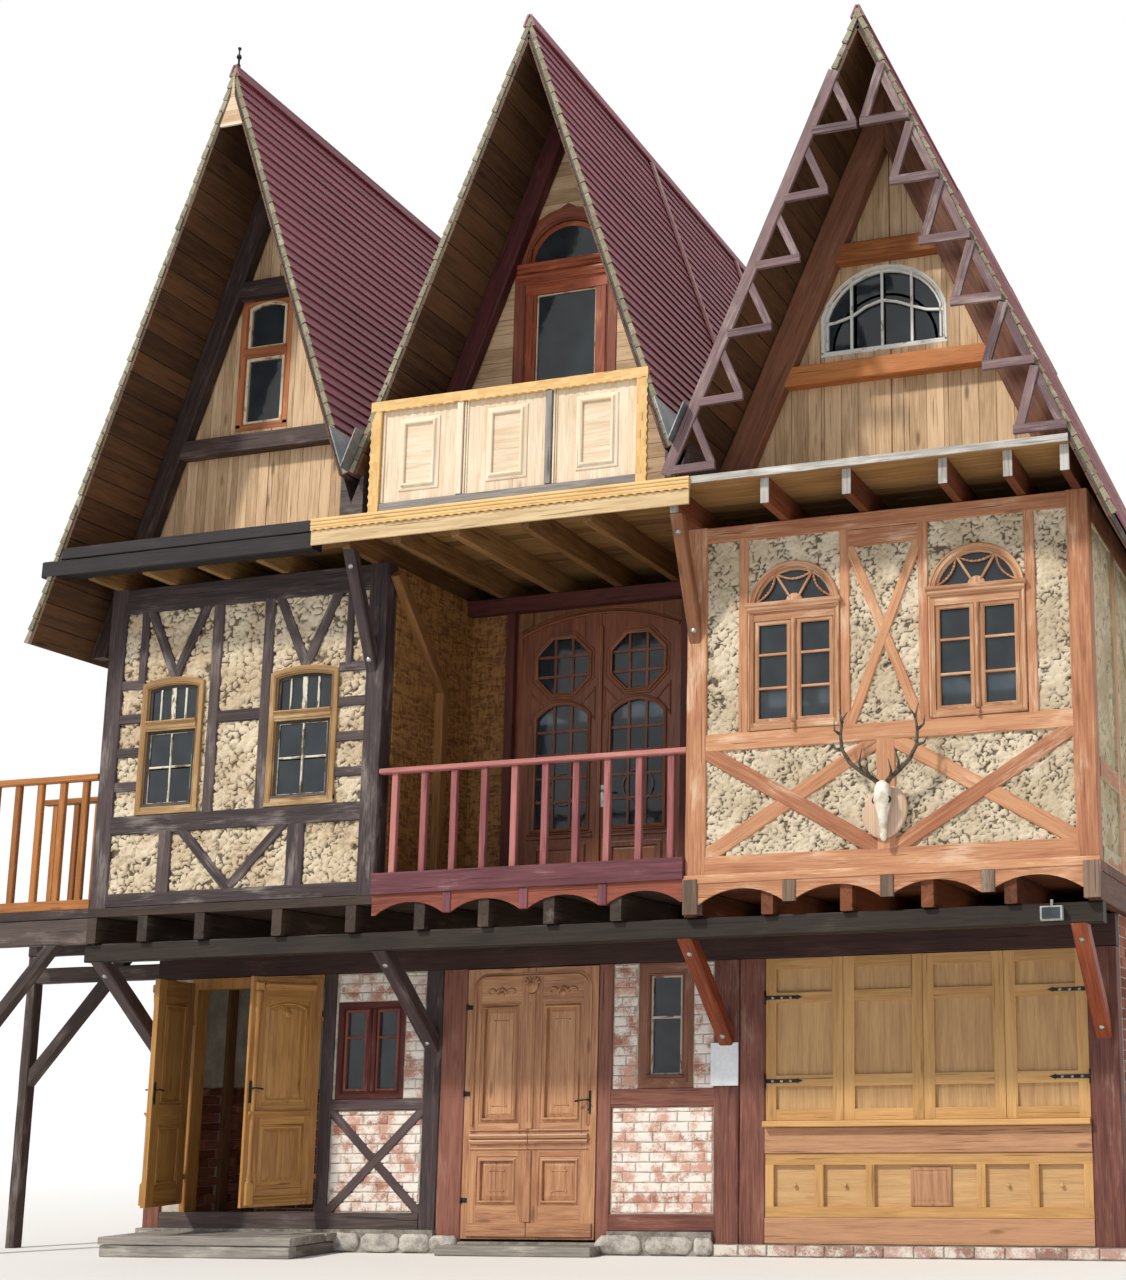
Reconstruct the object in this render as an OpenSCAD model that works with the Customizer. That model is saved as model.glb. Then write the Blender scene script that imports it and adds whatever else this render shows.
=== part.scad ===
// Half timbered house of three gabled bays, jettied over its ground floor.
// Millimetres, +X to the right seen from the street, +Y to the back, +Z up.
// The origin lies on the ground, in the middle of the ground floor's plan.
// Inside the modules X runs from the left bay's outer face, Y from the ground
// floor's front face and Z from the ground, and place() moves that to the origin.

/* [Bays and floors] */
// Width of the left bay
bay_a_w = 2890; // [2750:10:3100]
// Width of the middle bay, the one with the loggia
bay_b_w = 2850; // [2800:10:3100]
// Width of the right bay, the one with the stall
bay_c_w = 3390; // [3300:10:3600]
// Depth of the ground floor, front face to rear face
body_d = 6000; // [4500:50:9000]
// How far the first floor stands out over the ground floor
jetty = 990; // [800:10:1200]
// How far the attic deck and the verges stand out past the first floor
deck_over = 520; // [400:10:700]
// How far the verges run past the rear gables
rear_over = 500; // [300:10:800]
// Height of the underside of the first floor joists
ground_h = 2700; // [2660:10:2900]
// Height of the first floor joists
joist_h = 230; // [180:5:280]
// Thickness of the first floor boards
floor_t = 80; // [50:5:120]
// Height of the first floor walls
first_h = 2940; // [2800:10:3200]
// Height of the attic joists
attic_joist_h = 210; // [150:5:260]
// Thickness of the attic deck
deck_t = 60; // [40:5:100]

/* [Walls] */
// Thickness of the framed walls
wall_t = 160; // [140:5:220]
// How far brick and clay lie back from the face of the timbers
infill_set = 25; // [10:5:45]
// Thickness of the ground floor side and rear walls
masonry_t = 250; // [200:10:350]
// Height of the ground slab under the walls
slab_h = 98; // [80:2:110]
// Height of the stones under the left and middle panels, above the slab
stone_h = 95; // [60:5:110]
// How far the slab and stones stand out from the walls
stone_out = 35; // [10:5:80]

/* [Roofs] */
// Ridge of the left roof, from the left face of its bay
ridge_a_x = 1351; // [1250:1:1450]
// Height of the left ridge above the attic floor
ridge_a_h = 4550; // [4300:10:4800]
// Steepness of the left roof's left slope, rise over run
slope_al = 2.94; // [2.8:0.01:3.1]
// Steepness of the left roof's right slope, rise over run
slope_ar = 2.90; // [2.75:0.01:3.1]
// Ridge of the middle roof, from the left face of its bay
ridge_b_x = 1502; // [1400:1:1600]
// Height of the middle ridge above the attic floor
ridge_b_h = 4480; // [4300:10:4700]
// Steepness of the middle roof's left slope, rise over run
slope_bl = 2.53; // [2.45:0.01:2.7]
// Steepness of the middle roof's right slope, rise over run
slope_br = 2.92; // [2.8:0.01:3.1]
// Ridge of the right roof, from the right face of its bay
ridge_c_x = 1698; // [1600:1:1800]
// Height of the right ridge above the attic floor
ridge_c_h = 3975; // [3800:10:4200]
// Steepness of the right roof's left slope, rise over run
slope_cl = 2.29; // [2.2:0.01:2.4]
// Steepness of the right roof's right slope, rise over run
slope_cr = 2.30; // [2.2:0.01:2.4]
// Thickness of the roof slopes, boards and battens together
roof_t = 90; // [70:5:120]
// How far the left eave hangs below the attic floor
eave_a_drop = 840; // [500:10:900]
// How far the right eave hangs below the attic floor
eave_c_drop = 660; // [450:10:800]
// Clearance between the roof slopes and what lies under or on them
roof_gap = 0.3; // [0.2:0.1:1]
// Width of the ridge cap boards
cap_w = 130; // [90:5:200]
// Thickness of the ridge cap boards
cap_t = 18; // [12:1:30]
// Half width of the plates that carry the valleys
valley_w = 110; // [80:5:140]

/* [Gables] */
// How far the gable walls stand back from the verges
gable_set = 860; // [700:10:1000]
// Thickness of the boarded gable walls
gable_t = 120; // [80:5:160]
// Thickness of the rafters and collars in front of the gable boards
truss_t = 130; // [90:5:180]
// Width of the rafters of the left gable
rafter_a_w = 190; // [140:5:240]
// Width of the rafters of the middle gable
rafter_b_w = 180; // [140:5:240]
// Width of the rafters of the right gable
rafter_c_w = 270; // [200:5:320]
// Height of a collar
collar_h = 175; // [140:5:220]
// Underside of the lower collar of the left gable, above the attic floor
collar_a1_z = 1040; // [900:10:1150]
// Underside of the upper collar of the left gable, above the attic floor
collar_a2_z = 2585; // [2500:10:2800]
// Underside of the lower collar of the right gable, above the attic floor
collar_c1_z = 990; // [900:10:1050]
// Underside of the upper collar of the right gable, above the attic floor
collar_c2_z = 2060; // [2000:10:2200]
// Width of the left gable's window
win_ga_w = 564; // [500:2:620]
// Height of the left gable's window up to its springing
win_ga_h = 1300; // [1100:10:1330]
// Sill of the left gable's window, above the attic floor
win_ga_z = 1285; // [1220:5:1320]
// Width of the middle gable's french window
win_gb_w = 1030; // [900:10:1150]
// Height of the middle gable's french window up to its springing
win_gb_h = 2560; // [2400:10:2700]
// Width of the right gable's half round window
win_gc_w = 1120; // [1000:10:1250]
// Sill of the right gable's window, above the attic floor
win_gc_z = 1265; // [1230:5:1290]
// Height of the right gable's window up to its springing
win_gc_h = 365; // [300:5:400]

/* [Zigzag bargeboards] */
// Thickness of the bargeboard laths
lath_t = 36; // [25:1:50]
// Width of the bargeboard laths
lath_w = 75; // [55:1:90]
// Rise from one triangle of the bargeboards to the next
zig_pitch = 562; // [520:2:620]
// Height of a triangle, base lath to apex
zig_h = 450; // [380:5:480]
// Length of a triangle's base lath from the stringer
zig_w = 330; // [260:5:380]
// Number of triangles on each side
zig_n = 6; // [4:1:6]
// Height of the lowest triangle's base above the attic floor
zig_z = 25; // [10:5:60]

/* [First floor, left bay] */
// Width of the corner posts
post_w = 180; // [150:5:220]
// Width of the studs
stud_w = 110; // [80:5:140]
// Height of the bottom rail
sill_h = 125; // [100:5:160]
// Height of the middle rail of the left bay
rail_a_h = 170; // [140:5:200]
// Underside of the middle rail of the left bay, above the floor
rail_a_z = 650; // [600:10:700]
// Height of the top plate
plate_h = 240; // [200:5:280]
// Width of the first window of the left bay
win_a1_w = 650; // [600:5:700]
// Place of that window in the bay
win_a1_x = 412; // [400:2:430]
// Width of the second window of the left bay
win_a2_w = 690; // [640:5:720]
// Place of that window in the bay
win_a2_x = 1755; // [1740:2:1780]
// Height of these windows up to the springing
win_a_h = 1200; // [1100:10:1250]
// Rise of the shallow arch over these windows
win_a_rise = 50; // [20:5:80]
// Width of the slanting braces
brace_w = 95; // [75:5:120]
// Height of the short rails beside the windows
short_h = 90; // [60:5:120]

/* [First floor, right bay] */
// Underside of the middle rail of the right bay, above the floor
rail_c_z = 1030; // [980:10:1080]
// Height of the middle rail of the right bay
rail_c_h = 150; // [120:5:180]
// Width of the windows of the right bay
win_c_w = 790; // [740:5:820]
// Place of the first window in the right bay
win_c1_x = 540; // [520:2:560]
// Place of the second window in the right bay
win_c2_x = 2076; // [2060:2:2100]
// Height of these windows up to the cornice
win_c_h = 1000; // [900:10:1050]
// Width of the crossed braces under the windows
cross_w = 130; // [100:5:150]

/* [Windows] */
// Width of a window's frame
frame_w = 70; // [50:5:90]
// Width of a glazing bar
bar_w = 24; // [16:1:34]
// Thickness of the panes
glass_t = 6; // [4:1:12]
// Thickness of a window's frame
sash_t = 70; // [50:5:100]

/* [Ground floor front] */
// Clear width of the entrance
entry_w = 1340; // [1200:10:1400]
// Place of the entrance's clear opening
entry_x = 450; // [430:5:480]
// Height of the timber over the entrance
entry_head_h = 100; // [70:5:160]
// Width of the entrance's jamb
entry_jamb = 60; // [40:5:80]
// Height of the timber sills
ground_sill_h = 140; // [110:5:170]
// Width of the post beside the entrance
entry_post_w = 126; // [100:2:160]
// Width of the post between the left and the middle bay
bay_post_w = 170; // [140:5:200]
// Width of the red posts of the middle bay
red_post_w = 245; // [200:5:260]
// Place of the middle door in its bay
mid_door_x = 365; // [340:5:390]
// Clear width of the middle door
mid_door_w = 1275; // [1150:5:1300]
// Width of the post right of the middle door
mid_post_w = 130; // [100:5:160]
// Height of the front plate
front_plate_h = 270; // [220:5:300]
// Width of the two posts between the middle and the right bay
stall_post_w = 230; // [180:5:250]
// Width of the right corner post
right_post_w = 250; // [200:5:300]
// How far the ground floor's right wall stands in under the first floor
ground_in = 70; // [40:5:120]
// Height of the rail under the narrow window
narrow_rail_h = 155; // [120:5:180]
// Height of the rail under the ground floor windows
ground_rail_z = 1213; // [1150:5:1300]
// Height of that rail
ground_rail_h = 100; // [80:5:150]
// Width of the red casement window
win_g1_w = 690; // [600:5:720]
// Height of the red casement window
win_g1_h = 860; // [780:5:900]
// Width of the narrow window
win_g2_w = 510; // [450:5:560]

/* [Doors] */
// Thickness of the door leaves
leaf_t = 45; // [38:1:60]
// How far the left entrance leaf stands open
open_l = 78; // [0:1:88]
// How far the right entrance leaf stands open
open_r = 62; // [0:1:88]
// Gap between the closed leaves and round a leaf
leaf_gap = 5; // [4:1:8]
// Radius of a hinge knuckle
knuckle_r = 9; // [7:1:12]
// Height of a hinge knuckle
knuckle_h = 45; // [30:5:60]
// Clearance between two knuckles of a hinge
knuckle_gap = 0.3; // [0.2:0.1:1]
// Width of a door's stiles and rails
stile_w = 120; // [90:5:150]
// Underside of the entrance leaves
leaf_z = 410; // [380:5:440]
// How far the entrance leaves lap over the timber above them
leaf_lap = 60; // [20:5:80]
// Height of the gap between a leaf's panels
lock_rail_h = 180; // [120:5:240]
// Height of the lower panels of the entrance leaves
low_panel_h = 520; // [400:10:600]
// Height of the lower panels of the middle door
mid_low_panel_h = 410; // [350:10:460]
// Width of a panel's moulding
mould_w = 30; // [20:1:45]
// Depth of a panel's moulding
mould_d = 12; // [6:1:16]

/* [Stall] */
// Underside of the cross rail of the shutters, above their own underside
shutter_rail_z = 985; // [900:5:1050]
// Height of the cross rail of the shutters
shutter_rail_h = 70; // [50:5:90]
// Height of the top and bottom rails of the shutters
shutter_edge_h = 85; // [60:5:110]
// Thickness of the panels in the shutters
shutter_panel_t = 22; // [12:1:30]
// Underside of the shutters
shutter_z = 1086; // [1080:2:1200]
// Thickness of the shutters
shutter_t = 50; // [35:5:70]
// Height of the ledge under the shutters
ledge_h = 50; // [35:5:60]
// How far the ledge stands out
ledge_out = 60; // [40:5:90]
// Height of the kick board
kick_h = 215; // [150:5:220]
// Height of the panels over the kick board
stall_panel_h = 507; // [450:1:560]
// Distance from one stile of these panels to the next
stall_pitch = 436; // [400:2:450]
// Width of these stiles
stall_stile_w = 75; // [50:5:90]
// Place of the stall in the right bay
stall_x = 320; // [300:5:340]

/* [Loggia and balconies] */
// Depth of the loggia, first floor front to the wall with its doors
loggia_d = 1470; // [1200:10:1700]
// Thickness of the loggia's boarded walls
loggia_t = 100; // [80:5:140]
// Height of the loggia's handrail above the floor
rail_top = 1090; // [1000:10:1150]
// Number of balusters in the loggia's balustrade
baluster_n = 10; // [7:1:14]
// Width of a baluster
baluster_w = 55; // [40:5:70]
// Height of the loggia's fascia
fascia_h = 180; // [150:5:220]
// Depth of the scalloped valances
valance_h = 160; // [120:5:190]
// Thickness of the scalloped valances
valance_t = 30; // [20:1:45]
// Width of the loggia's pair of doors
loggia_door_w = 1700; // [1500:10:1800]
// Height of these doors to the crown of their arched head
loggia_door_h = 2790; // [2500:10:2800]
// Length of the panelled box in front of the middle gable
box_l = 2600; // [2500:10:2700]
// Height of that box
box_h = 1005; // [900:5:1100]
// Thickness of that box's boards
box_t = 70; // [50:5:90]
// Length of the gallery at the left side
gallery_l = 1500; // [1200:10:2400]
// Width of the gallery
gallery_w = 1100; // [900:10:1300]
// Height of the gallery's handrail above its floor
gallery_rail = 1230; // [1000:10:1300]
// Width of the jetty's knee braces
knee_w = 130; // [100:5:160]

/* [Hidden] */
$fn = 48;
eps = 1;
bx = bay_a_w;
cx = bay_a_w + bay_b_w;
house_w = bay_a_w + bay_b_w + bay_c_w;
ground_w = house_w - ground_in;
stone_top = slab_h + stone_h;
sill_top = stone_top + ground_sill_h;
plate_z = ground_h - front_plate_h;
entry_h = plate_z - entry_head_h;
leaf_h = entry_h + leaf_lap - leaf_z;
shutter_h = plate_z - shutter_z;
floor_z = ground_h + joist_h;
first_z = floor_z + floor_t;
first_top = first_z + first_h;
deck_z = first_top + attic_joist_h;
attic_z = deck_z + deck_t;
front_y = -jetty;
deck_y = -jetty - deck_over;
gable_y = deck_y + gable_set;
rear_y = body_d + rear_over;

// Posts of the ground floor front, left to right
entry_r = entry_x + entry_w;
entry_post_r = entry_r + entry_post_w;
red_post_x = bx + mid_door_x - red_post_w;
bay_post_x = red_post_x - bay_post_w;
mid_door_l = bx + mid_door_x;
mid_door_r = mid_door_l + mid_door_w;
mid_post_r = mid_door_r + mid_post_w;
stall_l = cx + stall_x;
stall_r = ground_w - right_post_w;
stall_posts_x = stall_l - 2 * stall_post_w;

// Ridges as [x, z], and the valleys between the slopes
ridge_a = [ridge_a_x, attic_z + ridge_a_h];
ridge_b = [bx + ridge_b_x, attic_z + ridge_b_h];
ridge_c = [house_w - ridge_c_x, attic_z + ridge_c_h];
valley_ab = valley(ridge_a, slope_ar, ridge_b, slope_bl);
valley_bc = valley(ridge_b, slope_br, ridge_c, slope_cl);
under_roof = roof_t + roof_gap;
far = 20000;

function valley(a, sa, b, sb) = (a[1] + sa * a[0] - b[1] + sb * b[0]) / (sa + sb);
// Vertical distance between a slope's face and one that lies t deeper
function drop(s, t) = t * sqrt(1 + s * s);
function left_at(r, s, t, z) = r[0] - (r[1] - drop(s, t) - z) / s;
function right_at(r, s, t, z) = r[0] + (r[1] - drop(s, t) - z) / s;
function peak_x(r, sl, sr, t) = r[0] + (drop(sl, t) - drop(sr, t)) / (sl + sr);
function peak(r, sl, sr, t) =
    let (x = peak_x(r, sl, sr, t)) [x, r[1] - drop(sl, t) - sl * (r[0] - x)];
function unit(a) = a / norm(a);

module place() {
    translate([-house_w / 2, -body_d / 2, 0]) children();
}

// An outline in X and Z, made t thick from y to the back
module xz(y, t) {
    translate([0, y + t, 0]) rotate([90, 0, 0]) linear_extrude(t) children();
}

// An outline in Y and Z, made t thick from x to the right
module yz(x, t) {
    translate([x, 0, 0]) rotate([90, 0, 90]) linear_extrude(t) children();
}

module slab(x0, x1, z0, z1) {
    translate([x0, z0]) square([x1 - x0, z1 - z0]);
}

// A straight timber from a to b, run on past both ends
module strut(a, b, w, past = 200) {
    u = unit(b - a);
    n = [-u[1], u[0]] * w / 2;
    polygon([a - u * past + n, b + u * past + n, b + u * past - n, a - u * past - n]);
}

// Crossed braces that fill a panel
module cross(x0, x1, z0, z1, w) {
    intersection() {
        slab(x0, x1, z0, z1);
        union() {
            strut([x0, z0], [x1, z1], w);
            strut([x0, z1], [x1, z0], w);
        }
    }
}

// A rectangle under a segment of a circle
module arched(w, h, rise) {
    r = (w * w / 4 + rise * rise) / (2 * rise);
    centre = h + rise - r;
    square([w, max(centre, h / 2)]);
    intersection() {
        translate([w / 2, centre]) circle(r, $fn = 96);
        square([w, h + rise]);
    }
}

module arched_ring(w, h, rise, f) {
    difference() {
        arched(w, h, rise);
        translate([f, f]) arched(w - 2 * f, h - f - f * (rise < w / 4 ? 1 : 0), rise - f * (rise < w / 4 ? 0 : 1));
    }
}

module square_ring(w, h, f) {
    difference() {
        square([w, h]);
        translate([f, f]) square([w - 2 * f, h - 2 * f]);
    }
}

// The room under a pair of slopes, t deeper than their outer faces, down to z0
module tent(r, sl, sr, t, z0) {
    polygon([[left_at(r, sl, t, z0), z0], [right_at(r, sr, t, z0), z0], peak(r, sl, sr, t)]);
}

// A board from x0 to x1 whose lower edge is cut in n arches between points
module scalloped(x0, x1, z0, z1, n, rise) {
    pitch = (x1 - x0) / n;
    tip = pitch / 12;
    difference() {
        slab(x0, x1, z0, z1);
        for (i = [0:n - 1]) translate([x0 + i * pitch + tip / 2, z0 - eps]) arched(pitch - tip, 2 * eps, rise);
    }
}

// The slab and the stones under the front panels
module plinth() {
    color("#8e8b86") place() {
        translate([-stone_out, -stone_out, 0]) cube([ground_w + 2 * stone_out, body_d + 2 * stone_out, slab_h]);
        translate([-stone_out, -stone_out, slab_h]) cube([red_post_x + stone_out, wall_t + stone_out, stone_h]);
        translate([mid_post_r, -stone_out, slab_h])
            cube([stall_posts_x - mid_post_r, wall_t + stone_out, stone_h]);
    }
}

// The entrance's timber step and the low stone before the middle door
step_l = 150;
step_len = 1930;
step_d = 740;
step_h = 170;
low_step_over = 90;
low_step_d = 260;
low_step_h = 80;
module door_steps() {
    color("#77736c") place() {
        translate([step_l, -step_d, 0]) cube([step_len, step_d - stone_out, step_h]);
        translate([mid_door_l - low_step_over, -low_step_d, 0])
            cube([mid_door_w + 2 * low_step_over, low_step_d - stone_out, low_step_h]);
    }
}

module ground_posts() {
    color("#5a3230") place() {
        xz(0, wall_t) {
            slab(0, post_w, stone_top, plate_z);
            slab(red_post_x, mid_door_l, slab_h, plate_z);
            slab(stall_r, ground_w, slab_h, plate_z);
        }
        for (z = mid_hinges) {
            translate([mid_hinge_x, mid_hinge_y, z - knuckle_h]) cylinder(r = knuckle_r, h = knuckle_h);
            translate([mid_hinge_x - mid_strap, -plate_t, z - knuckle_h]) cube([mid_strap, plate_t, knuckle_h]);
        }
    }
}

module entrance_sill() {
    color("#4b4346") place() xz(0, wall_t) slab(post_w, bay_post_x, stone_top, sill_top);
}

module entrance_frame() {
    color("#c08a45") place() xz(0, wall_t) {
        slab(entry_x - entry_jamb, entry_x, sill_top, plate_z);
        slab(entry_x - entry_jamb, entry_r, entry_h, plate_z);
    }
    color("#40352c") place() {
        for (z = hinge_z) {
            frame_knuckle(hinge_l_x, z);
            frame_knuckle(hinge_r_x, z);
        }
    }
}

// Hinges of the entrance leaves, which lie before the face of the wall
hinge_y = -leaf_gap - leaf_t / 2;
hinge_in = 30;
hinge_l_x = entry_x - hinge_in;
hinge_r_x = entry_r + hinge_in / 2;
hinge_z = [leaf_z + 260, leaf_z + leaf_h - 340];
hinge_gap_x = 6;
plate_t = 6;
leaf_start = knuckle_r + hinge_gap_x;
leaf_meet = (entry_x + entry_r) / 2;

module frame_knuckle(x, z) {
    translate([x, hinge_y, z - knuckle_h]) cylinder(r = knuckle_r, h = knuckle_h);
    translate([x - plate_t / 2, hinge_y, z - knuckle_h]) cube([plate_t, -hinge_y, knuckle_h]);
}

// A leaf along +X from its hinge, w long, outer face towards -Y
leaf_top_h = 200;
module entrance_leaf(w) {
    panel_x = stile_w + 20;
    panel_w = w - 2 * panel_x;
    foot = 180;
    top_z = foot + low_panel_h + lock_rail_h;
    top_h = leaf_h - top_z - leaf_top_h;
    difference() {
        translate([leaf_start, -leaf_t / 2, leaf_z]) cube([w - leaf_start, leaf_t, leaf_h]);
        for (y = [-leaf_t / 2 - eps, leaf_t / 2 - mould_d]) {
            translate([0, 0, leaf_z]) xz(y, mould_d + eps) {
                translate([panel_x, foot]) square_ring(panel_w, low_panel_h, mould_w);
                translate([panel_x, top_z]) square_ring(panel_w, top_h, mould_w);
            }
        }
    }
    for (z = hinge_z) {
        translate([0, 0, z + knuckle_gap]) cylinder(r = knuckle_r, h = knuckle_h);
        translate([0, -plate_t / 2, z + knuckle_gap]) cube([leaf_start, plate_t, knuckle_h]);
    }
    // Half column at the meeting stile, with its base, capital and the rail across
    col_x = w - 62;
    col_r = 20;
    translate([col_x, -leaf_t / 2, leaf_z]) {
        cylinder(r = col_r, h = leaf_h - 60);
        translate([-34, -34, 20]) cube([68, 34, 190]);
        translate([0, 0, 210]) cylinder(r1 = 32, r2 = col_r, h = 60);
        translate([0, 0, leaf_h - 200]) cylinder(r1 = col_r, r2 = 34, h = 120);
    }
    translate([panel_x - 60, -leaf_t / 2 - 22, leaf_z + foot + low_panel_h + 60]) cube([w - panel_x - 20, 22, 40]);
    translate([panel_x - 60, -leaf_t / 2 - 16, leaf_z + 20]) cube([panel_w + 60, 16, 80]);
    // Handle plate and lever on both faces
    for (s = [-1, 1]) {
        translate([w - 30, s * (leaf_t / 2 + 4), leaf_z + 980]) cube([30, 8, 190], center = true);
        translate([w - 30, s * (leaf_t / 2 + 8), leaf_z + 1010])
            rotate([s * -90, 0, 0]) cylinder(r = 8, h = 32);
        translate([w - 134, s * (leaf_t / 2 + 34) - 7, leaf_z + 1002]) cube([110, 14, 16]);
    }
}

module entrance_leaf_left() {
    color("#b9803c") place() translate([hinge_l_x, hinge_y, 0]) rotate(-open_l)
        entrance_leaf(leaf_meet - leaf_gap / 2 - hinge_l_x);
}

module entrance_leaf_right() {
    color("#b9803c") place() translate([hinge_r_x, hinge_y, 0]) rotate(open_r) mirror([1, 0, 0])
        entrance_leaf(hinge_r_x - leaf_meet - leaf_gap / 2);
}

// The wide middle leaf, carved like a pair, hung on its left side
mid_leaf_z = slab_h + 22;
mid_leaf_h = plate_z - leaf_gap - mid_leaf_z;
mid_leaf_w = mid_door_w - 2 * leaf_gap;
mid_hinge_x = mid_door_l + leaf_gap;
mid_hinge_y = -knuckle_r;
mid_strap = 60;
mid_hinges = [mid_leaf_z + 300, mid_leaf_z + mid_leaf_h / 2 + 50, mid_leaf_z + mid_leaf_h - 355];
mid_foot = 280;
mid_upper_z = mid_foot + mid_low_panel_h + 280;
mid_crown = 90;
mid_upper_h = mid_leaf_h - mid_upper_z - mid_crown - 285;
mid_mould_w = 34;
module middle_door() {
    panel_w = 390;
    left_x = 140;
    right_x = mid_leaf_w - left_x - panel_w;
    color("#b5733a") place() translate([mid_hinge_x, 0, 0]) {
        difference() {
            translate([0, 0, mid_leaf_z]) cube([mid_leaf_w, leaf_t, mid_leaf_h]);
            xz(-eps, 14 + eps) for (x = [left_x, right_x]) {
                translate([x, mid_leaf_z + mid_foot]) square_ring(panel_w, mid_low_panel_h, mid_mould_w);
                translate([x, mid_leaf_z + mid_upper_z])
                    arched_ring(panel_w, mid_upper_h, mid_crown, mid_mould_w);
            }
        }
        xz(-16, 16) {
            slab(60, mid_leaf_w - 20, mid_leaf_z + 20, mid_leaf_z + 130);
            slab(60, mid_leaf_w - 20, mid_leaf_z + mid_upper_z - 190, mid_leaf_z + mid_upper_z - 120);
            slab(mid_leaf_w / 2 - 32, mid_leaf_w / 2 + 32, mid_leaf_z + 130, mid_leaf_z + mid_leaf_h - 125);
        }
        for (z = mid_hinges) {
            translate([0, mid_hinge_y, z + knuckle_gap]) cylinder(r = knuckle_r, h = knuckle_h);
            translate([0, -plate_t, z + knuckle_gap]) cube([55, plate_t, knuckle_h]);
        }
        translate([mid_leaf_w - 90, -8, mid_leaf_z + 1040]) cube([40, 8, 200]);
        translate([mid_leaf_w - 70, 0, mid_leaf_z + 1160]) rotate([90, 0, 0]) cylinder(r = 8, h = 46);
        translate([mid_leaf_w - 180, -50, mid_leaf_z + 1152]) cube([118, 14, 16]);
    }
}

// Windows of the ground floor
g1_x = entry_post_r + 25;
g1_z = ground_rail_z + ground_rail_h;
g2_z = ground_rail_z + narrow_rail_h;
g2_h = plate_z - g2_z;
g2_x = (mid_post_r + stall_posts_x - win_g2_w) / 2 + 22;
module g1_hole() {
    translate([g1_x, g1_z]) square([win_g1_w, win_g1_h]);
}
module g1_sash() {
    translate([g1_x, g1_z]) {
        square_ring(win_g1_w, win_g1_h, frame_w);
        slab(win_g1_w / 2 - 50, win_g1_w / 2 + 50, 0, win_g1_h);
        slab(0, win_g1_w, win_g1_h * 0.62, win_g1_h * 0.62 + bar_w);
    }
}
module g2_hole() {
    translate([g2_x, g2_z]) square([win_g2_w, g2_h]);
}
module g2_sash() {
    translate([g2_x, g2_z]) {
        square_ring(win_g2_w, g2_h, frame_w + 45);
        slab(0, win_g2_w, g2_h * 0.55, g2_h * 0.55 + bar_w);
    }
}

module ground_frame_left() {
    color("#4b4346") place() xz(0, wall_t) {
        slab(entry_r, entry_post_r, sill_top, plate_z);
        slab(bay_post_x, red_post_x, stone_top, plate_z);
        slab(entry_post_r, bay_post_x, ground_rail_z, g1_z);
        cross(entry_post_r, bay_post_x, sill_top, ground_rail_z, brace_w);
    }
}

module ground_frame_middle() {
    color("#5a3230") place() xz(0, wall_t) {
        slab(mid_door_r, mid_post_r, slab_h, plate_z);
        slab(mid_post_r, stall_posts_x, stone_top, sill_top);
        slab(mid_post_r, stall_posts_x, ground_rail_z, g2_z);
        for (i = [0, 1])
            slab(stall_posts_x + i * stall_post_w, stall_l - (1 - i) * stall_post_w, slab_h, plate_z);
    }
}

module brick_panels() {
    color("#b08a7c") place() xz(infill_set, wall_t - infill_set) {
        slab(post_w, entry_x - entry_jamb, sill_top, plate_z);
        difference() {
            slab(entry_post_r, bay_post_x, sill_top, plate_z);
            slab(entry_post_r, bay_post_x, ground_rail_z, g1_z);
            cross(entry_post_r, bay_post_x, sill_top, ground_rail_z, brace_w);
            g1_hole();
        }
        difference() {
            slab(mid_post_r, stall_posts_x, sill_top, plate_z);
            slab(mid_post_r, stall_posts_x, ground_rail_z, g2_z);
            g2_hole();
        }
    }
}

module ground_windows() {
    color("#7c2f28") place() {
        xz(infill_set, sash_t) g1_sash();
        xz(infill_set, sash_t) g2_sash();
    }
}

// Four folding leaves over the stall, in frames with thin panels
shutter_n = 4;
module stall_shutters() {
    w = (stall_r - stall_l) / shutter_n;
    edge = shutter_edge_h;
    rail_top = shutter_rail_z + shutter_rail_h;
    color("#c79548") place() {
        xz(20, shutter_t) {
            for (i = [0:shutter_n - 1]) {
                translate([stall_l + i * w, shutter_z]) {
                    square_ring(w, shutter_h, edge);
                    slab(0, w, shutter_rail_z, rail_top);
                }
            }
        }
        xz(40, shutter_panel_t) {
            for (i = [0:shutter_n - 1]) {
                translate([stall_l + i * w, shutter_z]) {
                    slab(edge, w - edge, edge, shutter_rail_z);
                    slab(edge, w - edge, rail_top, shutter_h - edge);
                }
            }
        }
    }
}

// The counter under the shutters: kick board, panels, rail and ledge
module stall_counter() {
    kick_top = slab_h + kick_h;
    panel_top = kick_top + stall_panel_h;
    rail_z = shutter_z - ledge_h;
    foot = 80;
    head = 90;
    last = stall_r - stall_l - stall_stile_w;
    knob_x = (stall_pitch + stall_stile_w) / 2;
    knob_z = kick_top + stall_panel_h / 2;
    color("#c08a40") place() {
        xz(0, wall_t) slab(stall_l, stall_r, slab_h, kick_top);
        xz(0, wall_t) slab(stall_l, stall_r, panel_top, rail_z);
        xz(-ledge_out, wall_t + ledge_out) slab(stall_l, stall_r, rail_z, shutter_z);
        xz(50, 30) slab(stall_l, stall_r, kick_top, panel_top);
        xz(15, 35) {
            slab(stall_l, stall_r, kick_top, kick_top + foot);
            slab(stall_l, stall_r, panel_top - head, panel_top);
            for (i = [0:2], x = [i * stall_pitch, last - i * stall_pitch])
                slab(stall_l + x, stall_l + x + stall_stile_w, kick_top + foot, panel_top - head);
        }
        for (i = [0, 1], x = [stall_l + knob_x + i * stall_pitch, stall_r - knob_x - i * stall_pitch])
            translate([x, 50, knob_z]) rotate([90, 0, 0]) cylinder(r = 13, h = 22);
    }
}

module front_plate() {
    color("#4a2c28") place() xz(0, wall_t) slab(0, ground_w, plate_z, ground_h);
}

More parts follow.
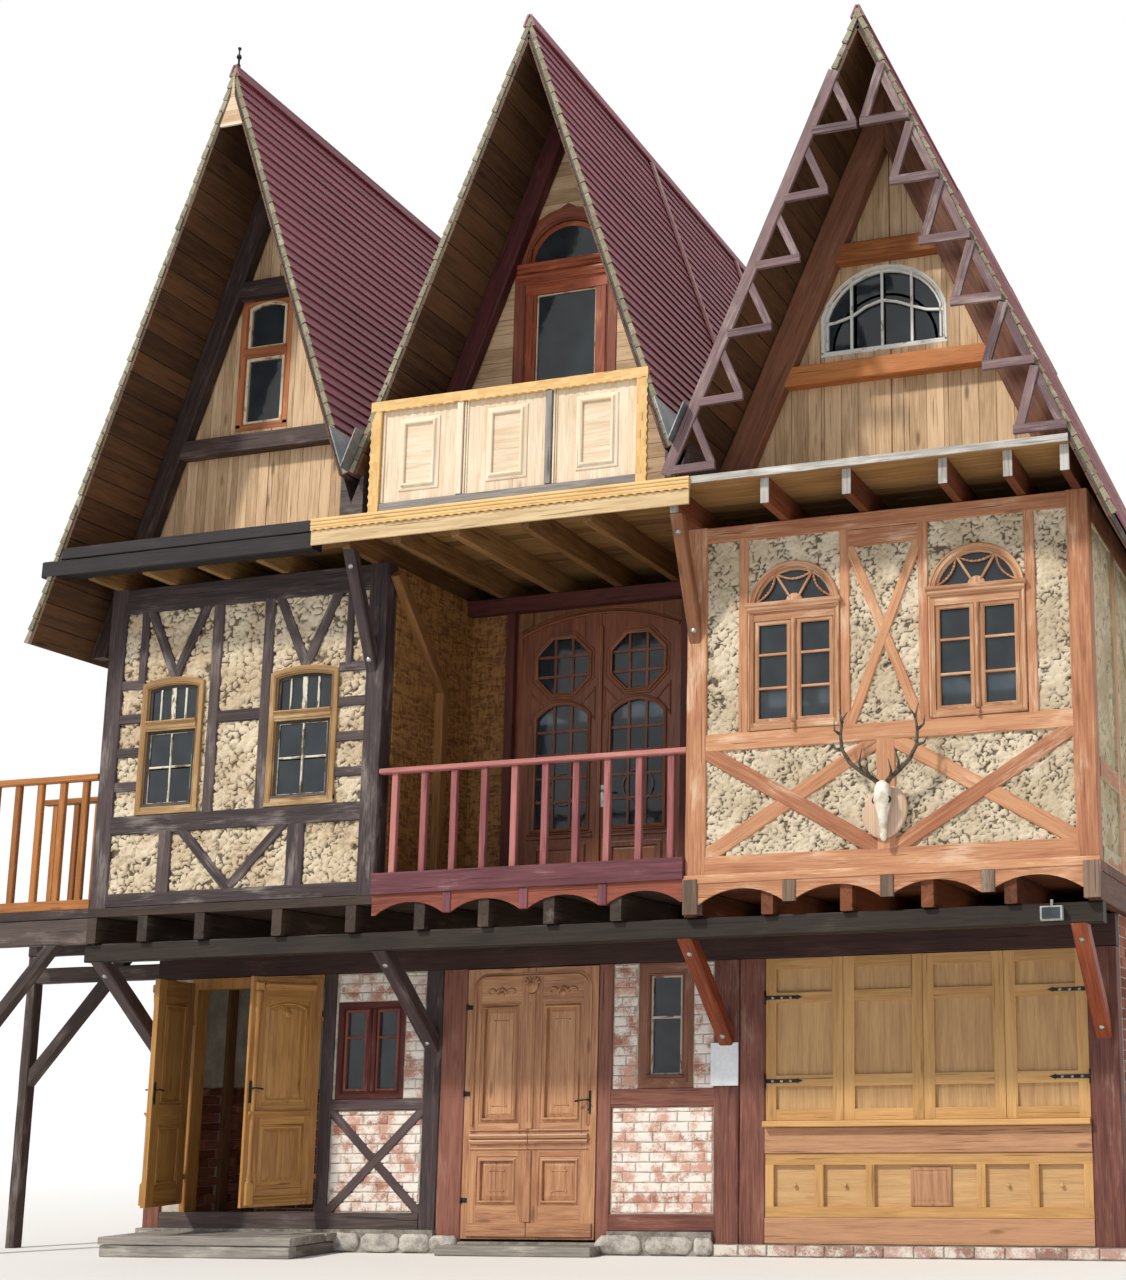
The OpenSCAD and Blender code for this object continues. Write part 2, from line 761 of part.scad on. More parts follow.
// Side and rear walls of the ground floor
module ground_walls() {
    color("#a07a6c") place() {
        yz(0, masonry_t) slab(wall_t, body_d - masonry_t, slab_h, ground_h);
        yz(ground_w - masonry_t, masonry_t) slab(wall_t, body_d - masonry_t, slab_h, ground_h);
        xz(body_d - masonry_t, masonry_t) difference() {
            slab(0, ground_w, slab_h, ground_h);
            for (x = rear_window_x) translate([x, rear_window_z[0]]) square([win_g1_w, win_g1_h]);
        }
    }
}
rear_window_x = [for (i = [0:3]) house_w * (i + 0.5) / 4 - win_g1_w / 2];
module rear_sash() {
    square_ring(win_g1_w, win_g1_h, frame_w);
    slab(win_g1_w / 2 - frame_w / 2, win_g1_w / 2 + frame_w / 2, 0, win_g1_h);
}
module rear_windows() {
    color("#7c2f28") place() xz(body_d - sash_t, sash_t)
        for (x = rear_window_x, z = rear_window_z) translate([x, z]) rear_sash();
}

module inner_wall() {
    color("#8f5f4c") place() xz(1300, 120) slab(masonry_t, bay_post_x, slab_h, ground_h);
}

// Joists that carry the first floor out over the street
joist_w = 100;
joist_pitch_b = 600;
joist_pitch_c = 660;
joists_a = [0, 535, 1124, 1904, 2630];
joists_x = [each joists_a, for (i = [0:3]) bx + 400 + i * joist_pitch_b,
    for (i = [0:4]) cx + i * joist_pitch_c, house_w - joist_w];
module jetty_joists() {
    color("#4a4340") place()
        for (x = joists_x) translate([x, front_y, ground_h]) cube([joist_w, body_d + jetty, joist_h]);
}

beam_set = 40;
beam_w = 150;
beam_h = 165;
module jetty_beam() {
    color("#3c3634") place()
        translate([-beam_set, front_y + beam_set, ground_h - beam_h]) cube([house_w + beam_set, beam_w, beam_h]);
}

// Knee braces from the posts up to the jetty's beam
knee_z = 1690;
knee_foot = 190;
knee_x = [15, bay_post_x + (bay_post_w - knee_w) / 2, stall_posts_x + (stall_post_w - knee_w) / 2,
    stall_r + (right_post_w - knee_w) / 2];
// A brace in Y and Z from a plumb foot up to a level head, t thick across its length
module raking(foot, head, t) {
    run = norm(head - foot);
    polygon([foot, foot + [0, t * run / abs(head[0] - foot[0])],
        head + [sign(foot[0] - head[0]) * t * run / (head[1] - foot[1]), 0], head]);
}
// Braces from the first floor's posts up to the deck's joists
deck_brace_w = 110;
deck_brace_t = 95;
deck_brace_z = 4980;
deck_brace_x = [bx - post_w, cx + 20];
// The brace along the loggia's left wall, from a short post up to the front
loggia_brace_w = 90;
loggia_post_w = 110;
loggia_brace = [[-40, 4960], [-900, 5810]];
module knee_braces() {
    y0 = front_y + beam_set;
    color("#6a3a28") place() {
        for (x = knee_x) yz(x, knee_w) polygon([[0, knee_z], [0, knee_z + knee_foot],
            [y0 + beam_w, ground_h - beam_h], [y0, ground_h - beam_h]]);
        for (x = deck_brace_x) yz(x, deck_brace_w)
            raking([front_y, deck_brace_z], [deck_y + joist_back + 15, first_top], deck_brace_t);
        yz(bx, loggia_brace_w) {
            raking(loggia_brace[0], loggia_brace[1], deck_brace_t);
            slab(loggia_brace[0][0] - loggia_post_w, loggia_brace[0][0],
                first_z, loggia_brace[0][1] + loggia_post_w);
        }
    }
}

module first_floor() {
    color("#7a6a58") place() translate([0, front_y, floor_z]) cube([house_w, body_d + jetty, floor_t]);
}

// Left bay of the first floor, outlines in X and Z
a_rail_z = first_z + rail_a_z;
a_win_z = a_rail_z + rail_a_h;
a_crown = a_win_z + win_a_h + win_a_rise;
rear_window_z = [ground_rail_z + ground_rail_h, a_win_z];
a_plate_z = first_top - plate_h;
a_wins = [[win_a1_x, win_a1_w], [win_a2_x, win_a2_w]];
win_gap = 48;
a_transom_z = 760;
a_transom_h = 90;
a_bar_z = 405;
short_n = 4;
module a_holes() {
    for (v = a_wins) translate([v[0], a_win_z]) arched(v[1], win_a_h, win_a_rise);
}
module a_sash() {
    for (v = a_wins) translate([v[0], a_win_z]) {
        arched_ring(v[1], win_a_h, win_a_rise, frame_w);
        slab(frame_w / 2, v[1] - frame_w / 2, a_transom_z, a_transom_z + a_transom_h);
        slab(v[1] / 2 - bar_w / 2, v[1] / 2 + bar_w / 2, frame_w / 2, win_a_h - frame_w / 2);
        slab(frame_w / 2, v[1] - frame_w / 2, a_bar_z, a_bar_z + bar_w);
    }
}
module a_timbers() {
    stud_a = win_a1_x + win_a1_w + win_gap;
    stud_b = win_a2_x - stud_w;
    slab(0, post_w, first_z, first_top);
    slab(bx - post_w, bx, first_z, first_top);
    slab(0, bx, first_z, first_z + sill_h);
    slab(0, bx, a_rail_z, a_win_z);
    slab(0, bx, a_plate_z, first_top);
    for (x = [stud_a, stud_b]) slab(x, x + stud_w, a_win_z, a_plate_z);
    slab(stud_a + stud_w, stud_b, a_win_z + win_a_h * 0.66, a_win_z + win_a_h * 0.66 + stud_w);
    slab(win_a1_x - 70, win_a1_x + 15, a_crown, a_plate_z);
    slab(win_a2_x + win_a2_w + win_gap, win_a2_x + win_a2_w + win_gap + 75, a_crown, a_plate_z);
    for (i = [1:short_n]) {
        z = a_win_z + i * (a_crown - a_win_z) / short_n - short_h;
        slab(post_w, win_a1_x, z, z + short_h);
        slab(win_a2_x + win_a2_w, bx - post_w, z, z + short_h);
    }
    intersection() {
        slab(0, bx, a_crown, a_plate_z);
        for (v = a_wins) {
            m = v[0] + v[1] / 2;
            for (s = [-1, 1]) strut([m, a_crown], [m + s * 290, a_plate_z], brace_w);
        }
    }
    intersection() {
        slab(0, bx, first_z + sill_h, a_rail_z);
        union() {
            slab(680, 820, first_z, a_rail_z);
            slab(2000, 2175, first_z, a_rail_z);
            strut([925, a_rail_z], [1420, first_z + sill_h], brace_w, 0);
            strut([1420, first_z + sill_h], [1940, a_rail_z], brace_w, 0);
        }
    }
}

module left_bay_frame() {
    color("#544a4c") place() xz(front_y, wall_t) difference() {
        a_timbers();
        a_holes();
    }
}

module left_bay_infill() {
    color("#c2ab78") place() xz(front_y + infill_set, wall_t - infill_set) difference() {
        slab(0, bx, first_z, first_top);
        a_timbers();
        a_holes();
    }
}

module left_bay_windows() {
    color("#9d8350") place() xz(front_y, sash_t) a_sash();
}

// Right bay of the first floor, outlines in X and Z from the bay's left face
stud_c_w = 85;
c_rail_z = first_z + rail_c_z;
c_win_z = c_rail_z + rail_c_h;
c_plate_h = 140;
c_plate_z = first_top - c_plate_h;
c_sill_h = 175;
c_arch = 345;
c_spring = win_c_h + 60;
c_wins = [win_c1_x, win_c2_x];
c_mid_x = 1624;
c_mid_w = 160;
module c_holes() {
    for (x = c_wins) translate([x, c_win_z]) arched(win_c_w, c_spring, c_arch);
}
module c_sash() {
    for (x = c_wins) translate([x, c_win_z]) {
        arched_ring(win_c_w, c_spring, c_arch, frame_w);
        slab(frame_w / 2, win_c_w - frame_w / 2, win_c_h - 90, win_c_h + 60);
        slab(win_c_w / 2 - 35, win_c_w / 2 + 35, frame_w / 2, win_c_h);
        for (z = [330, 620]) slab(frame_w / 2, win_c_w - frame_w / 2, z, z + bar_w);
    }
}
module c_timbers() {
    stud_l = win_c1_x + win_c_w;
    stud_r = win_c2_x - stud_c_w;
    slab(0, post_w, first_z, first_top);
    slab(bay_c_w - post_w, bay_c_w, first_z, first_top);
    slab(0, bay_c_w, first_z, first_z + c_sill_h);
    slab(0, bay_c_w, c_rail_z, c_win_z);
    slab(0, bay_c_w, c_plate_z, first_top);
    for (x = [win_c1_x - stud_c_w, stud_l, stud_r, win_c2_x + win_c_w])
        slab(x, x + stud_c_w, c_win_z, c_plate_z);
    slab(stud_l, stud_r, c_plate_z - 150, c_plate_z);
    cross(stud_l + stud_c_w, stud_r, c_win_z, c_plate_z - 150, stud_c_w);
    slab(c_mid_x, c_mid_x + c_mid_w, first_z, c_rail_z);
    cross(post_w, c_mid_x, first_z + c_sill_h, c_rail_z, cross_w);
    cross(c_mid_x + c_mid_w, bay_c_w - post_w, first_z + c_sill_h, c_rail_z, cross_w);
}

module right_bay_frame() {
    color("#a35a34") place() translate([cx, 0, 0]) xz(front_y, wall_t) difference() {
        c_timbers();
        c_holes();
    }
}

module right_bay_infill() {
    color("#b8ad8c") place() translate([cx, 0, 0]) xz(front_y + infill_set, wall_t - infill_set) difference() {
        slab(0, bay_c_w, first_z, first_top);
        c_timbers();
        c_holes();
    }
}

module right_bay_windows() {
    color("#b5876a") place() translate([cx, 0, 0]) xz(front_y, sash_t) c_sash();
}

module right_bay_valance() {
    color("#9a4f2c") place() xz(front_y - valance_t, valance_t)
        scalloped(cx, house_w, floor_z - 130, first_z + 20, 4, 120);
}

// A deer skull on a slice of wood, with antlers
trophy_x = cx + c_mid_x + c_mid_w / 2;
trophy_z = first_z + 450;
module rod(a, b, r1, r2) {
    hull() {
        translate(a) sphere(r1, $fn = 8);
        translate(b) sphere(r2, $fn = 8);
    }
}
antler = [[25, -75, 130], [150, -110, 240], [215, -130, 400], [190, -150, 560], [230, -165, 690]];
antler_r = [17, 15, 13, 10, 5];
tines = [[1, [130, -230, 330], 10, 4], [2, [300, -170, 520], 9, 4], [3, [110, -200, 660], 8, 4]];
module trophy() {
    color("#cdbfa6") place() translate([trophy_x, front_y, trophy_z]) {
        rotate([90, 0, 0]) cylinder(r = 205, h = 30, $fn = 48);
        rod([0, -75, 110], [0, -70, -20], 64, 42);
        rod([0, -70, -20], [0, -60, -190], 42, 24);
        for (s = [-1, 1]) mirror([s > 0 ? 1 : 0, 0, 0]) {
            for (i = [0:len(antler) - 2]) rod(antler[i], antler[i + 1], antler_r[i], antler_r[i + 1]);
            for (t = tines) rod(antler[t[0]], t[1], t[2], t[3]);
        }
    }
}

// The loggia: walls, doors, balustrade and fascia
loggia_y = front_y + loggia_d;
loggia_door_shift = 80;
loggia_door_x = (cx + bx - loggia_door_w) / 2 - loggia_door_shift;
loggia_rise = 190;
module loggia_hole() {
    translate([loggia_door_x, first_z]) arched(loggia_door_w, loggia_door_h - loggia_rise, loggia_rise);
}
module loggia_walls() {
    color("#b48a55") place() {
        yz(bx - loggia_t, loggia_t) slab(front_y + wall_t, loggia_y, first_z, first_top);
        yz(cx, loggia_t) slab(front_y + wall_t, loggia_y, first_z, first_top);
        xz(loggia_y, loggia_t) difference() {
            slab(bx - loggia_t, cx + loggia_t, first_z, first_top);
            loggia_hole();
        }
    }
}
module eight_sided(w) {
    rotate(22.5) circle(d = w / cos(22.5), $fn = 8);
}
loggia_frame = 90;
loggia_leaf_w = loggia_door_w / 2 - loggia_frame;
loggia_light = [520, 1040, 120];
loggia_light_z = 720;
loggia_eye_w = 540;
loggia_eye_z = 2255;
loggia_bars_x = [-100, 76];
loggia_bars_z = [960, 1180, 1400, 1620, 2150, 2340];
meeting_w = 60;
loggia_kick_x = 120;
loggia_kick_z = 160;
loggia_kick_h = 400;
module loggia_lights() {
    for (s = [0, 1]) translate([loggia_door_x + loggia_frame + s * loggia_leaf_w + loggia_leaf_w / 2, first_z]) {
        translate([0, loggia_eye_z]) eight_sided(loggia_eye_w);
        translate([-loggia_light[0] / 2, loggia_light_z])
            arched(loggia_light[0], loggia_light[1], loggia_light[2]);
    }
}
module loggia_bars() {
    for (s = [0, 1]) translate([loggia_door_x + loggia_frame + s * loggia_leaf_w + loggia_leaf_w / 2, first_z]) {
        for (x = loggia_bars_x) slab(x, x + bar_w, loggia_light_z - 20, loggia_eye_z + loggia_eye_w);
        for (z = loggia_bars_z) slab(-loggia_eye_w, loggia_eye_w, z, z + bar_w);
    }
}
module loggia_doors() {
    color("#8a4a2a") place() {
        xz(loggia_y + 15, sash_t) intersection() {
            loggia_hole();
            difference() {
                slab(loggia_door_x, loggia_door_x + loggia_door_w, first_z, first_top);
                loggia_lights();
            }
        }
        xz(loggia_y + 30, 30) intersection() {
            loggia_lights();
            loggia_bars();
        }
        xz(loggia_y - 5, 20) translate([loggia_door_x + (loggia_door_w - meeting_w) / 2, first_z + 40])
            square([meeting_w, loggia_door_h - loggia_rise - 40]);
        for (s = [0, 1]) translate([loggia_door_x + loggia_frame + s * loggia_leaf_w + loggia_kick_x, 0, first_z])
            xz(loggia_y - 3, 18) translate([0, loggia_kick_z])
                square_ring(loggia_leaf_w - 2 * loggia_kick_x, loggia_kick_h, 40);
    }
}

handrail_h = 45;
module loggia_rail() {
    z0 = first_z + fascia_h;
    z1 = first_z + rail_top - handrail_h;
    pitch = bay_b_w / baluster_n;
    color("#7d2f2c") place() {
        translate([bx, front_y + 5, z1]) cube([bay_b_w, 90, handrail_h]);
        for (i = [0:baluster_n - 1])
            translate([bx + (i + 0.5) * pitch - baluster_w / 2, front_y + 30, z0]) cube([baluster_w, 40, z1 - z0]);
    }
}

module loggia_fascia() {
    color("#6e2a28") place() {
        xz(front_y, 100) slab(bx, cx, first_z, first_z + fascia_h);
        xz(front_y - valance_t, valance_t) scalloped(bx, cx, floor_z - 100, first_z + 60, 4, 110);
    }
}

// Side and rear walls of the first floor, framed like the front, their panels set back
side_post_w = 150;
side_panel_n = 4;
// A panel below the middle rail and one above it, the upper one crossed by a brace where lean is 1 or -1
module panel_pair(u0, u1, lean = 0) {
    slab(u0, u1, first_z + sill_h, a_rail_z);
    difference() {
        slab(u0, u1, a_win_z, a_plate_z);
        if (lean != 0) strut([lean > 0 ? u1 : u0, a_win_z], [lean > 0 ? u0 : u1, a_plate_z], cross_w);
    }
}
module side_panels() {
    pitch = (body_d - wall_t) / side_panel_n;
    panel_pair(front_y + wall_t, 0);
    for (i = [0:side_panel_n - 1])
        panel_pair(i * pitch + side_post_w, (i + 1) * pitch, i == 0 ? 1 : i == side_panel_n - 1 ? -1 : 0);
}
module rear_panels() {
    marks = [post_w, for (x = rear_window_x) each [x - stud_w, x + win_g1_w + stud_w], house_w - post_w];
    last = len(marks) - 2;
    for (i = [0:2:last]) panel_pair(marks[i], marks[i + 1], i == 0 ? 1 : i == last ? -1 : 0);
    for (x = rear_window_x) {
        slab(x, x + win_g1_w, first_z + sill_h, a_rail_z);
        slab(x, x + win_g1_w, rear_window_z[1] + win_g1_h + stud_w, a_plate_z);
    }
}
module first_walls() {
    color("#a89a78") place() {
        for (left = [true, false]) difference() {
            yz(left ? 0 : house_w - wall_t, wall_t) slab(front_y + wall_t, body_d - wall_t, first_z, first_top);
            yz(left ? -eps : house_w - infill_set, infill_set + eps) side_panels();
        }
        difference() {
            xz(body_d - wall_t, wall_t) slab(0, house_w, first_z, first_top);
            xz(body_d - wall_t - eps, wall_t + 2 * eps) for (x = rear_window_x)
                translate([x, rear_window_z[1]]) square([win_g1_w, win_g1_h]);
            xz(body_d - infill_set, infill_set + eps) rear_panels();
        }
    }
}

attic_joist_w = 75;
joist_seat = 5;
joist_back = 60;
attic_joists_x = [40, 620, 1200, 1800];
joist_over_brace = (deck_brace_w - attic_joist_w) / 2;
deck_joists_b = [330, 890, 1540, 2110];
deck_joists_c = [820, 1510, 2300, 2820];
deck_joists_x = [deck_brace_x[0] + joist_over_brace, for (d = deck_joists_b) bx + d,
    deck_brace_x[1] + joist_over_brace, for (d = deck_joists_c) cx + d,
    right_at(ridge_c, slope_cr, under_roof, deck_z) - attic_joist_w - joist_seat];
front_beam_t = 150;
deck_split = bx - 425;
module attic_joists() {
    color("#6b4a32") place() {
        for (x = attic_joists_x) translate([x, deck_y + front_beam_t, first_top])
            cube([attic_joist_w, body_d - deck_y - front_beam_t, attic_joist_h]);
        for (x = deck_joists_x) translate([x, deck_y + joist_back, first_top])
            cube([attic_joist_w, body_d - deck_y - joist_back, attic_joist_h]);
    }
}

// Deck between the feet of the outer slopes
module attic_deck() {
    color("#9b9a94") place() {
        xz(front_y, body_d - front_y) intersection() {
            slab(-far, deck_split, deck_z, attic_z);
            tent(ridge_a, slope_al, slope_ar, under_roof, deck_z);
        }
        xz(deck_y, body_d - deck_y) intersection() {
            slab(deck_split, far, deck_z, attic_z);
            union() {
                slab(deck_split, ridge_c[0], deck_z, attic_z);
                tent(ridge_c, slope_cl, slope_cr, under_roof, deck_z);
            }
        }
    }
}

front_beam_out = 342;
module front_beam() {
    color("#3a3130") place() xz(deck_y, front_beam_t)
        slab(-front_beam_out, deck_split, first_top + 10, first_top + 170);
}

fascia_end = cx + 237;
fascia_split_z = attic_z - 106;
module deck_fascia() {
    color("#d9bd78") place() {
        xz(deck_y - 25, 25) slab(deck_split, fascia_end, deck_z - 175, fascia_split_z);
        xz(deck_y - 40, 40) scalloped(deck_split, fascia_end, fascia_split_z, attic_z - 4, 44, 12);
    }
}

// The panelled box before the middle gable
box_x = bx + 100;
module balcony_box() {
    rail = 90;
    post = 100;
    inner_w = (box_l - 4 * post) / 3;
    color("#d8b684") place() translate([box_x, 0, attic_z]) {
        xz(deck_y, box_t) {
            slab(0, box_l, box_h - rail, box_h);
            slab(0, box_l, 0, rail);
            for (i = [0:3]) slab(i * (inner_w + post), i * (inner_w + post) + post, rail, box_h - rail);
        }
        xz(deck_y + 30, box_t - 45) for (i = [0:2])
            slab(post + i * (inner_w + post), post + i * (inner_w + post) + inner_w, rail, box_h - rail);
        xz(deck_y + 8, 22) for (i = [0:2]) translate([post + i * (inner_w + post) + inner_w / 2 - 180, 190])
            square_ring(360, 620, 50);
    }
}

// Windows of the gables, outlines in X and Z
ga_x = ridge_a_x - 113;
gb_x = ridge_b[0] - 17;
gc_x = ridge_c[0] - 62;
module ga_hole() {
    translate([ga_x - win_ga_w / 2, attic_z + win_ga_z]) arched(win_ga_w, win_ga_h, 66);
}
module ga_sash() {
    translate([ga_x - win_ga_w / 2, attic_z + win_ga_z]) {
        arched_ring(win_ga_w, win_ga_h, 66, 75);
        slab(40, win_ga_w - 40, 740, 810);
    }
}
module gb_hole() {
    translate([gb_x - win_gb_w / 2, attic_z]) arched(win_gb_w, win_gb_h, 500);
}
module gb_sash() {
    translate([gb_x - win_gb_w / 2, attic_z]) {
        arched_ring(win_gb_w, win_gb_h, 500, 120);
        slab(60, win_gb_w - 60, win_gb_h - 160, win_gb_h - 20);
        slab(120, 220, 0, win_gb_h - 100);
        slab(win_gb_w - 220, win_gb_w - 120, 0, win_gb_h - 100);
        slab(60, win_gb_w - 60, win_gb_h - 300, win_gb_h - 160);
        slab(60, win_gb_w - 60, 0, 300);
    }
}
module gc_hole() {
    translate([gc_x - win_gc_w / 2, attic_z + win_gc_z]) arched(win_gc_w, win_gc_h, 416);
}
module gc_sash() {
    translate([gc_x - win_gc_w / 2, attic_z + win_gc_z]) {
        arched_ring(win_gc_w, win_gc_h, 416, 45);
        intersection() {
            arched(win_gc_w, win_gc_h, 416);
            union() {
                for (x = [290, 548, 806]) slab(x, x + bar_w, 0, far);
                translate([548 + bar_w / 2, 60]) difference() {
                    circle(470);
                    circle(470 - bar_w);
                }
            }
        }
    }
}

module gable_boards(y) {
    xz(y, gable_t) children();
}
module a_gable() {
    intersection() {
        tent(ridge_a, slope_al, slope_ar, under_roof, attic_z);
        slab(-far, valley_ab - valley_w - roof_gap, attic_z, far);
    }
}
module b_gable() {
    intersection() {
        tent(ridge_b, slope_bl, slope_br, under_roof, attic_z);
        slab(valley_ab + valley_w + roof_gap, valley_bc - valley_w - roof_gap, attic_z, far);
    }
}
module c_gable() {
    intersection() {
        tent(ridge_c, slope_cl, slope_cr, under_roof, attic_z);
        slab(valley_bc + valley_w + roof_gap, far, attic_z, far);
    }
}
module left_gable() {
    color("#9c6a3c") place() gable_boards(gable_y) difference() {
        a_gable();
        ga_hole();
    }
}
module middle_gable() {
    color("#9c6a3c") place() gable_boards(gable_y) difference() {
        b_gable();
        gb_hole();
    }
}
module right_gable() {
    color("#9c6a3c") place() gable_boards(gable_y) difference() {
        c_gable();
        gc_hole();
    }
}
module rear_gables() {
    color("#8f6238") place() gable_boards(body_d - gable_t) {
        a_gable();
        b_gable();
        c_gable();
    }
}

module left_truss() {
    tail_w = 150;
    color("#46302a") place() {
        xz(gable_y - truss_t, truss_t) difference() {
            intersection() {
                a_gable();
                union() {
                    difference() {
                        slab(-far, far, attic_z, far);
                        tent(ridge_a, slope_al, slope_ar, roof_t + rafter_a_w, attic_z - eps);
                    }
                    for (z = [collar_a1_z, collar_a2_z]) slab(-far, far, attic_z + z, attic_z + z + collar_h);
                }
            }
        }
        xz(gable_y - truss_t, truss_t) intersection() {
            slab(-far, 0, attic_z - eave_a_drop, deck_z);
            difference() {
                tent(ridge_a, slope_al, slope_ar, under_roof, attic_z - far);
                tent(ridge_a, slope_al, slope_ar, under_roof + tail_w, attic_z - far - eps);
            }
        }
    }
}
module middle_truss() {
    color("#6a2c2c") place() xz(gable_y - truss_t, truss_t) intersection() {
        b_gable();
        difference() {
            slab(-far, far, attic_z, far);
            tent(ridge_b, slope_bl, slope_br, roof_t + rafter_b_w, attic_z - eps);
        }
    }
}
module right_truss() {
    color("#8a4a2c") place() xz(gable_y - truss_t, truss_t) intersection() {
        c_gable();
        union() {
            difference() {
                slab(-far, far, attic_z, far);
                tent(ridge_c, slope_cl, slope_cr, roof_t + rafter_c_w, attic_z - eps);
            }
            for (z = [collar_c1_z, collar_c2_z]) slab(-far, far, attic_z + z, attic_z + z + collar_h);
        }
    }
}

module left_gable_window() {
    color("#a4502c") place() xz(gable_y, sash_t) ga_sash();
}
module middle_gable_window() {
    color("#8c4424") place() xz(gable_y, sash_t) gb_sash();
}
module right_gable_window() {
    color("#d8d4c8") place() xz(gable_y, sash_t) gc_sash();
}

module window_glass() {
    color("#5c6b78") place() {
        xz(infill_set + sash_t / 2, glass_t) difference() {
            g1_hole();
            g1_sash();
        }
        xz(infill_set + sash_t / 2, glass_t) difference() {
            g2_hole();
            g2_sash();
        }
        xz(front_y + sash_t / 2, glass_t) difference() {
            a_holes();
            a_sash();
        }
        translate([cx, 0, 0]) xz(front_y + sash_t / 2, glass_t) difference() {
            c_holes();
            c_sash();
        }
        xz(loggia_y + 42, glass_t) difference() {
            loggia_lights();
            loggia_bars();
        }
        xz(gable_y + sash_t / 2, glass_t) {
            difference() {
                ga_hole();
                ga_sash();
            }
            difference() {
                gb_hole();
                gb_sash();
            }
            difference() {
                gc_hole();
                gc_sash();
            }
        }
        for (x = rear_window_x, z = rear_window_z) xz(body_d - sash_t / 2, glass_t) translate([x, z]) difference() {
            square([win_g1_w, win_g1_h]);
            rear_sash();
        }
    }
}

// Height of an inner slope face at x
function left_z(r, s, t, x) = r[1] - drop(s, t) - s * (r[0] - x);
function right_z(r, s, t, x) = r[1] - drop(s, t) - s * (x - r[0]);

module valley_plate(ra, sal, sar, rb, sbl, sbr, v) {
    intersection() {
        tent(ra, sal, sar, under_roof, attic_z);
        slab(v - valley_w, v, attic_z, far);
    }
    intersection() {
        tent(rb, sbl, sbr, under_roof, attic_z);
        slab(v, v + valley_w, attic_z, far);
    }
}
module valley_plates() {
    color("#5b4636") place() xz(deck_y + box_t + 10, body_d - deck_y - box_t - 10) {
        valley_plate(ridge_a, slope_al, slope_ar, ridge_b, slope_bl, slope_br, valley_ab);
        valley_plate(ridge_b, slope_bl, slope_br, ridge_c, slope_cl, slope_cr, valley_bc);
    }
}

gutter_w = 130;
gutter_t = 8;
gutter_out = 110;
module gutter(ra, sa, rb, sb, v) {
    z = right_z(ra, sa, -roof_gap, v);
    za = right_z(ra, sa, -roof_gap, v - gutter_w);
    zb = left_z(rb, sb, -roof_gap, v + gutter_w);
    up = gutter_t * 3;
    polygon([[v - gutter_w, za], [v, z], [v + gutter_w, zb], [v + gutter_w, zb + up], [v, z + up],
        [v - gutter_w, za + up]]);
}
module valley_gutters() {
    color("#8e9297") place() xz(deck_y - gutter_out, rear_y - deck_y + gutter_out) {
        gutter(ridge_a, slope_ar, ridge_b, slope_bl, valley_ab);
        gutter(ridge_b, slope_br, ridge_c, slope_cl, valley_bc);
    }
}

// Both slopes of one roof between two plumb lines, with its ridge cap
module roof_slopes(r, sl, sr, x0, x1, zl, zr) {
    difference() {
        intersection() {
            tent(r, sl, sr, 0, min(zl, zr));
            union() {
                slab(x0, r[0], zl, far);
                slab(r[0], x1, zr, far);
            }
        }
        tent(r, sl, sr, roof_t, min(zl, zr) - eps);
    }
    difference() {
        tent(r, sl, sr, -cap_t, r[1] - cap_w);
        tent(r, sl, sr, cap_t, r[1] - cap_w - eps);
    }
}
module left_roof() {
    eave = attic_z - eave_a_drop;
    color("#6b2630") place() difference() {
        xz(deck_y, rear_y - deck_y)
            roof_slopes(ridge_a, slope_al, slope_ar, -far, valley_ab, eave, attic_z);
        xz(deck_y - eps, front_beam_t + eps) slab(-front_beam_out, deck_split, first_top + 10, first_top + 170);
    }
}
module middle_roof() {
    color("#6b2630") place() difference() {
        xz(deck_y, rear_y - deck_y)
            roof_slopes(ridge_b, slope_bl, slope_br, valley_ab, valley_bc, attic_z, attic_z);
        xz(deck_y - eps, box_t + eps) slab(box_x, box_x + box_l, attic_z, attic_z + box_h);
    }
}
module right_roof() {
    eave = attic_z - eave_c_drop;
    color("#6b2630") place() xz(deck_y, rear_y - deck_y)
        roof_slopes(ridge_c, slope_cl, slope_cr, valley_bc, far, attic_z, eave);
}

// Zigzag bargeboards: a stringer under each verge with triangles of laths inside
stringer_w = 90;
zig_top = zig_z + zig_n * zig_pitch;
module zigzag(side) {
    function inner_x(z) = side < 0 ? left_at(ridge_c, slope_cl, stringer_w, z)
        : right_at(ridge_c, slope_cr, stringer_w, z);
    intersection() {
        union() {
            difference() {
                tent(ridge_c, slope_cl, slope_cr, roof_gap, attic_z);
                tent(ridge_c, slope_cl, slope_cr, stringer_w, attic_z - eps);
            }
            intersection() {
                tent(ridge_c, slope_cl, slope_cr, stringer_w - eps, attic_z);
                for (k = [0:zig_n - 1]) {
                    z = attic_z + zig_z + k * zig_pitch;
                    tip = inner_x(z) - side * zig_w;
                    union() {
                        slab(min(tip, tip + side * far), max(tip, tip + side * far), z, z + lath_w);
                        intersection() {
                            slab(-far, far, z, far);
                            strut([tip + side * lath_w / 3, z + lath_w / 2], [inner_x(z + zig_h), z + zig_h], lath_w, 60);
                        }
                    }
                }
            }
        }
        slab(side < 0 ? -far : ridge_c[0], side < 0 ? ridge_c[0] : far, attic_z + zig_z, attic_z + zig_top);
    }
}
module bargeboards() {
    color("#7b6468") place() xz(deck_y - lath_t, lath_t) {
        zigzag(-1);
        zigzag(1);
    }
}

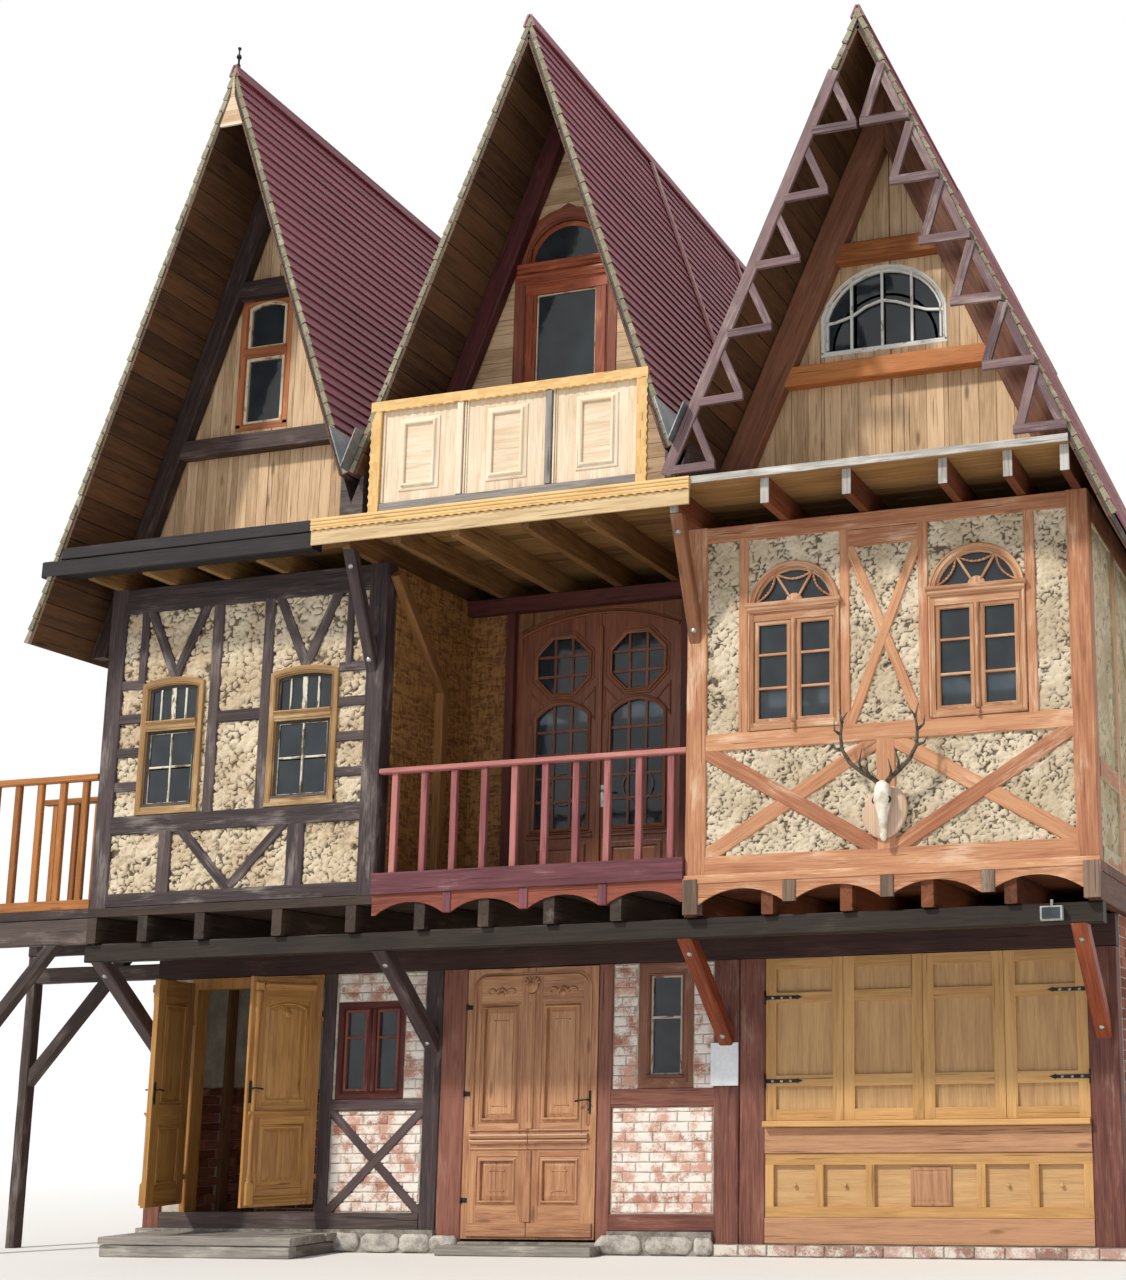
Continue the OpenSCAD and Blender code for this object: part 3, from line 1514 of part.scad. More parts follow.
// Pine panel in the left roof's peak, with a small spike on the ridge
panel_drop = 330;
module finial() {
    top = peak(ridge_a, slope_al, slope_ar, -cap_t);
    color("#c9a878") place() {
        xz(deck_y, 25) intersection() {
            tent(ridge_a, slope_al, slope_ar, under_roof, ridge_a[1] - roof_t - panel_drop - 200);
        }
        difference() {
            translate([top[0], deck_y + 60, top[1] - 40]) {
                cylinder(r = 14, h = 60);
                cylinder(r = 6, h = 190);
                translate([0, 0, 110]) sphere(20);
                translate([0, 0, 190]) sphere(10);
            }
            xz(deck_y, rear_y) tent(ridge_a, slope_al, slope_ar, -cap_t - roof_gap, attic_z);
        }
    }
}

// Gallery that leaves the first floor at the left, one bay long
gallery_post = 150;
gallery_y1 = front_y + gallery_w;
module gallery() {
    color("#4a3b34") place() {
        for (y = [front_y, gallery_y1 - gallery_post]) {
            translate([-gallery_l, y, 0]) cube([gallery_post, gallery_post, ground_h]);
            translate([-gallery_l, y, ground_h]) cube([gallery_l, gallery_post, joist_h]);
            xz(y, gallery_post) intersection() {
                slab(gallery_post - gallery_l, -beam_set, 0, ground_h);
                strut([-385, ground_h], [-870, ground_h - 550], 110, 700);
            }
        }
        translate([-gallery_l, front_y, floor_z]) cube([gallery_l, gallery_w, floor_t]);
        translate([gallery_post - gallery_l, gallery_y1 - gallery_post, plate_z + 10])
            cube([gallery_l - gallery_post, gallery_post, 150]);
    }
}

gallery_pitch = 247;
gallery_baluster = 65;
module gallery_rail() {
    top_z = first_z + gallery_rail;
    foot_h = 90;
    color("#b9733a") place() for (y = [front_y, gallery_y1 - 60]) {
        translate([-gallery_l, y, first_z]) cube([gallery_l, 60, foot_h]);
        translate([-gallery_l, y - 10, top_z - 60]) cube([gallery_l, 80, 60]);
        for (x = [110:gallery_pitch:gallery_l - gallery_baluster])
            translate([-x - gallery_baluster, y + 8, first_z + foot_h]) cube([gallery_baluster, 44, gallery_rail - foot_h - 60]);
    }
}

plinth();
door_steps();
ground_posts();
entrance_sill();
entrance_frame();
entrance_leaf_left();
entrance_leaf_right();
middle_door();
ground_frame_left();
ground_frame_middle();
brick_panels();
ground_windows();
stall_shutters();
stall_counter();
front_plate();
ground_walls();
inner_wall();
jetty_joists();
jetty_beam();
knee_braces();
first_floor();
left_bay_frame();
left_bay_infill();
left_bay_windows();
right_bay_frame();
right_bay_infill();
right_bay_windows();
right_bay_valance();
trophy();
loggia_walls();
loggia_doors();
loggia_rail();
loggia_fascia();
first_walls();
attic_joists();
attic_deck();
front_beam();
deck_fascia();
balcony_box();
left_gable();
middle_gable();
right_gable();
rear_gables();
left_truss();
middle_truss();
right_truss();
left_gable_window();
middle_gable_window();
right_gable_window();
window_glass();
valley_plates();
valley_gutters();
left_roof();
middle_roof();
right_roof();
bargeboards();
finial();
gallery();
gallery_rail();
rear_windows();
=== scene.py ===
# %% [markdown]
# A half timbered house with three steep gables stands here as a plain model of
# solids. This lesson dresses it: every timber, board, brick and pane gets a
# shape worked out with numpy, or a finish worked out with shader nodes.
# Each step first says what the real thing is, and then how it is made.

# %% Load the model of solids
import math

import bpy
import numpy as np
from mathutils import Matrix, Vector


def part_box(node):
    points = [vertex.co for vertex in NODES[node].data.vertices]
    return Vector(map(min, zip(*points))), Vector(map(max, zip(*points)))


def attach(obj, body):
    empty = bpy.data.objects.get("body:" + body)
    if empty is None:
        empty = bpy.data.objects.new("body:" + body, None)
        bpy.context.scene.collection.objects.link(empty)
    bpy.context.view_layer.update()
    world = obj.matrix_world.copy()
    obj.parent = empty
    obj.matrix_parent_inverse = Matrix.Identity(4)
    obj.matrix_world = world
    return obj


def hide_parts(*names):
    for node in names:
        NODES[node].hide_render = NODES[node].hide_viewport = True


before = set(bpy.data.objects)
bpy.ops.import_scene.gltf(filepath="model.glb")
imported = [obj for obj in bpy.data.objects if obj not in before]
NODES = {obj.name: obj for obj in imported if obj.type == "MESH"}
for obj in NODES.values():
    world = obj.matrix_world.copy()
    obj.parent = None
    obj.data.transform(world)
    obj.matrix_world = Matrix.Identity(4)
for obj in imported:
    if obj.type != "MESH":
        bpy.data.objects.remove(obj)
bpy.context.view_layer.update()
# House coordinates start at the left bay's outer face, the ground floor's front
# face and the ground. One shift brings them to the model's own origin.
SHIFT = np.array([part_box("first_floor")[0].x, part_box("front_plate")[0].y, 0.0])
print("solids:", len(NODES), "pieces, house corner at", SHIFT.round(3))

# %% [markdown]
# The photograph fixes the camera. Its place, its turn and its lens come from
# edges of the house that are parallel in real life. The picture is a crop out
# of a wider view, so the lens is shifted to the side instead of turned.

# %% Camera
camera = bpy.data.objects.new("camera", bpy.data.cameras.new("camera"))
bpy.context.scene.collection.objects.link(camera)
bpy.context.scene.camera = camera
EYE = (6.909, -17.343, 1.2935)
TURN, TILT, ROLL = math.radians(15.98), math.radians(11.58), math.radians(0.825)
camera.matrix_world = (
    Matrix.Translation(EYE)
    @ Matrix.Rotation(TURN, 4, "Z")
    @ Matrix.Rotation(math.pi / 2 + TILT, 4, "X")
    @ Matrix.Rotation(-ROLL, 4, "Z")
)
camera.data.sensor_fit = "AUTO"
camera.data.sensor_width = 36
camera.data.lens = 50.48
camera.data.shift_x = -0.271
camera.data.shift_y = 0.067
camera.data.clip_end = 400

# %% [markdown]
# The light is a studio's: a pale sky all round for the shadows and one broad
# lamp from the upper left, as the sun stood in the photograph. Where the camera
# sees the sky, straight or by way of glass, it is white.

# %% Sky, lamp and floor
scene = bpy.context.scene
scene.view_settings.view_transform = "Standard"
world = bpy.data.worlds.new("sky")
scene.world = world
world.use_nodes = True
tree = world.node_tree
tree.nodes.clear()


def background(colour, strength):
    """A sky of one colour and strength."""
    shader = tree.nodes.new("ShaderNodeBackground")
    shader.inputs["Color"].default_value = (*colour, 1)
    shader.inputs["Strength"].default_value = strength
    return shader


sky_light = background((0.86, 0.92, 1.0), 0.62)
sky_seen = background((1, 1, 1), 1.0)
rays = tree.nodes.new("ShaderNodeLightPath")
mirrored_or_bent, any_seen = (tree.nodes.new("ShaderNodeMath") for _ in range(2))
mirrored_or_bent.operation = any_seen.operation = "MAXIMUM"
pick = tree.nodes.new("ShaderNodeMixShader")
out = tree.nodes.new("ShaderNodeOutputWorld")
for source, target in (
    (rays.outputs["Is Glossy Ray"], mirrored_or_bent.inputs[0]),
    (rays.outputs["Is Transmission Ray"], mirrored_or_bent.inputs[1]),
    (rays.outputs["Is Camera Ray"], any_seen.inputs[0]),
    (mirrored_or_bent.outputs[0], any_seen.inputs[1]),
    (any_seen.outputs[0], pick.inputs[0]),
    (sky_light.outputs[0], pick.inputs[1]),
    (sky_seen.outputs[0], pick.inputs[2]),
    (pick.outputs[0], out.inputs["Surface"]),
):
    tree.links.new(source, target)

lamp = bpy.data.objects.new("lamp", bpy.data.lights.new("lamp", "SUN"))
lamp.data.energy = 3.1
lamp.data.angle = math.radians(5)
lamp.data.color = (1.0, 0.96, 0.89)
lamp.rotation_euler = Vector((-0.45, -0.62, 0.78)).to_track_quat("Z", "Y").to_euler()
scene.collection.objects.link(lamp)


def srgb(code):
    """A colour written as in a paint shop, such as "8a4a2a", as linear red, green, blue."""
    parts = np.array([int(code[i:i + 2], 16) for i in (0, 2, 4)]) / 255
    linear = np.where(parts <= 0.04045, parts / 12.92, ((parts + 0.055) / 1.055) ** 2.4)
    return (*linear, 1.0)


# %% [markdown]
# Shader maths reads best as sums. The class below wraps a socket, so that
# 1 - mask or grain * 0.3 adds the Math node for it. Every other node comes from
# one method that takes its kind, its settings and the values of its sockets.

# %% Sums of sockets, and one method for every other node
class Sum:
    """A socket that can be used in sums with numbers and other sockets."""

    def __init__(self, paint, socket):
        self.paint, self.socket = paint, socket

    def _math(self, operation, a, b):
        return self.paint.node("ShaderNodeMath", {"operation": operation}, {0: a, 1: b})

    def __add__(self, other):
        return self._math("ADD", self, other)

    __radd__ = __add__

    def __sub__(self, other):
        return self._math("SUBTRACT", self, other)

    def __rsub__(self, other):
        return self._math("SUBTRACT", other, self)

    def __mul__(self, other):
        return self._math("MULTIPLY", self, other)

    __rmul__ = __mul__

    def __pow__(self, other):
        return self._math("POWER", self, other)

    def step(self, low, high):
        """0 below low, 1 above high, and a smooth rise between."""
        settings = {"interpolation_type": "SMOOTHSTEP", "clamp": True}
        return self.paint.node("ShaderNodeMapRange", settings, {0: self, 1: low, 2: high})


class Paint:
    """One material: a Principled shader and the nodes that feed it."""

    def __init__(self, name, gloss=0.45, metal=0.0):
        self.material = bpy.data.materials.new(name)
        self.material.use_nodes = True
        self.tree = self.material.node_tree
        self.tree.nodes.clear()
        self.shader = self.tree.nodes.new("ShaderNodeBsdfPrincipled")
        output = self.tree.nodes.new("ShaderNodeOutputMaterial")
        self.tree.links.new(self.shader.outputs[0], output.inputs["Surface"])
        self.shader.inputs["Specular IOR Level"].default_value = gloss
        self.shader.inputs["Metallic"].default_value = metal

    def put(self, target, value):
        """Link a socket to the target, or set the target to a plain value."""
        if isinstance(value, Sum):
            self.tree.links.new(value.socket, target)
        elif hasattr(target, "default_value"):
            target.default_value = value

    def node(self, kind, settings=None, sockets=None, out=0):
        """A node of that kind, its settings set first and then its sockets."""
        made = self.tree.nodes.new(kind)
        for key, value in (settings or {}).items():
            if key == "stops":
                ramp = made.color_ramp
                while len(ramp.elements) < len(value):
                    ramp.elements.new(0.5)
                for element, (place, colour) in zip(ramp.elements, value):
                    element.position, element.color = place, colour
            else:
                setattr(made, key, value)
        for key, value in (sockets or {}).items():
            self.put(made.inputs[key], value)
        return Sum(self, made.outputs[out])

    def place(self):
        """Object coordinates, in metres from the model's origin."""
        return self.node("ShaderNodeTexCoord", out="Object")

    def split(self, vector):
        """The three parts of a vector."""
        made = self.tree.nodes.new("ShaderNodeSeparateXYZ")
        self.put(made.inputs[0], vector)
        return [Sum(self, made.outputs[i]) for i in range(3)]

    def join(self, x, y, z):
        return self.node("ShaderNodeCombineXYZ", {}, {0: x, 1: y, 2: z})

    def stretched(self, vector, sizes):
        """The vector with each part divided by a size, to draw a pattern out."""
        scale = tuple(1 / s for s in sizes)
        return self.node("ShaderNodeVectorMath", {"operation": "MULTIPLY"}, {0: vector, 1: scale})

    def noise(self, vector, scale=1.0, detail=3.0, rough=0.55, bend=0.0):
        sockets = {"Vector": vector, "Scale": scale, "Detail": detail, "Roughness": rough,
                   "Distortion": bend}
        return self.node("ShaderNodeTexNoise", {}, sockets)

    def cells(self, vector, scale, out="Distance"):
        return self.node("ShaderNodeTexVoronoi", {}, {"Vector": vector, "Scale": scale}, out)

    def mix(self, share, a, b):
        """Two colours mixed by a share from 0 to 1."""
        return self.node("ShaderNodeMix", {"data_type": "RGBA"}, {0: share, 6: a, 7: b}, out=2)

    def read(self, name, out="Fac"):
        """A value that the mesh carries for each of its points."""
        return self.node("ShaderNodeAttribute", {"attribute_name": name}, {}, out)

    def finish(self, colour, rough, height=None, depth=0.002):
        self.put(self.shader.inputs["Base Color"], colour)
        self.put(self.shader.inputs["Roughness"], rough)
        if height is not None:
            bump = self.node("ShaderNodeBump", {}, {"Strength": 1.0, "Distance": depth,
                                                    "Height": height})
            self.put(self.shader.inputs["Normal"], bump)
        return self.material


# %% [markdown]
# The house stands on a plain pale floor. Far from the house the floor gives way
# to plain white, so that no horizon shows.

# %% Floor
def floor_finish():
    """Pale grey that turns to plain white light as the distance from the house grows."""
    paint = Paint("floor", 0.2)
    across, deep = paint.split(paint.place())[:2]
    far = (across * across + deep * deep) ** 0.5
    paint.finish(paint.mix(far.step(8, 30), srgb("e4e2de"), srgb("f4f4f4")), 0.9)
    white = paint.node("ShaderNodeEmission", {}, {"Color": (1, 1, 1, 1), "Strength": 1.0})
    plain = Sum(paint, paint.shader.outputs[0])
    fade = paint.node("ShaderNodeMixShader", {}, {0: far.step(12, 34), 1: plain, 2: white})
    for node in paint.tree.nodes:
        if node.bl_idname == "ShaderNodeOutputMaterial":
            paint.tree.links.new(fade.socket, node.inputs["Surface"])
    return paint.material


mesh = bpy.data.meshes.new("floor")
FLOOR_REACH, FLOOR_Z = 90, -0.001
corners = [(x * FLOOR_REACH, y * FLOOR_REACH, FLOOR_Z) for x, y in ((-1, -1), (1, -1), (1, 1), (-1, 1))]
mesh.from_pydata(corners, [], [(0, 1, 2, 3)])
mesh.materials.append(floor_finish())
floor = bpy.data.objects.new("floor", mesh)
scene.collection.objects.link(floor)
print("floor:", len(mesh.polygons), "face")

# %% [markdown]
# Most finishes of this house are wood. Its grain is noise drawn out along the
# timber. New pieces carry their own grain coordinates, metres along, across and
# into the timber, so that a slanting brace has slanting grain. A solid that
# stays reads Object coordinates, turned so that the first one runs along it.

# %% Wood
ALONG = {"x": (0, 1, 2), "y": (1, 0, 2), "z": (2, 0, 1)}


def wood(name, pale, dark, worn=None, along=None, wear=0.3, rough=0.62, knots=0.5, tint=0.5,
         gloss=0.3, cracks=0.7):
    """Drawn out noise mixes a dark and a pale wood; knots, cracks and wear lie over it."""
    paint = Paint(name, gloss)
    if along:
        parts = paint.split(paint.place())
        grain = paint.join(*[parts[i] for i in ALONG[along]])
        tone = paint.noise(paint.stretched(grain, (3.0, 0.35, 0.35)), detail=1.0)
    else:
        grain = paint.read("grain", "Vector")
        tone = paint.read("tone")
    fibre = paint.noise(paint.stretched(grain, (0.22, 0.008, 0.008)), detail=4.0, bend=0.3)
    figure = paint.noise(paint.stretched(grain, (0.8, 0.05, 0.05)), detail=3.0, bend=1.4)
    patch = paint.noise(paint.stretched(grain, (0.55, 0.16, 0.16)), detail=4.0, rough=0.6)
    knot = 1 - paint.cells(paint.stretched(grain, (0.75, 0.2, 0.2)), 1.0).step(0.04, 0.14)
    crack = paint.noise(paint.stretched(grain, (0.9, 0.022, 0.022)), detail=2.0).step(0.67, 0.72)
    share = figure * 0.9 + fibre * 0.7 + patch * 0.5 - 0.55 + (tone - 0.5) * tint
    body = paint.mix(share.step(0.08, 0.92), srgb(dark), srgb(pale))
    if worn:
        ragged = patch * 0.75 + fibre * 0.25
        worn_share = ragged.step(0.60 - wear * 0.25, 0.78 - wear * 0.25)
        body = paint.mix(worn_share * 0.75, body, srgb(worn))
    deep = [0.4 * c for c in srgb(dark)[:3]] + [1.0]
    body = paint.mix(knot * knots, body, deep)
    body = paint.mix(crack * cracks, body, deep)
    height = fibre * 0.5 + patch * 0.4 - crack * 0.9 - knot * 0.2
    return paint.finish(body, rough + (fibre - 0.5) * 0.25, height, 0.003)


# %% [markdown]
# Painted wood shows the paint, the bare wood where it has flaked, and dirt.

# %% Painted wood
def painted(name, coat, bare, flaked=0.25, along="z", rough=0.5, gloss=0.4):
    """A coat of paint with flakes missing where a ragged noise is high, and grain below."""
    paint = Paint(name, gloss)
    if along:
        parts = paint.split(paint.place())
        grain = paint.join(*[parts[i] for i in ALONG[along]])
    else:
        grain = paint.read("grain", "Vector")
    fibre = paint.noise(paint.stretched(grain, (0.25, 0.010, 0.010)), detail=3.0)
    patch = paint.noise(paint.stretched(grain, (0.12, 0.035, 0.035)), detail=5.0, rough=0.65)
    dirt = paint.noise(paint.stretched(grain, (0.4, 0.3, 0.3)), detail=3.0)
    flake = (patch + (fibre - 0.5) * 0.4).step(0.66 - flaked * 0.25, 0.69 - flaked * 0.25)
    body = paint.mix(dirt.step(0.3, 0.75) * 0.35, srgb(coat), [0.5 * c for c in srgb(coat)[:3]] + [1])
    body = paint.mix(flake, body, srgb(bare))
    return paint.finish(body, rough + flake * 0.3, fibre * 0.3 - flake * 0.5, 0.0015)


# %% [markdown]
# The mineral finishes: clay daub, brick, stone and mortar. The painted shade in
# the crevices of the clay and the colour of each brick come from the value tone
# of the mesh.

# %% Clay, brick, stone, metal, bone and glass
def clay_finish(name, pale, warm, dark):
    """Two clays in blotches, with straw and dark crumbs in them, and painted shade in the crevices."""
    paint = Paint(name, 0.15)
    place = paint.place()
    # The tone of a clay sheet is painted shade, highest in its crevices.
    crevice_shade = paint.read("tone")
    blotch = paint.noise(place, 2.6, 4.0)
    crumb = paint.noise(place, 48.0, 5.0, 0.75)
    straw = paint.noise(paint.stretched(place, (0.05, 0.05, 0.008)), 1.0, 2.0)
    body = paint.mix((blotch + (crumb - 0.5) * 0.4).step(0.36, 0.64), srgb(warm), srgb(pale))
    body = paint.mix(straw.step(0.60, 0.75) * 0.35, body, srgb(pale))
    # Painted shade: the crevices, and a few random crumbs, turn to dark, the colour of shade in a crevice.
    hollow = crevice_shade + (crumb - 0.5) * 0.9
    body = paint.mix(hollow.step(0.3, 0.9) * 0.88, body, srgb(dark))
    return paint.finish(body, 0.92, crumb * 0.8 + straw * 0.2, 0.012)


def brick_finish(name, pale, dark, wash, washed):
    """Each brick between two colours by its tone, with whitewash left in clouds."""
    paint = Paint(name, 0.15)
    place = paint.place()
    tone = paint.read("tone")
    grit = paint.noise(place, 60.0, 5.0, 0.7)
    cloud = paint.noise(place, 6.0, 5.0, 0.65)
    body = paint.mix((tone * 0.7 + grit * 0.3).step(0.1, 0.9), srgb(dark), srgb(pale))
    body = paint.mix((cloud + (grit - 0.5) * 0.4).step(0.62 - washed, 0.82 - washed), body, srgb(wash))
    return paint.finish(body, 0.9, grit * 0.6 + cloud * 0.6, 0.006)


def rough_finish(name, pale, dark, size=9.0, rough=0.88, depth=0.006, gloss=0.2, metal=0.0):
    """Two colours in clouds and grit, for stone, mortar, plaster and metals."""
    paint = Paint(name, gloss, metal)
    place = paint.place()
    cloud = paint.noise(place, size, 5.0, 0.6)
    grit = paint.noise(place, size * 9, 4.0, 0.7)
    body = paint.mix((cloud * 0.7 + grit * 0.3).step(0.36, 0.64), srgb(dark), srgb(pale))
    return paint.finish(body, rough + (grit - 0.5) * 0.15, cloud * 0.5 + grit * 0.5, depth)


def pane_finish(name):
    """Glass tinted dark grey, as painted shade of the unlit rooms behind it, with slow ripples."""
    paint = Paint(name, 0.5)
    ripple = paint.noise(paint.place(), 5.0, 2.0)
    paint.shader.inputs["Transmission Weight"].default_value = 0.75
    paint.shader.inputs["IOR"].default_value = 1.45
    # Painted shade: the dark tint stands for the unlit rooms behind the panes.
    body = paint.mix(ripple.step(0.3, 0.7), srgb("5c666c"), srgb("47525a"))
    return paint.finish(body, 0.04 + ripple * 0.06, ripple, 0.002)


# %% [markdown]
# Each solid gets a finish of its own kind. The letter says which way its grain
# runs: x along the street, y into the house, z upwards.

# %% Finishes on the solids
def grained(maker, name, *colours, **settings):
    """The same wood three times over, for grain along x, y and z."""
    return {a: maker(f"{name}_{a}", *colours, along=a, **settings) for a in "xyz"}


dark = grained(wood, "dark_timber", "62544f", "2f2625", "857b76", wear=0.25)
red = grained(wood, "red_timber", "7d4a42", "45231f", "96766c", wear=0.15)
orange = grained(wood, "orange_timber", "b87247", "7b3f25", "cfa286", wear=0.2)
honey = grained(wood, "honey_wood", "c4904f", "94602c", rough=0.45, gloss=0.4)
pine = grained(wood, "pale_pine", "e6c88e", "c79a5c", knots=0.7)
grey = grained(wood, "grey_timber", "928a80", "5f5953", "aca59c", wear=0.3)
brown = grained(wood, "brown_boards", "8f6440", "5a3a22")
maroon = grained(wood, "maroon_paint", "8e4c49", "5e2a2b", "a87870", wear=0.15, rough=0.5)
door_red = grained(wood, "loggia_doors", "97583a", "5a301d", rough=0.4, gloss=0.5)
ochre = painted("ochre_paint", "b39457", "8b7a66", 0.5)
tan = painted("tan_paint", "c08d72", "d8b79c", 0.4)
red_paint = painted("red_paint", "85332b", "a8684c", 0.2)
white = painted("white_paint", "dcd9cf", "a89c8a", 0.3)
orange_paint = painted("orange_paint", "b0552f", "cf8a5c", 0.35)
mauve = grained(wood, "mauve_laths", "a58f90", "6f5a5e", "cbb8ae", wear=0.4)
mortar = rough_finish("mortar", "cfc6b8", "a1978a", 14.0)
stone = rough_finish("stone", "a69f95", "6b655e", 7.0)
metal = rough_finish("sheet_metal", "a3a5a6", "74777a", 3.0, 0.45, 0.002, 0.5, 0.6)
bone = rough_finish("bone", "d9cbb0", "9c8666", 12.0, 0.5, 0.003, 0.4)
plaster = rough_finish("plaster", "d9d3c6", "b3aa9a", 4.0)
iron = rough_finish("iron", "3b3836", "1f1e1d", 20.0, 0.5, 0.002, 0.4, 0.7)
glass = pane_finish("glass")
grey_clay = rough_finish("side_clay", "cbbfa0", "a3977a", 5.0)

ON_SOLIDS = {
    "plinth": stone, "door_steps": grey["x"], "ground_posts": red["z"],
    "entrance_sill": dark["x"], "entrance_frame": honey["z"], "entrance_leaf_left": honey["z"],
    "entrance_leaf_right": honey["z"], "middle_door": honey["z"],
    "ground_frame_left": dark["z"], "ground_frame_middle": red["z"], "brick_panels": mortar,
    "ground_windows": red_paint, "stall_shutters": honey["z"], "stall_counter": honey["z"],
    "front_plate": red["x"], "ground_walls": mortar, "inner_wall": plaster,
    "jetty_joists": grey["y"], "jetty_beam": dark["x"], "knee_braces": red["z"],
    "first_floor": dark["x"], "left_bay_frame": dark["z"], "left_bay_infill": grey_clay,
    "left_bay_windows": ochre, "right_bay_frame": orange["z"], "right_bay_infill": grey_clay,
    "right_bay_windows": tan, "right_bay_valance": orange["x"], "trophy": bone,
    "loggia_walls": brown["z"], "loggia_doors": door_red["z"], "loggia_rail": maroon["z"],
    "loggia_fascia": maroon["x"], "first_walls": grey_clay, "attic_joists": brown["y"],
    "attic_deck": grey["x"], "front_beam": dark["x"], "deck_fascia": pine["x"],
    "balcony_box": pine["z"], "left_gable": brown["z"], "middle_gable": brown["x"],
    "right_gable": brown["z"], "rear_gables": brown["z"], "left_truss": dark["z"],
    "middle_truss": maroon["z"], "right_truss": orange["z"], "left_gable_window": orange_paint,
    "middle_gable_window": tan, "right_gable_window": white, "window_glass": glass,
    "valley_plates": dark["x"], "valley_gutters": metal, "left_roof": brown["y"],
    "middle_roof": brown["y"], "right_roof": brown["y"], "bargeboards": mauve["z"],
    "finial": pine["x"], "gallery": dark["z"], "gallery_rail": orange["z"],
    "rear_windows": red_paint,
}
for name, solid in NODES.items():
    for slot in solid.material_slots:
        slot.material = ON_SOLIDS[name]
print("finishes:", len(bpy.data.materials), "on", len(ON_SOLIDS), "solids")

# %% [markdown]
# A new piece is gathered shape by shape and made into one mesh at the end. Each
# point carries its grain coordinates and a tone, which the finishes read: a
# random tone on wood and brick, painted shade in the crevices of clay.

# %% A pile of shapes that becomes one piece
rng = np.random.default_rng(1482)
ROUND = 6.28  # a full turn in radians, exact enough for a random phase


class Pile:
    """Points, faces and the two values of each point, gathered for one piece."""

    def __init__(self):
        self.points, self.grain, self.tone = [], [], []
        self.corners, self.sizes, self.smooth = [], [], []
        self.count = 0

    def add(self, points, faces, grain=None, tone=0.5, smooth=False):
        points = np.asarray(points, float).reshape(-1, 3)
        self.points.append(points)
        self.grain.append(points if grain is None else np.asarray(grain, float).reshape(-1, 3))
        self.tone.append(np.broadcast_to(np.asarray(tone, float).ravel(), len(points)))
        for group in faces:
            group = np.atleast_2d(group)
            self.corners.append((group + self.count).ravel())
            self.sizes.append(np.full(len(group), group.shape[1]))
            self.smooth.append(np.full(len(group), smooth))
        self.count += len(points)

    def swing(self, hinge, degrees):
        """Turn everything gathered so far about an upright line, counter-clockwise from above."""
        c, s = math.cos(math.radians(degrees)), math.sin(math.radians(degrees))
        turn = np.array([(c, s, 0), (-s, c, 0), (0, 0, 1)])
        self.points = [points @ turn + (*hinge, 0) for points in self.points]

    def make(self, name, finish, slot, instead_of=(), body="house"):
        """The mesh and its object, with finish, body and the solids that it stands for; slot is not used."""
        mesh = bpy.data.meshes.new(name)
        corners, sizes = np.concatenate(self.corners), np.concatenate(self.sizes)
        mesh.vertices.add(self.count)
        points = np.concatenate(self.points) + SHIFT
        mesh.vertices.foreach_set("co", points.astype(np.float32).ravel())
        mesh.loops.add(len(corners))
        mesh.loops.foreach_set("vertex_index", corners.astype(np.int32))
        mesh.polygons.add(len(sizes))
        starts = np.concatenate([[0], np.cumsum(sizes)[:-1]])
        mesh.polygons.foreach_set("loop_start", starts.astype(np.int32))
        mesh.polygons.foreach_set("use_smooth", np.concatenate(self.smooth))
        mesh.update(calc_edges=True)
        grain = mesh.attributes.new("grain", "FLOAT_VECTOR", "POINT")
        grain.data.foreach_set("vector", np.concatenate(self.grain).astype(np.float32).ravel())
        tone = mesh.attributes.new("tone", "FLOAT", "POINT")
        tone.data.foreach_set("value", np.concatenate(self.tone).astype(np.float32))
        mesh.materials.append(finish)
        piece = bpy.data.objects.new(name, mesh)
        scene.collection.objects.link(piece)
        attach(piece, body)
        if instead_of:
            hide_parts(*instead_of)
        print(f"{name}: {int((sizes - 2).sum())} triangles")
        return piece


def loft(rings, looped=False):
    """Skin over rings of points: quads between neighbours, and the ends capped or joined."""
    rows, width = rings.shape[:2]
    index = np.arange(rows * width).reshape(rows, width)
    low, high = (index, np.roll(index, -1, 0)) if looped else (index[:-1], index[1:])
    quads = np.stack([low, np.roll(low, -1, 1), np.roll(high, -1, 1), high], -1).reshape(-1, 4)
    return [quads] if looped else [quads, index[:1, ::-1], index[-1:]]


# %% [markdown]
# Beams, boards, laths and mouldings are one idea: a profile carried along a
# straight path. The path's ends can be cut to any plane, as a carpenter cuts a
# brace to meet a sill. Slow waves take a little wood off, as an axe does.

# %% A profile along a path
def sweep(pile, profile, a, b, out, step=0.12, wave=0.0, tone=None, cuts=(None, None)):
    """Each ring is the profile at a place between a and b: (side, out) points times the
    side and out directions, drawn towards the profile's middle by waves up to wave."""
    a, b, out = (np.asarray(v, float) for v in (a, b, out))
    profile = np.asarray(profile, float)
    length = np.linalg.norm(b - a)
    axis = (b - a) / length
    out = out - axis * (out @ axis)
    out = out / np.linalg.norm(out)
    side = np.cross(out, axis)
    share = np.linspace(0, 1, max(2, int(length / step) + 1))[:, None]
    hollow = np.zeros((len(share), len(profile)))
    if wave:
        for speed in (1.7, 4.3, 9.1):
            turn = rng.uniform(0, ROUND, len(profile))
            hollow += (0.5 + 0.5 * np.sin(share * length * speed * 1.3 + turn)) * wave / 3
    inward = profile.mean(0) - profile
    inward /= np.linalg.norm(inward, axis=1)[:, None] + 1e-9
    shape = profile + hollow[..., None] * inward
    reach = [0.0, 0.0]
    for k, cut in enumerate(cuts):
        if cut is not None:
            cut = np.asarray(cut, float)
            reach[k] = -(profile[:, 0] * (side @ cut) + profile[:, 1] * (out @ cut)) / (axis @ cut)
    along = (1 - share) * reach[0] + share * (length + reach[1])
    rings = a + along[..., None] * axis + shape[..., :1] * side + shape[..., 1:] * out
    grain = np.concatenate([np.broadcast_to(along, shape.shape[:2])[..., None], shape], -1)
    grain = grain + rng.uniform(0, 40, 3)
    tone = rng.uniform(0.1, 0.9) if tone is None else tone
    pile.add(rings, loft(rings), grain, tone)


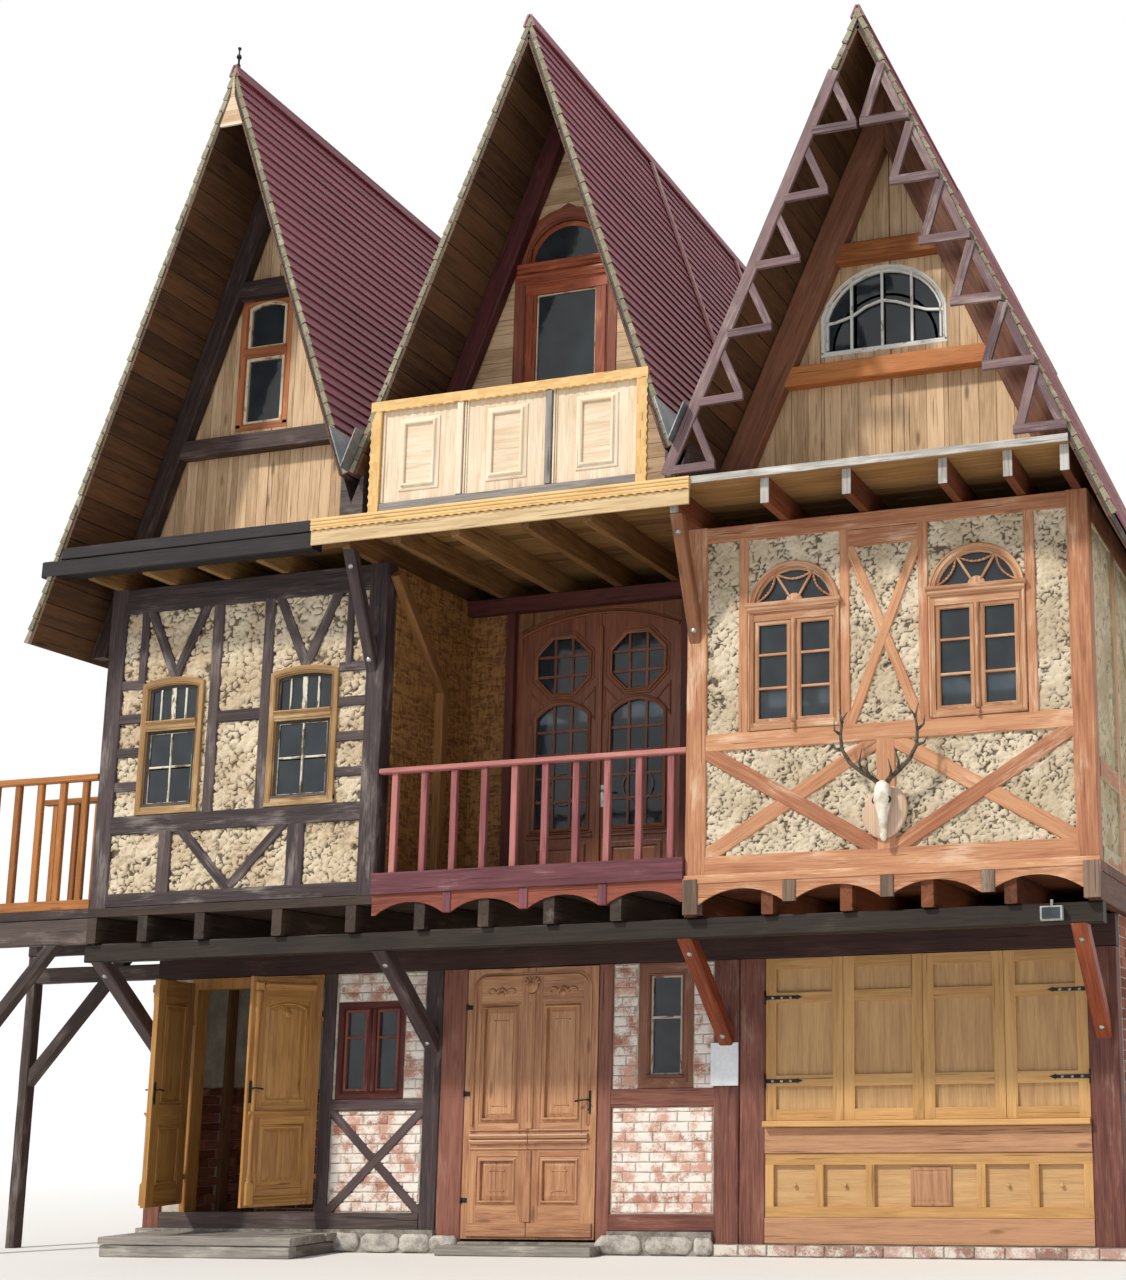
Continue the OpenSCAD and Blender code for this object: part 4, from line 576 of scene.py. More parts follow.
def squared(wide, deep, chamfer=0.008):
    """A timber's section, its front at out = 0, with all four edges chamfered."""
    w, c = wide / 2, chamfer
    return [(-w + c, -deep), (w - c, -deep), (w, c - deep), (w, -c), (w - c, 0), (c - w, 0),
            (-w, -c), (-w, c - deep)]


UP, TO_STREET = (0, 0, 1), (0, -1, 0)


def beam(pile, x0, x1, z0, z1, y, deep, sunk=0.0, **settings):
    """A post or rail that fills the rectangle, its grain along the longer side."""
    mid_x, mid_z, front = (x0 + x1) / 2, (z0 + z1) / 2, y + sunk
    if z1 - z0 > x1 - x0:
        ends, wide = ((mid_x, front, z0), (mid_x, front, z1)), x1 - x0
    else:
        ends, wide = ((x0, front, mid_z), (x1, front, mid_z)), z1 - z0
    settings.setdefault("wave", 0.004)
    sweep(pile, squared(wide, deep - sunk), *ends, TO_STREET, **settings)


def strut(pile, a, b, wide, y, deep, sunk=0.004, past=0.05, cuts=(None, None), **settings):
    """A brace between two points of X and Z, running past them under the rails."""
    a, b = np.array([a[0], y + sunk, a[1]]), np.array([b[0], y + sunk, b[1]])
    axis = (b - a) / np.linalg.norm(b - a)
    ends = [a if cuts[0] is not None else a - axis * past, b if cuts[1] is not None else b + axis * past]
    settings.setdefault("wave", 0.004)
    sweep(pile, squared(wide, deep - sunk), *ends, TO_STREET, cuts=cuts, **settings)


# %% [markdown]
# The left bay is framed in dark weathered timber. The posts stand proudest, the
# rails a hair behind them, then the studs and last the braces, so the shorter
# timbers seem let into the longer ones. The braces run on under the rails.

# %% Timbers of the left bay
FRONT, WALL = -0.99, 0.155
HOUSE_W, HOUSE_D = 9.13, 6.0
FIRST_Z, FIRST_TOP = 3.01, 5.95
RAILS = ((FIRST_Z, 3.135), (3.66, 3.83), (5.71, FIRST_TOP))
bay_dark = wood("bay_dark", "5a4b49", "2d2425", "8f847e", wear=0.35)
LEFT_STUDS = [(1.11, 1.22, 3.83, 5.71), (1.645, 1.755, 3.83, 5.71), (0.342, 0.427, 5.08, 5.71),
              (2.493, 2.568, 5.08, 5.71), (0.68, 0.82, 3.135, 3.66), (2.0, 2.175, 3.135, 3.66)]
LEFT_V = [((0.925, 3.66), (1.42, 3.135)), ((1.42, 3.135), (1.94, 3.66))]
timbers = Pile()
for x0, x1 in ((0.0, 0.18), (2.71, 2.89)):
    beam(timbers, x0, x1, FIRST_Z, FIRST_TOP, FRONT, WALL)
for z0, z1 in RAILS:
    beam(timbers, 0.17, 2.72, z0, z1, FRONT, WALL, 0.002)
for x0, x1, z0, z1 in LEFT_STUDS:
    beam(timbers, x0, x1, z0 - 0.02, z1 + 0.02, FRONT, WALL, 0.003)
beam(timbers, 1.20, 1.66, 4.622, 4.732, FRONT, WALL, 0.004)
for row in range(1, 5):
    z = 3.83 + row * 0.3125 - 0.09
    beam(timbers, 0.17, 0.42, z, z + 0.09, FRONT, WALL, 0.004)
    beam(timbers, 2.44, 2.72, z, z + 0.09, FRONT, WALL, 0.004)
for a, b in LEFT_V:
    strut(timbers, a, b, 0.095, FRONT, WALL)
for middle in (0.737, 2.10):
    for lean in (-0.29, 0.29):
        strut(timbers, (middle, 5.08), (middle + lean, 5.71), 0.095, FRONT, WALL, cuts=(UP, None))
timbers.make("left_bay_timbers", bay_dark, "dark_timber", ["left_bay_frame"])

# %% [markdown]
# The right bay is framed in orange timber, with crossed braces. Where two of them
# meet, one lies a few millimetres deeper, as if let into the other.

# %% Timbers of the right bay
bay_orange = wood("bay_orange", "cb966e", "975d42", "e0c2a6", wear=0.3)
RIGHT_X = 5.74


def crossed(pile, x0, x1, z0, z1, wide, y, deep, behind=0.006):
    """Two braces from corner to corner, one let into the other."""
    strut(pile, (x0, z0), (x1, z1), wide, y, deep, 0.010 - behind)
    strut(pile, (x0, z1), (x1, z0), wide, y, deep, behind)


timbers = Pile()
for x0, x1 in ((0.0, 0.18), (3.21, 3.39)):
    beam(timbers, RIGHT_X + x0, RIGHT_X + x1, FIRST_Z, FIRST_TOP, FRONT, WALL)
for z0, z1 in ((FIRST_Z, 3.185), (4.04, 4.19), (5.81, FIRST_TOP)):
    beam(timbers, RIGHT_X + 0.17, RIGHT_X + 3.22, z0, z1, FRONT, WALL, 0.002)
for x in (0.455, 1.33, 1.991, 2.866):
    beam(timbers, RIGHT_X + x, RIGHT_X + x + 0.085, 4.17, 5.83, FRONT, WALL, 0.003)
beam(timbers, RIGHT_X + 1.624, RIGHT_X + 1.784, 3.17, 4.06, FRONT, WALL, 0.003)
beam(timbers, RIGHT_X + 1.40, RIGHT_X + 2.0, 5.66, 5.81, FRONT, WALL, 0.004)
crossed(timbers, RIGHT_X + 1.415, RIGHT_X + 1.991, 4.19, 5.66, 0.085, FRONT, WALL)
crossed(timbers, RIGHT_X + 0.18, RIGHT_X + 1.624, 3.185, 4.04, 0.13, FRONT, WALL, 0.003)
crossed(timbers, RIGHT_X + 1.784, RIGHT_X + 3.21, 3.185, 4.04, 0.13, FRONT, WALL)
timbers.make("right_bay_timbers", bay_orange, "orange_timber", ["right_bay_frame"])

# %% [markdown]
# Clay fills the panels between the timbers. It is thrown on in clods with deep
# gaps, and was never smoothed; the gaps are darkened with painted shade. Each
# sheet is a fine grid, pushed in and out by the distances to the nearest and the
# next nearest of many strewn points.
# Cells behind a window are left out, and the sheet is closed at its back and
# round every edge.

# %% Clay sheets
STREWN = 97  # squares along each side of the table of random points, which repeats beyond it


def strewn(x, z, size, seed):
    """Distances to the nearest and next nearest point, one in each square, and a random lift."""
    table = np.random.default_rng(seed).random((STREWN, STREWN, 3))
    u, v = x / size, z / size
    near, next_near, lift = np.full(u.shape, 9.0), np.full(u.shape, 9.0), np.zeros(u.shape)
    for i in (-1, 0, 1):
        for j in (-1, 0, 1):
            col, row = np.floor(u).astype(int) + i, np.floor(v).astype(int) + j
            point = table[col % STREWN, row % STREWN]
            far = np.hypot(col + point[..., 0] - u, row + point[..., 1] - v)
            closer = far < near
            next_near = np.where(closer, near, np.minimum(next_near, far))
            lift = np.where(closer, point[..., 2], lift)
            near = np.minimum(near, far)
    return near, next_near, lift


def arch_circle(wide, rise):
    """Radius of the circle over a chord of that width and rise, and its centre below the chord."""
    radius = (wide * wide / 4 + rise * rise) / (2 * rise)
    return radius, radius - rise


def in_window(x, z, x0, z0, wide, spring, rise, inset):
    """True inside an opening with straight sides up to spring and an arch of that rise."""
    radius, drop = arch_circle(wide, rise)
    across = np.abs(x - x0 - wide / 2)
    crown = z0 + spring - drop + np.sqrt(np.maximum((radius - inset) ** 2 - across ** 2, 0))
    return (across < wide / 2 - inset) & (z > z0 + inset) & (z < crown)


def clay_sheet(pile, x0, x1, z0, z1, windows, front, back, cell, relief):
    """A grid in X and Z with its depth from relief, and a flat twin behind it."""
    nx, nz = int((x1 - x0) / cell), int((z1 - z0) / cell)
    x, z = np.meshgrid(np.linspace(x0, x1, nx + 1), np.linspace(z0, z1, nz + 1), indexing="ij")
    height, crevice_shade = relief(x, z)
    face = np.stack([x, front - height, z], -1)
    flat = np.stack([x, np.full_like(x, back), z], -1)
    mid_x, mid_z = (x[:-1, :-1] + x[1:, 1:]) / 2, (z[:-1, :-1] + z[1:, 1:]) / 2
    kept = np.ones(mid_x.shape, bool)
    for window in windows:
        kept &= ~in_window(mid_x, mid_z, *window, 0.02)
    index = np.arange(x.size).reshape(x.shape)
    corner = [index[:-1, :-1], index[1:, :-1], index[1:, 1:], index[:-1, 1:]]
    faces = [np.stack([c[kept] for c in corner], -1), np.stack([c[kept] for c in corner[::-1]], -1) + x.size]
    padded = np.pad(kept, 1)
    for k, (i, j) in enumerate(((0, -1), (1, 0), (0, 1), (-1, 0))):
        open_side = kept & ~padded[1 + i:padded.shape[0] - 1 + i, 1 + j:padded.shape[1] - 1 + j]
        p, q = corner[k][open_side], corner[(k + 1) % 4][open_side]
        faces.append(np.stack([q, p, p + x.size, q + x.size], -1))
    used = np.unique(np.concatenate([f.ravel() for f in faces]))
    new = np.zeros(2 * x.size, int)
    new[used] = np.arange(len(used))
    points = np.concatenate([face.reshape(-1, 3), flat.reshape(-1, 3)])
    # The front's tone is the painted crevice shade; the back has none.
    tone = np.concatenate([crevice_shade.ravel(), np.zeros(x.size)])
    pile.add(points[used], [new[f] for f in faces], tone=tone[used], smooth=True)


def rumple(x, z, size, seed):
    """A smooth uneven field between about -1 and 1: eight sine waves in random directions."""
    waves = np.random.default_rng(seed)
    total = np.zeros(x.shape)
    for turn, phase, speed in zip(waves.uniform(0, ROUND, 8), waves.uniform(0, ROUND, 8),
                                  waves.uniform(0.7, 1.8, 8)):
        total += np.sin((x * np.cos(turn) + z * np.sin(turn)) * ROUND * speed / size + phase)
    return total / 4


def clods(x, z, size=0.085, deep=0.020, seed=5):
    """Lumps wider than tall, each at its own height, with ragged grooves deepest here and there."""
    wide = x + 0.02 * rumple(x, z, 0.12, seed)
    tall = (z + 0.02 * rumple(x, z, 0.10, seed + 1)) * 1.4
    near, next_near, lift = strewn(wide, tall, size, seed)
    small, small_next, small_lift = strewn(wide, tall, size * 0.42, seed + 2)
    strength = np.clip(0.65 + 0.6 * rumple(x, z, 0.3, seed + 3), 0.15, 1.0)
    groove = np.exp(-((next_near - near) / 0.16) ** 2) * strength
    nick = np.exp(-((small_next - small) / 0.22) ** 2) * np.clip(1.2 - strength + lift * 0.3, 0, 1)
    height = deep * (0.7 * lift - groove - 0.35 * nick + 0.3 * small_lift - 0.4 * near ** 2)
    # The second value is painted shade, dark along the grooves and nicks.
    return height, np.clip(groove * 1.15 + nick * 0.35, 0, 1)


def grey_clods(x, z):
    """Smaller, flatter lumps for the right bay."""
    return clods(x, z, 0.070, 0.018, 21)


LEFT_WINDOWS = [(0.412, 3.83, 0.65, 1.2, 0.05), (1.755, 3.83, 0.69, 1.2, 0.05)]
RIGHT_WINDOWS = [(RIGHT_X + x, 4.19, 0.79, 1.06, 0.345) for x in (0.54, 2.076)]
sheet = Pile()
clay_sheet(sheet, 0.10, 2.79, 3.07, 5.83, LEFT_WINDOWS, -0.962, -0.84, 0.0125, clods)
# The last colour of each clay is its painted crevice shade.
yellow_clay = clay_finish("yellow_clay", "e2d2b6", "cab496", "584837")
sheet.make("left_bay_clay", yellow_clay, "clay", ["left_bay_infill"])
sheet = Pile()
clay_sheet(sheet, RIGHT_X + 0.10, RIGHT_X + 3.29, 3.10, 5.88, RIGHT_WINDOWS, -0.964, -0.84, 0.0135,
           grey_clods)
# The last colour is the painted crevice shade.
grey_clay_finish = clay_finish("grey_clay", "e0d0b6", "c6b498", "54483a")
sheet.make("right_bay_clay", grey_clay_finish, "grey_clay", ["right_bay_infill"])

# %% [markdown]
# Frames, mouldings and glazing bars follow straight lines and arches. One
# profile is carried along a path of X and Z, with mitred corners, as a joiner
# would cut them. Raised fields and cornice blocks are rings of one outline, each
# ring set in and lifted a little. Turned work is a profile swept round an axis.

# %% Mouldings, raised fields and turned work
def trim(pile, path, profile, y, looped=False):
    """At each corner the profile is set on the line that halves the corner, and stretched by
    one over the cosine of half the turn; positive sides lie left of the path."""
    path, profile = np.asarray(path, float), np.asarray(profile, float)
    step = np.roll(path, -1, 0) - path
    length = np.linalg.norm(step, axis=1)
    after = step / length[:, None]
    before = np.roll(after, 1, 0)
    if not looped:
        before[0], after[-1] = after[0], after[-2]
    left_a, left_b = before[:, ::-1] * (-1, 1), after[:, ::-1] * (-1, 1)
    corner = (left_a + left_b) / (1 + (left_a * left_b).sum(1))[:, None]
    flat = path[:, None] + profile[None, :, :1] * corner[:, None]
    rings = np.stack([flat[..., 0], np.broadcast_to(y - profile[:, 1], flat.shape[:2]), flat[..., 1]], -1)
    walked = np.concatenate([[0], np.cumsum(length)[:-1]])[:, None]
    grain = np.stack(np.broadcast_arrays(walked, profile[None, :, 0], profile[None, :, 1]), -1)
    tone = rng.uniform(0.2, 0.8)
    pile.add(rings, loft(rings, looped), grain + rng.uniform(0, 40, 3), tone)


def lath(wide, thick, back=0.0):
    """A plain section, its middle on the path, from back to thick in front of it."""
    return [(-wide / 2, back), (wide / 2, back), (wide / 2, thick - 0.002), (wide / 2 - 0.002, thick),
            (0.002 - wide / 2, thick), (-wide / 2, thick - 0.002)]


def bead(wide, thick, back=0.0):
    """A half round section."""
    turn = np.linspace(0, np.pi, 7)
    round_part = [(wide / 2 * math.cos(a), thick * math.sin(a)) for a in turn]
    return [(-wide / 2, back - 0.001), (wide / 2, back - 0.001)] + round_part


def ogee(wide, thick):
    """A panel moulding: a square edge, a hollow and a round that falls to the panel."""
    share = [(0, 0), (1, 0), (1, 0.25), (0.86, 0.35), (0.62, 0.42), (0.48, 0.62), (0.38, 0.9), (0.24, 1),
             (0.1, 0.95), (0.0, 0.8)]
    return [(wide * (u - 0.5), thick * v) for u, v in share]


def mirrored(profile):
    """The profile with its two sides swapped, still counter-clockwise."""
    return [(-side, out) for side, out in reversed(profile)]


def arch(x0, z0, wide, spring, rise, inset=0.0, steps=14):
    """Up the left side, along a circle's arc and down the right side, all set in."""
    middle, half = x0 + wide / 2, wide / 2 - inset
    radius, drop = arch_circle(wide, rise)
    low, radius = z0 + spring - drop, radius - inset
    reach = math.asin(min(1.0, half / radius))
    turn = np.linspace(-reach, reach, steps)
    curve = np.column_stack([middle + radius * np.sin(turn), low + radius * np.cos(turn)])
    return np.vstack([[(middle - half, z0 + inset)], curve, [(middle + half, z0 + inset)]])


def outline(x0, x1, z0, z1, rise=0.0, inset=0.0):
    """Corners of a panel, counter-clockwise, with an arch of that rise on top."""
    if rise:
        return arch(x0, z0, x1 - x0, z1 - z0, rise, inset, 10)[::-1]
    return np.array([(x1 - inset, z0 + inset), (x1 - inset, z1 - inset), (x0 + inset, z1 - inset),
                     (x0 + inset, z0 + inset)])


def raised(pile, shape, y, steps, tone=None, grain_up=True):
    """Rings of the panel's outline, each set in and lifted to the street by one of the steps."""
    rings = []
    for inset, lift in steps:
        flat = outline(*shape, inset=inset)
        rings.append(np.column_stack([flat[:, 0], np.full(len(flat), y - lift), flat[:, 1]]))
    rings = np.array(rings)
    grain = rings[..., [2, 0, 1] if grain_up else [0, 2, 1]] + rng.uniform(0, 40, 3)
    pile.add(rings, loft(rings), grain, rng.uniform(0.2, 0.8) if tone is None else tone)


def turned(pile, foot, axis, radii, heights, sides=12, squash=1.0):
    """Circles of the given radii at the given heights along an axis; squash flattens them."""
    axis = np.asarray(axis, float) / np.linalg.norm(axis)
    side = np.cross(axis, (0.3, -0.2, 0.9) if abs(axis[2]) < 0.9 else (1.0, 0, 0))
    side /= np.linalg.norm(side)
    other = np.cross(axis, side)
    turn = np.linspace(0, 2 * np.pi, sides, endpoint=False)
    ring = np.cos(turn)[:, None] * side + squash * np.sin(turn)[:, None] * other
    radii, heights = np.asarray(radii, float)[:, None, None], np.asarray(heights, float)[:, None, None]
    rings = np.asarray(foot, float) + heights * axis + radii * ring
    flat = radii * ring
    grain = np.stack(np.broadcast_arrays(heights[..., 0], flat[..., 0], flat[..., 1]), -1)
    grain = grain + rng.uniform(0, 40, 3)
    pile.add(rings, loft(rings), grain, rng.uniform(0.3, 0.7), True)


def rod(pile, points, radii, sides=7):
    """A tube through points, its radius changing along it, closed at both ends."""
    points, radii = np.asarray(points, float), np.broadcast_to(radii, len(points)).astype(float)
    axis = np.gradient(points, axis=0)
    axis /= np.linalg.norm(axis, axis=1)[:, None]
    side = np.cross(axis, (0.11, 0.93, 0.35))
    side /= np.linalg.norm(side, axis=1)[:, None]
    other = np.cross(axis, side)
    turn = np.linspace(0, 2 * np.pi, sides, endpoint=False)[:, None]
    ring = np.cos(turn) * side[:, None] + np.sin(turn) * other[:, None]
    rings = points[:, None] + radii[:, None, None] * ring
    walked = np.arange(len(points))[:, None] * 0.03 + 0 * ring[..., 0]
    grain = np.stack([walked, radii[:, None] * ring[..., 0], radii[:, None] * ring[..., 2]], -1)
    pile.add(rings, loft(rings), grain, 0.5, True)


def bolt(pile, place, out, size=0.016):
    """A domed bolt head on a washer."""
    turned(pile, place, out, [size * 1.5, size * 1.5, size, size, size * 0.6, 0.0005],
           [-0.004, 0.002, 0.002, 0.007, 0.011, 0.012], 10)


# %% [markdown]
# The left bay's windows have weathered ochre frames. Under a moulded transom
# sits a dark sash crossed by thin pale bars. Over it, the small arched light
# keeps only three upright bars, whose paint peels.

# %% Windows of the left bay
def frame_section(wide, deep):
    """A frame's section: flat outside, with a bead and a rebate on its inner, negative side."""
    w = wide / 2
    return [(-w, -deep), (w, -deep), (w, -0.004), (w - 0.004, 0), (0.026 - w, 0), (0.021 - w, -0.004),
            (0.017 - w, 0.002), (0.011 - w, 0.002), (0.008 - w, -0.006), (0.008 - w, -0.02), (-w, -0.022)]


CORNICE = [(0, -0.05), (0.09, -0.05), (0.09, 0.022), (0.080, 0.027), (0.070, 0.022), (0.062, 0.010),
           (0.044, 0.006), (0.034, 0.012), (0.022, 0.010), (0.012, 0.002), (0, 0)]


def bar(pile, x0, z0, x1, z1, wide, y, out):
    """A straight glazing bar between two places in X and Z."""
    trim(pile, [(x0, z0), (x1, z1)], lath(wide, out, -0.012), y)


frames, sashes, bars = Pile(), Pile(), Pile()
SASH_Y = FRONT + 0.032
for x0, z0, wide, spring, rise in LEFT_WINDOWS:
    trim(frames, arch(x0, z0, wide, spring, rise, 0.035), frame_section(0.07, 0.07), FRONT - 0.004)
    sweep(frames, squared(0.072, 0.07, 0.005), (x0, FRONT - 0.002, z0 + 0.036),
          (x0 + wide, FRONT - 0.002, z0 + 0.036), TO_STREET)
    sweep(frames, CORNICE, (x0 + 0.06, FRONT, z0 + 0.76), (x0 + wide - 0.06, FRONT, z0 + 0.76), TO_STREET)
    glass_x0, glass_x1 = x0 + 0.07, x0 + wide - 0.07
    low, high = z0 + 0.07, z0 + 0.765
    ring = outline(glass_x0, glass_x1, low, high, 0, 0.014)
    trim(sashes, ring, lath(0.034, 0.012, -0.03), SASH_Y, True)
    sweep(sashes, [(0, -0.03), (0.03, -0.03), (0.022, 0.03), (0.004, 0.036), (0, 0.03)],
          (glass_x0 - 0.01, SASH_Y, low), (glass_x1 + 0.01, SASH_Y, low), TO_STREET)
    top = arch(x0, z0 + 0.77, wide, spring - 0.77, rise, 0.085)
    trim(sashes, top, lath(0.028, 0.008, -0.03), SASH_Y)
    trim(bars, outline(glass_x0, glass_x1, low, high, 0, 0.033), lath(0.006, 0.008, -0.004), SASH_Y, True)
    middle, centre = (glass_x0 + glass_x1) / 2, (low + high) / 2 + 0.01
    bar(bars, middle, low + 0.03, middle, high - 0.02, 0.018, SASH_Y, 0.008)
    bar(bars, glass_x0 + 0.03, centre, glass_x1 - 0.03, centre, 0.018, SASH_Y, 0.007)
    for k, wide_bar in enumerate((0.018, 0.05, 0.022)):
        x = glass_x0 + (k + 0.9) * (glass_x1 - glass_x0) / 3.9
        bar(bars, x, z0 + 0.84, x, z0 + spring - 0.045, wide_bar, SASH_Y, 0.006)
    sweep(bars, [(0, -0.01), (0.012, -0.01), (0.012, 0.012), (0, 0.012)], (glass_x0, SASH_Y, z0 + 0.845),
          (glass_x1, SASH_Y, z0 + 0.845), TO_STREET)
aged_ochre = wood("aged_ochre", "b99464", "84633e", "cbb38c", wear=0.35)
dark_sash = wood("dark_sash", "50443c", "2a2320", "8c8274", wear=0.3)
peeling = painted("peeling_white", "d8d2be", "6b5a42", 0.55, None)
frames.make("left_bay_window_frames", aged_ochre, "ochre_paint", ["left_bay_windows"])
sashes.make("left_bay_sashes", dark_sash, "dark_timber")
bars.make("left_bay_bars", peeling, "white_paint")

# %% [markdown]
# The right bay's windows are joiner's work: a pair of casements of three panes
# each, a turned meeting post, a cornice, and a fanlight whose bars spring from
# half a rosette and are hung with beaded festoons.

# %% Windows of the right bay
def festoon(pile, a, b, sag, y):
    """A hanging arc from a to b, bowed square to the line between them, strung with beads."""
    a, b = np.array(a), np.array(b)
    share = np.linspace(0, 1, 11)[:, None]
    square = np.array([(b - a)[1], -(b - a)[0]]) / np.linalg.norm(b - a)
    path = a + share * (b - a) + square * sag * 4 * share * (1 - share)
    trim(pile, path, bead(0.016, 0.010, -0.006), y)
    for x, z in path[2:-2]:
        turned(pile, (x, y - 0.004, z), TO_STREET, [0.011, 0.011, 0.007, 0.0005],
               [0, 0.006, 0.011, 0.012], 8)


frames = Pile()
for x0, z0, wide, spring, rise in RIGHT_WINDOWS:
    trim(frames, arch(x0, z0, wide, spring, rise, 0.030), frame_section(0.06, 0.07), FRONT - 0.005)
    trim(frames, arch(x0, z0, wide, spring, rise, 0.012), bead(0.020, 0.010), FRONT - 0.004)
    sweep(frames, squared(0.065, 0.07, 0.006), (x0, FRONT - 0.003, z0 + 0.033),
          (x0 + wide, FRONT - 0.003, z0 + 0.033), TO_STREET)
    middle, rail = x0 + wide / 2, z0 + 0.91
    sweep(frames, squared(0.15, 0.066, 0.004), (x0 + 0.05, FRONT - 0.001, rail + 0.075),
          (x0 + wide - 0.05, FRONT - 0.001, rail + 0.075), TO_STREET)
    for lift, tall, out in ((0.112, 0.038, 0.046), (0.085, 0.028, 0.032), (0.066, 0.020, 0.018)):
        reach = 0.02 + out
        sweep(frames, [(0, -0.02), (tall, -0.02), (tall, out), (tall * 0.4, out * 0.92), (0, out * 0.55)],
              (x0 + 0.05 - reach, FRONT, rail + lift), (x0 + wide - 0.05 + reach, FRONT, rail + lift),
              TO_STREET)
    for side in (-1, 1):
        inner, outer = middle + side * 0.028, middle + side * (wide / 2 - 0.058)
        left, right = sorted((inner, outer))
        borders = ((0.014, lath(0.030, 0.008, -0.04), 0.016), (0.031, bead(0.007, 0.006), 0.018))
        for inset, shape, y in borders:
            trim(frames, outline(left, right, z0 + 0.062, rail, 0, inset), shape, FRONT + y, True)
        for share in (1 / 3, 2 / 3):
            z = z0 + 0.066 + share * (rail - z0 - 0.066)
            bar(frames, left + 0.03, z, right - 0.03, z, 0.020, FRONT + 0.022, 0.010)
    turned(frames, (middle, FRONT + 0.004, z0 + 0.06), UP, [0.028, 0.028, 0.020, 0.020, 0.028, 0.028],
           [0, 0.06, 0.09, 0.77, 0.80, 0.848], 12, 0.8)
    sweep(frames, squared(0.060, 0.05, 0.006), (middle, FRONT + 0.012, z0 + 0.06),
          (middle, FRONT + 0.012, rail), TO_STREET)
    turned(frames, (middle, FRONT - 0.012, z0 - 0.012), UP, [0.001, 0.014, 0.018, 0.014, 0.024],
           [0, 0.008, 0.020, 0.034, 0.05], 10)
    foot = rail + 0.15
    crown = z0 + spring + rise - 0.07
    fan = arch(x0, foot - 0.03, wide, z0 + spring - foot + 0.03, rise, 0.066)
    trim(frames, fan, lath(0.016, 0.006, -0.03), FRONT + 0.020)
    turned(frames, (middle, FRONT + 0.024, foot), TO_STREET, [0.075, 0.075, 0.060, 0.035, 0.030, 0.0005],
           [-0.008, 0.006, 0.010, 0.012, 0.020, 0.022], 20)
    tops = [(middle + side * 0.165, crown - 0.020) for side in (-1, 1)]
    for (x, z), side in zip(tops, (-1, 1)):
        bar(frames, middle + side * 0.035, foot + 0.04, x, z, 0.020, FRONT + 0.022, 0.010)
        corner = (middle + side * (wide / 2 - 0.075), foot + 0.02)
        festoon(frames, *((corner, (x, z)) if side < 0 else ((x, z), corner)), 0.045, FRONT + 0.022)
    festoon(frames, tops[0], tops[1], 0.06, FRONT + 0.022)
    print("fanlight:", round(crown - foot, 3), "m high")
tan_pine = wood("tan_pine", "cfa07c", "9c6a48", "e0c6a6", wear=0.35, rough=0.55)
frames.make("right_bay_window_frames", tan_pine, "tan_paint", ["right_bay_windows"])

# %% [markdown]
# The roofs are clad with boards that lap like scales: each board's lower edge
# rests on the one below. Below them lies the roof's body, and the planks seen
# from underneath. The three roofs have six slopes; each is a ridge point, a
# steepness, a side and the height of its foot.

# %% Roof boards
VERGE_Y, REAR_Y, ROOF_T = -1.51, 6.5, 0.09
SLOPES = {
    "left_roof": [(1.351, 10.77, 2.94, -1, 5.38), (1.351, 10.77, 2.90, 1, 6.623)],
    "middle_roof": [(4.392, 10.70, 2.53, -1, 6.624), (4.392, 10.70, 2.92, 1, 6.516)],
    "right_roof": [(7.432, 10.195, 2.29, -1, 6.515), (7.432, 10.195, 2.30, 1, 5.56)],
}


def slope_place(ridge_x, ridge_z, steep, side, run, depth=0.0):
    """The point run metres down the slope from the ridge and depth metres below its face."""
    k = math.hypot(1, steep)
    return (ridge_x + side * (run - steep * depth) / k, ridge_z - (run * steep + depth) / k)


def slope_length(slope):
    """Metres down the slope from its ridge to its foot."""
    return (slope[1] - slope[4]) * math.hypot(1, slope[2]) / slope[2]


def slope_x(slope, z, below):
    """X of the line that lies below metres under a slope's face, at height z."""
    rx, rz, steep, side, _ = slope
    return rx + side * (rz - below * math.hypot(1, steep) - z) / steep


def along_slope(pile, slope, run, depth, profile, y0, y1, outward=True, **settings):
    """A board along Y, its profile (up the slope, out) set at a run and depth of the slope."""
    steep, side = slope[2:4]
    x, z = slope_place(*slope[:4], run, depth)
    k = math.hypot(1, steep)
    normal = np.array([side * steep / k, 0, 1 / k]) * (1 if outward else -1)
    ends = [(x, y0, z), (x, y1, z)]
    if (side > 0) != outward:
        ends.reverse()
    sweep(pile, profile, *ends, normal, **settings)


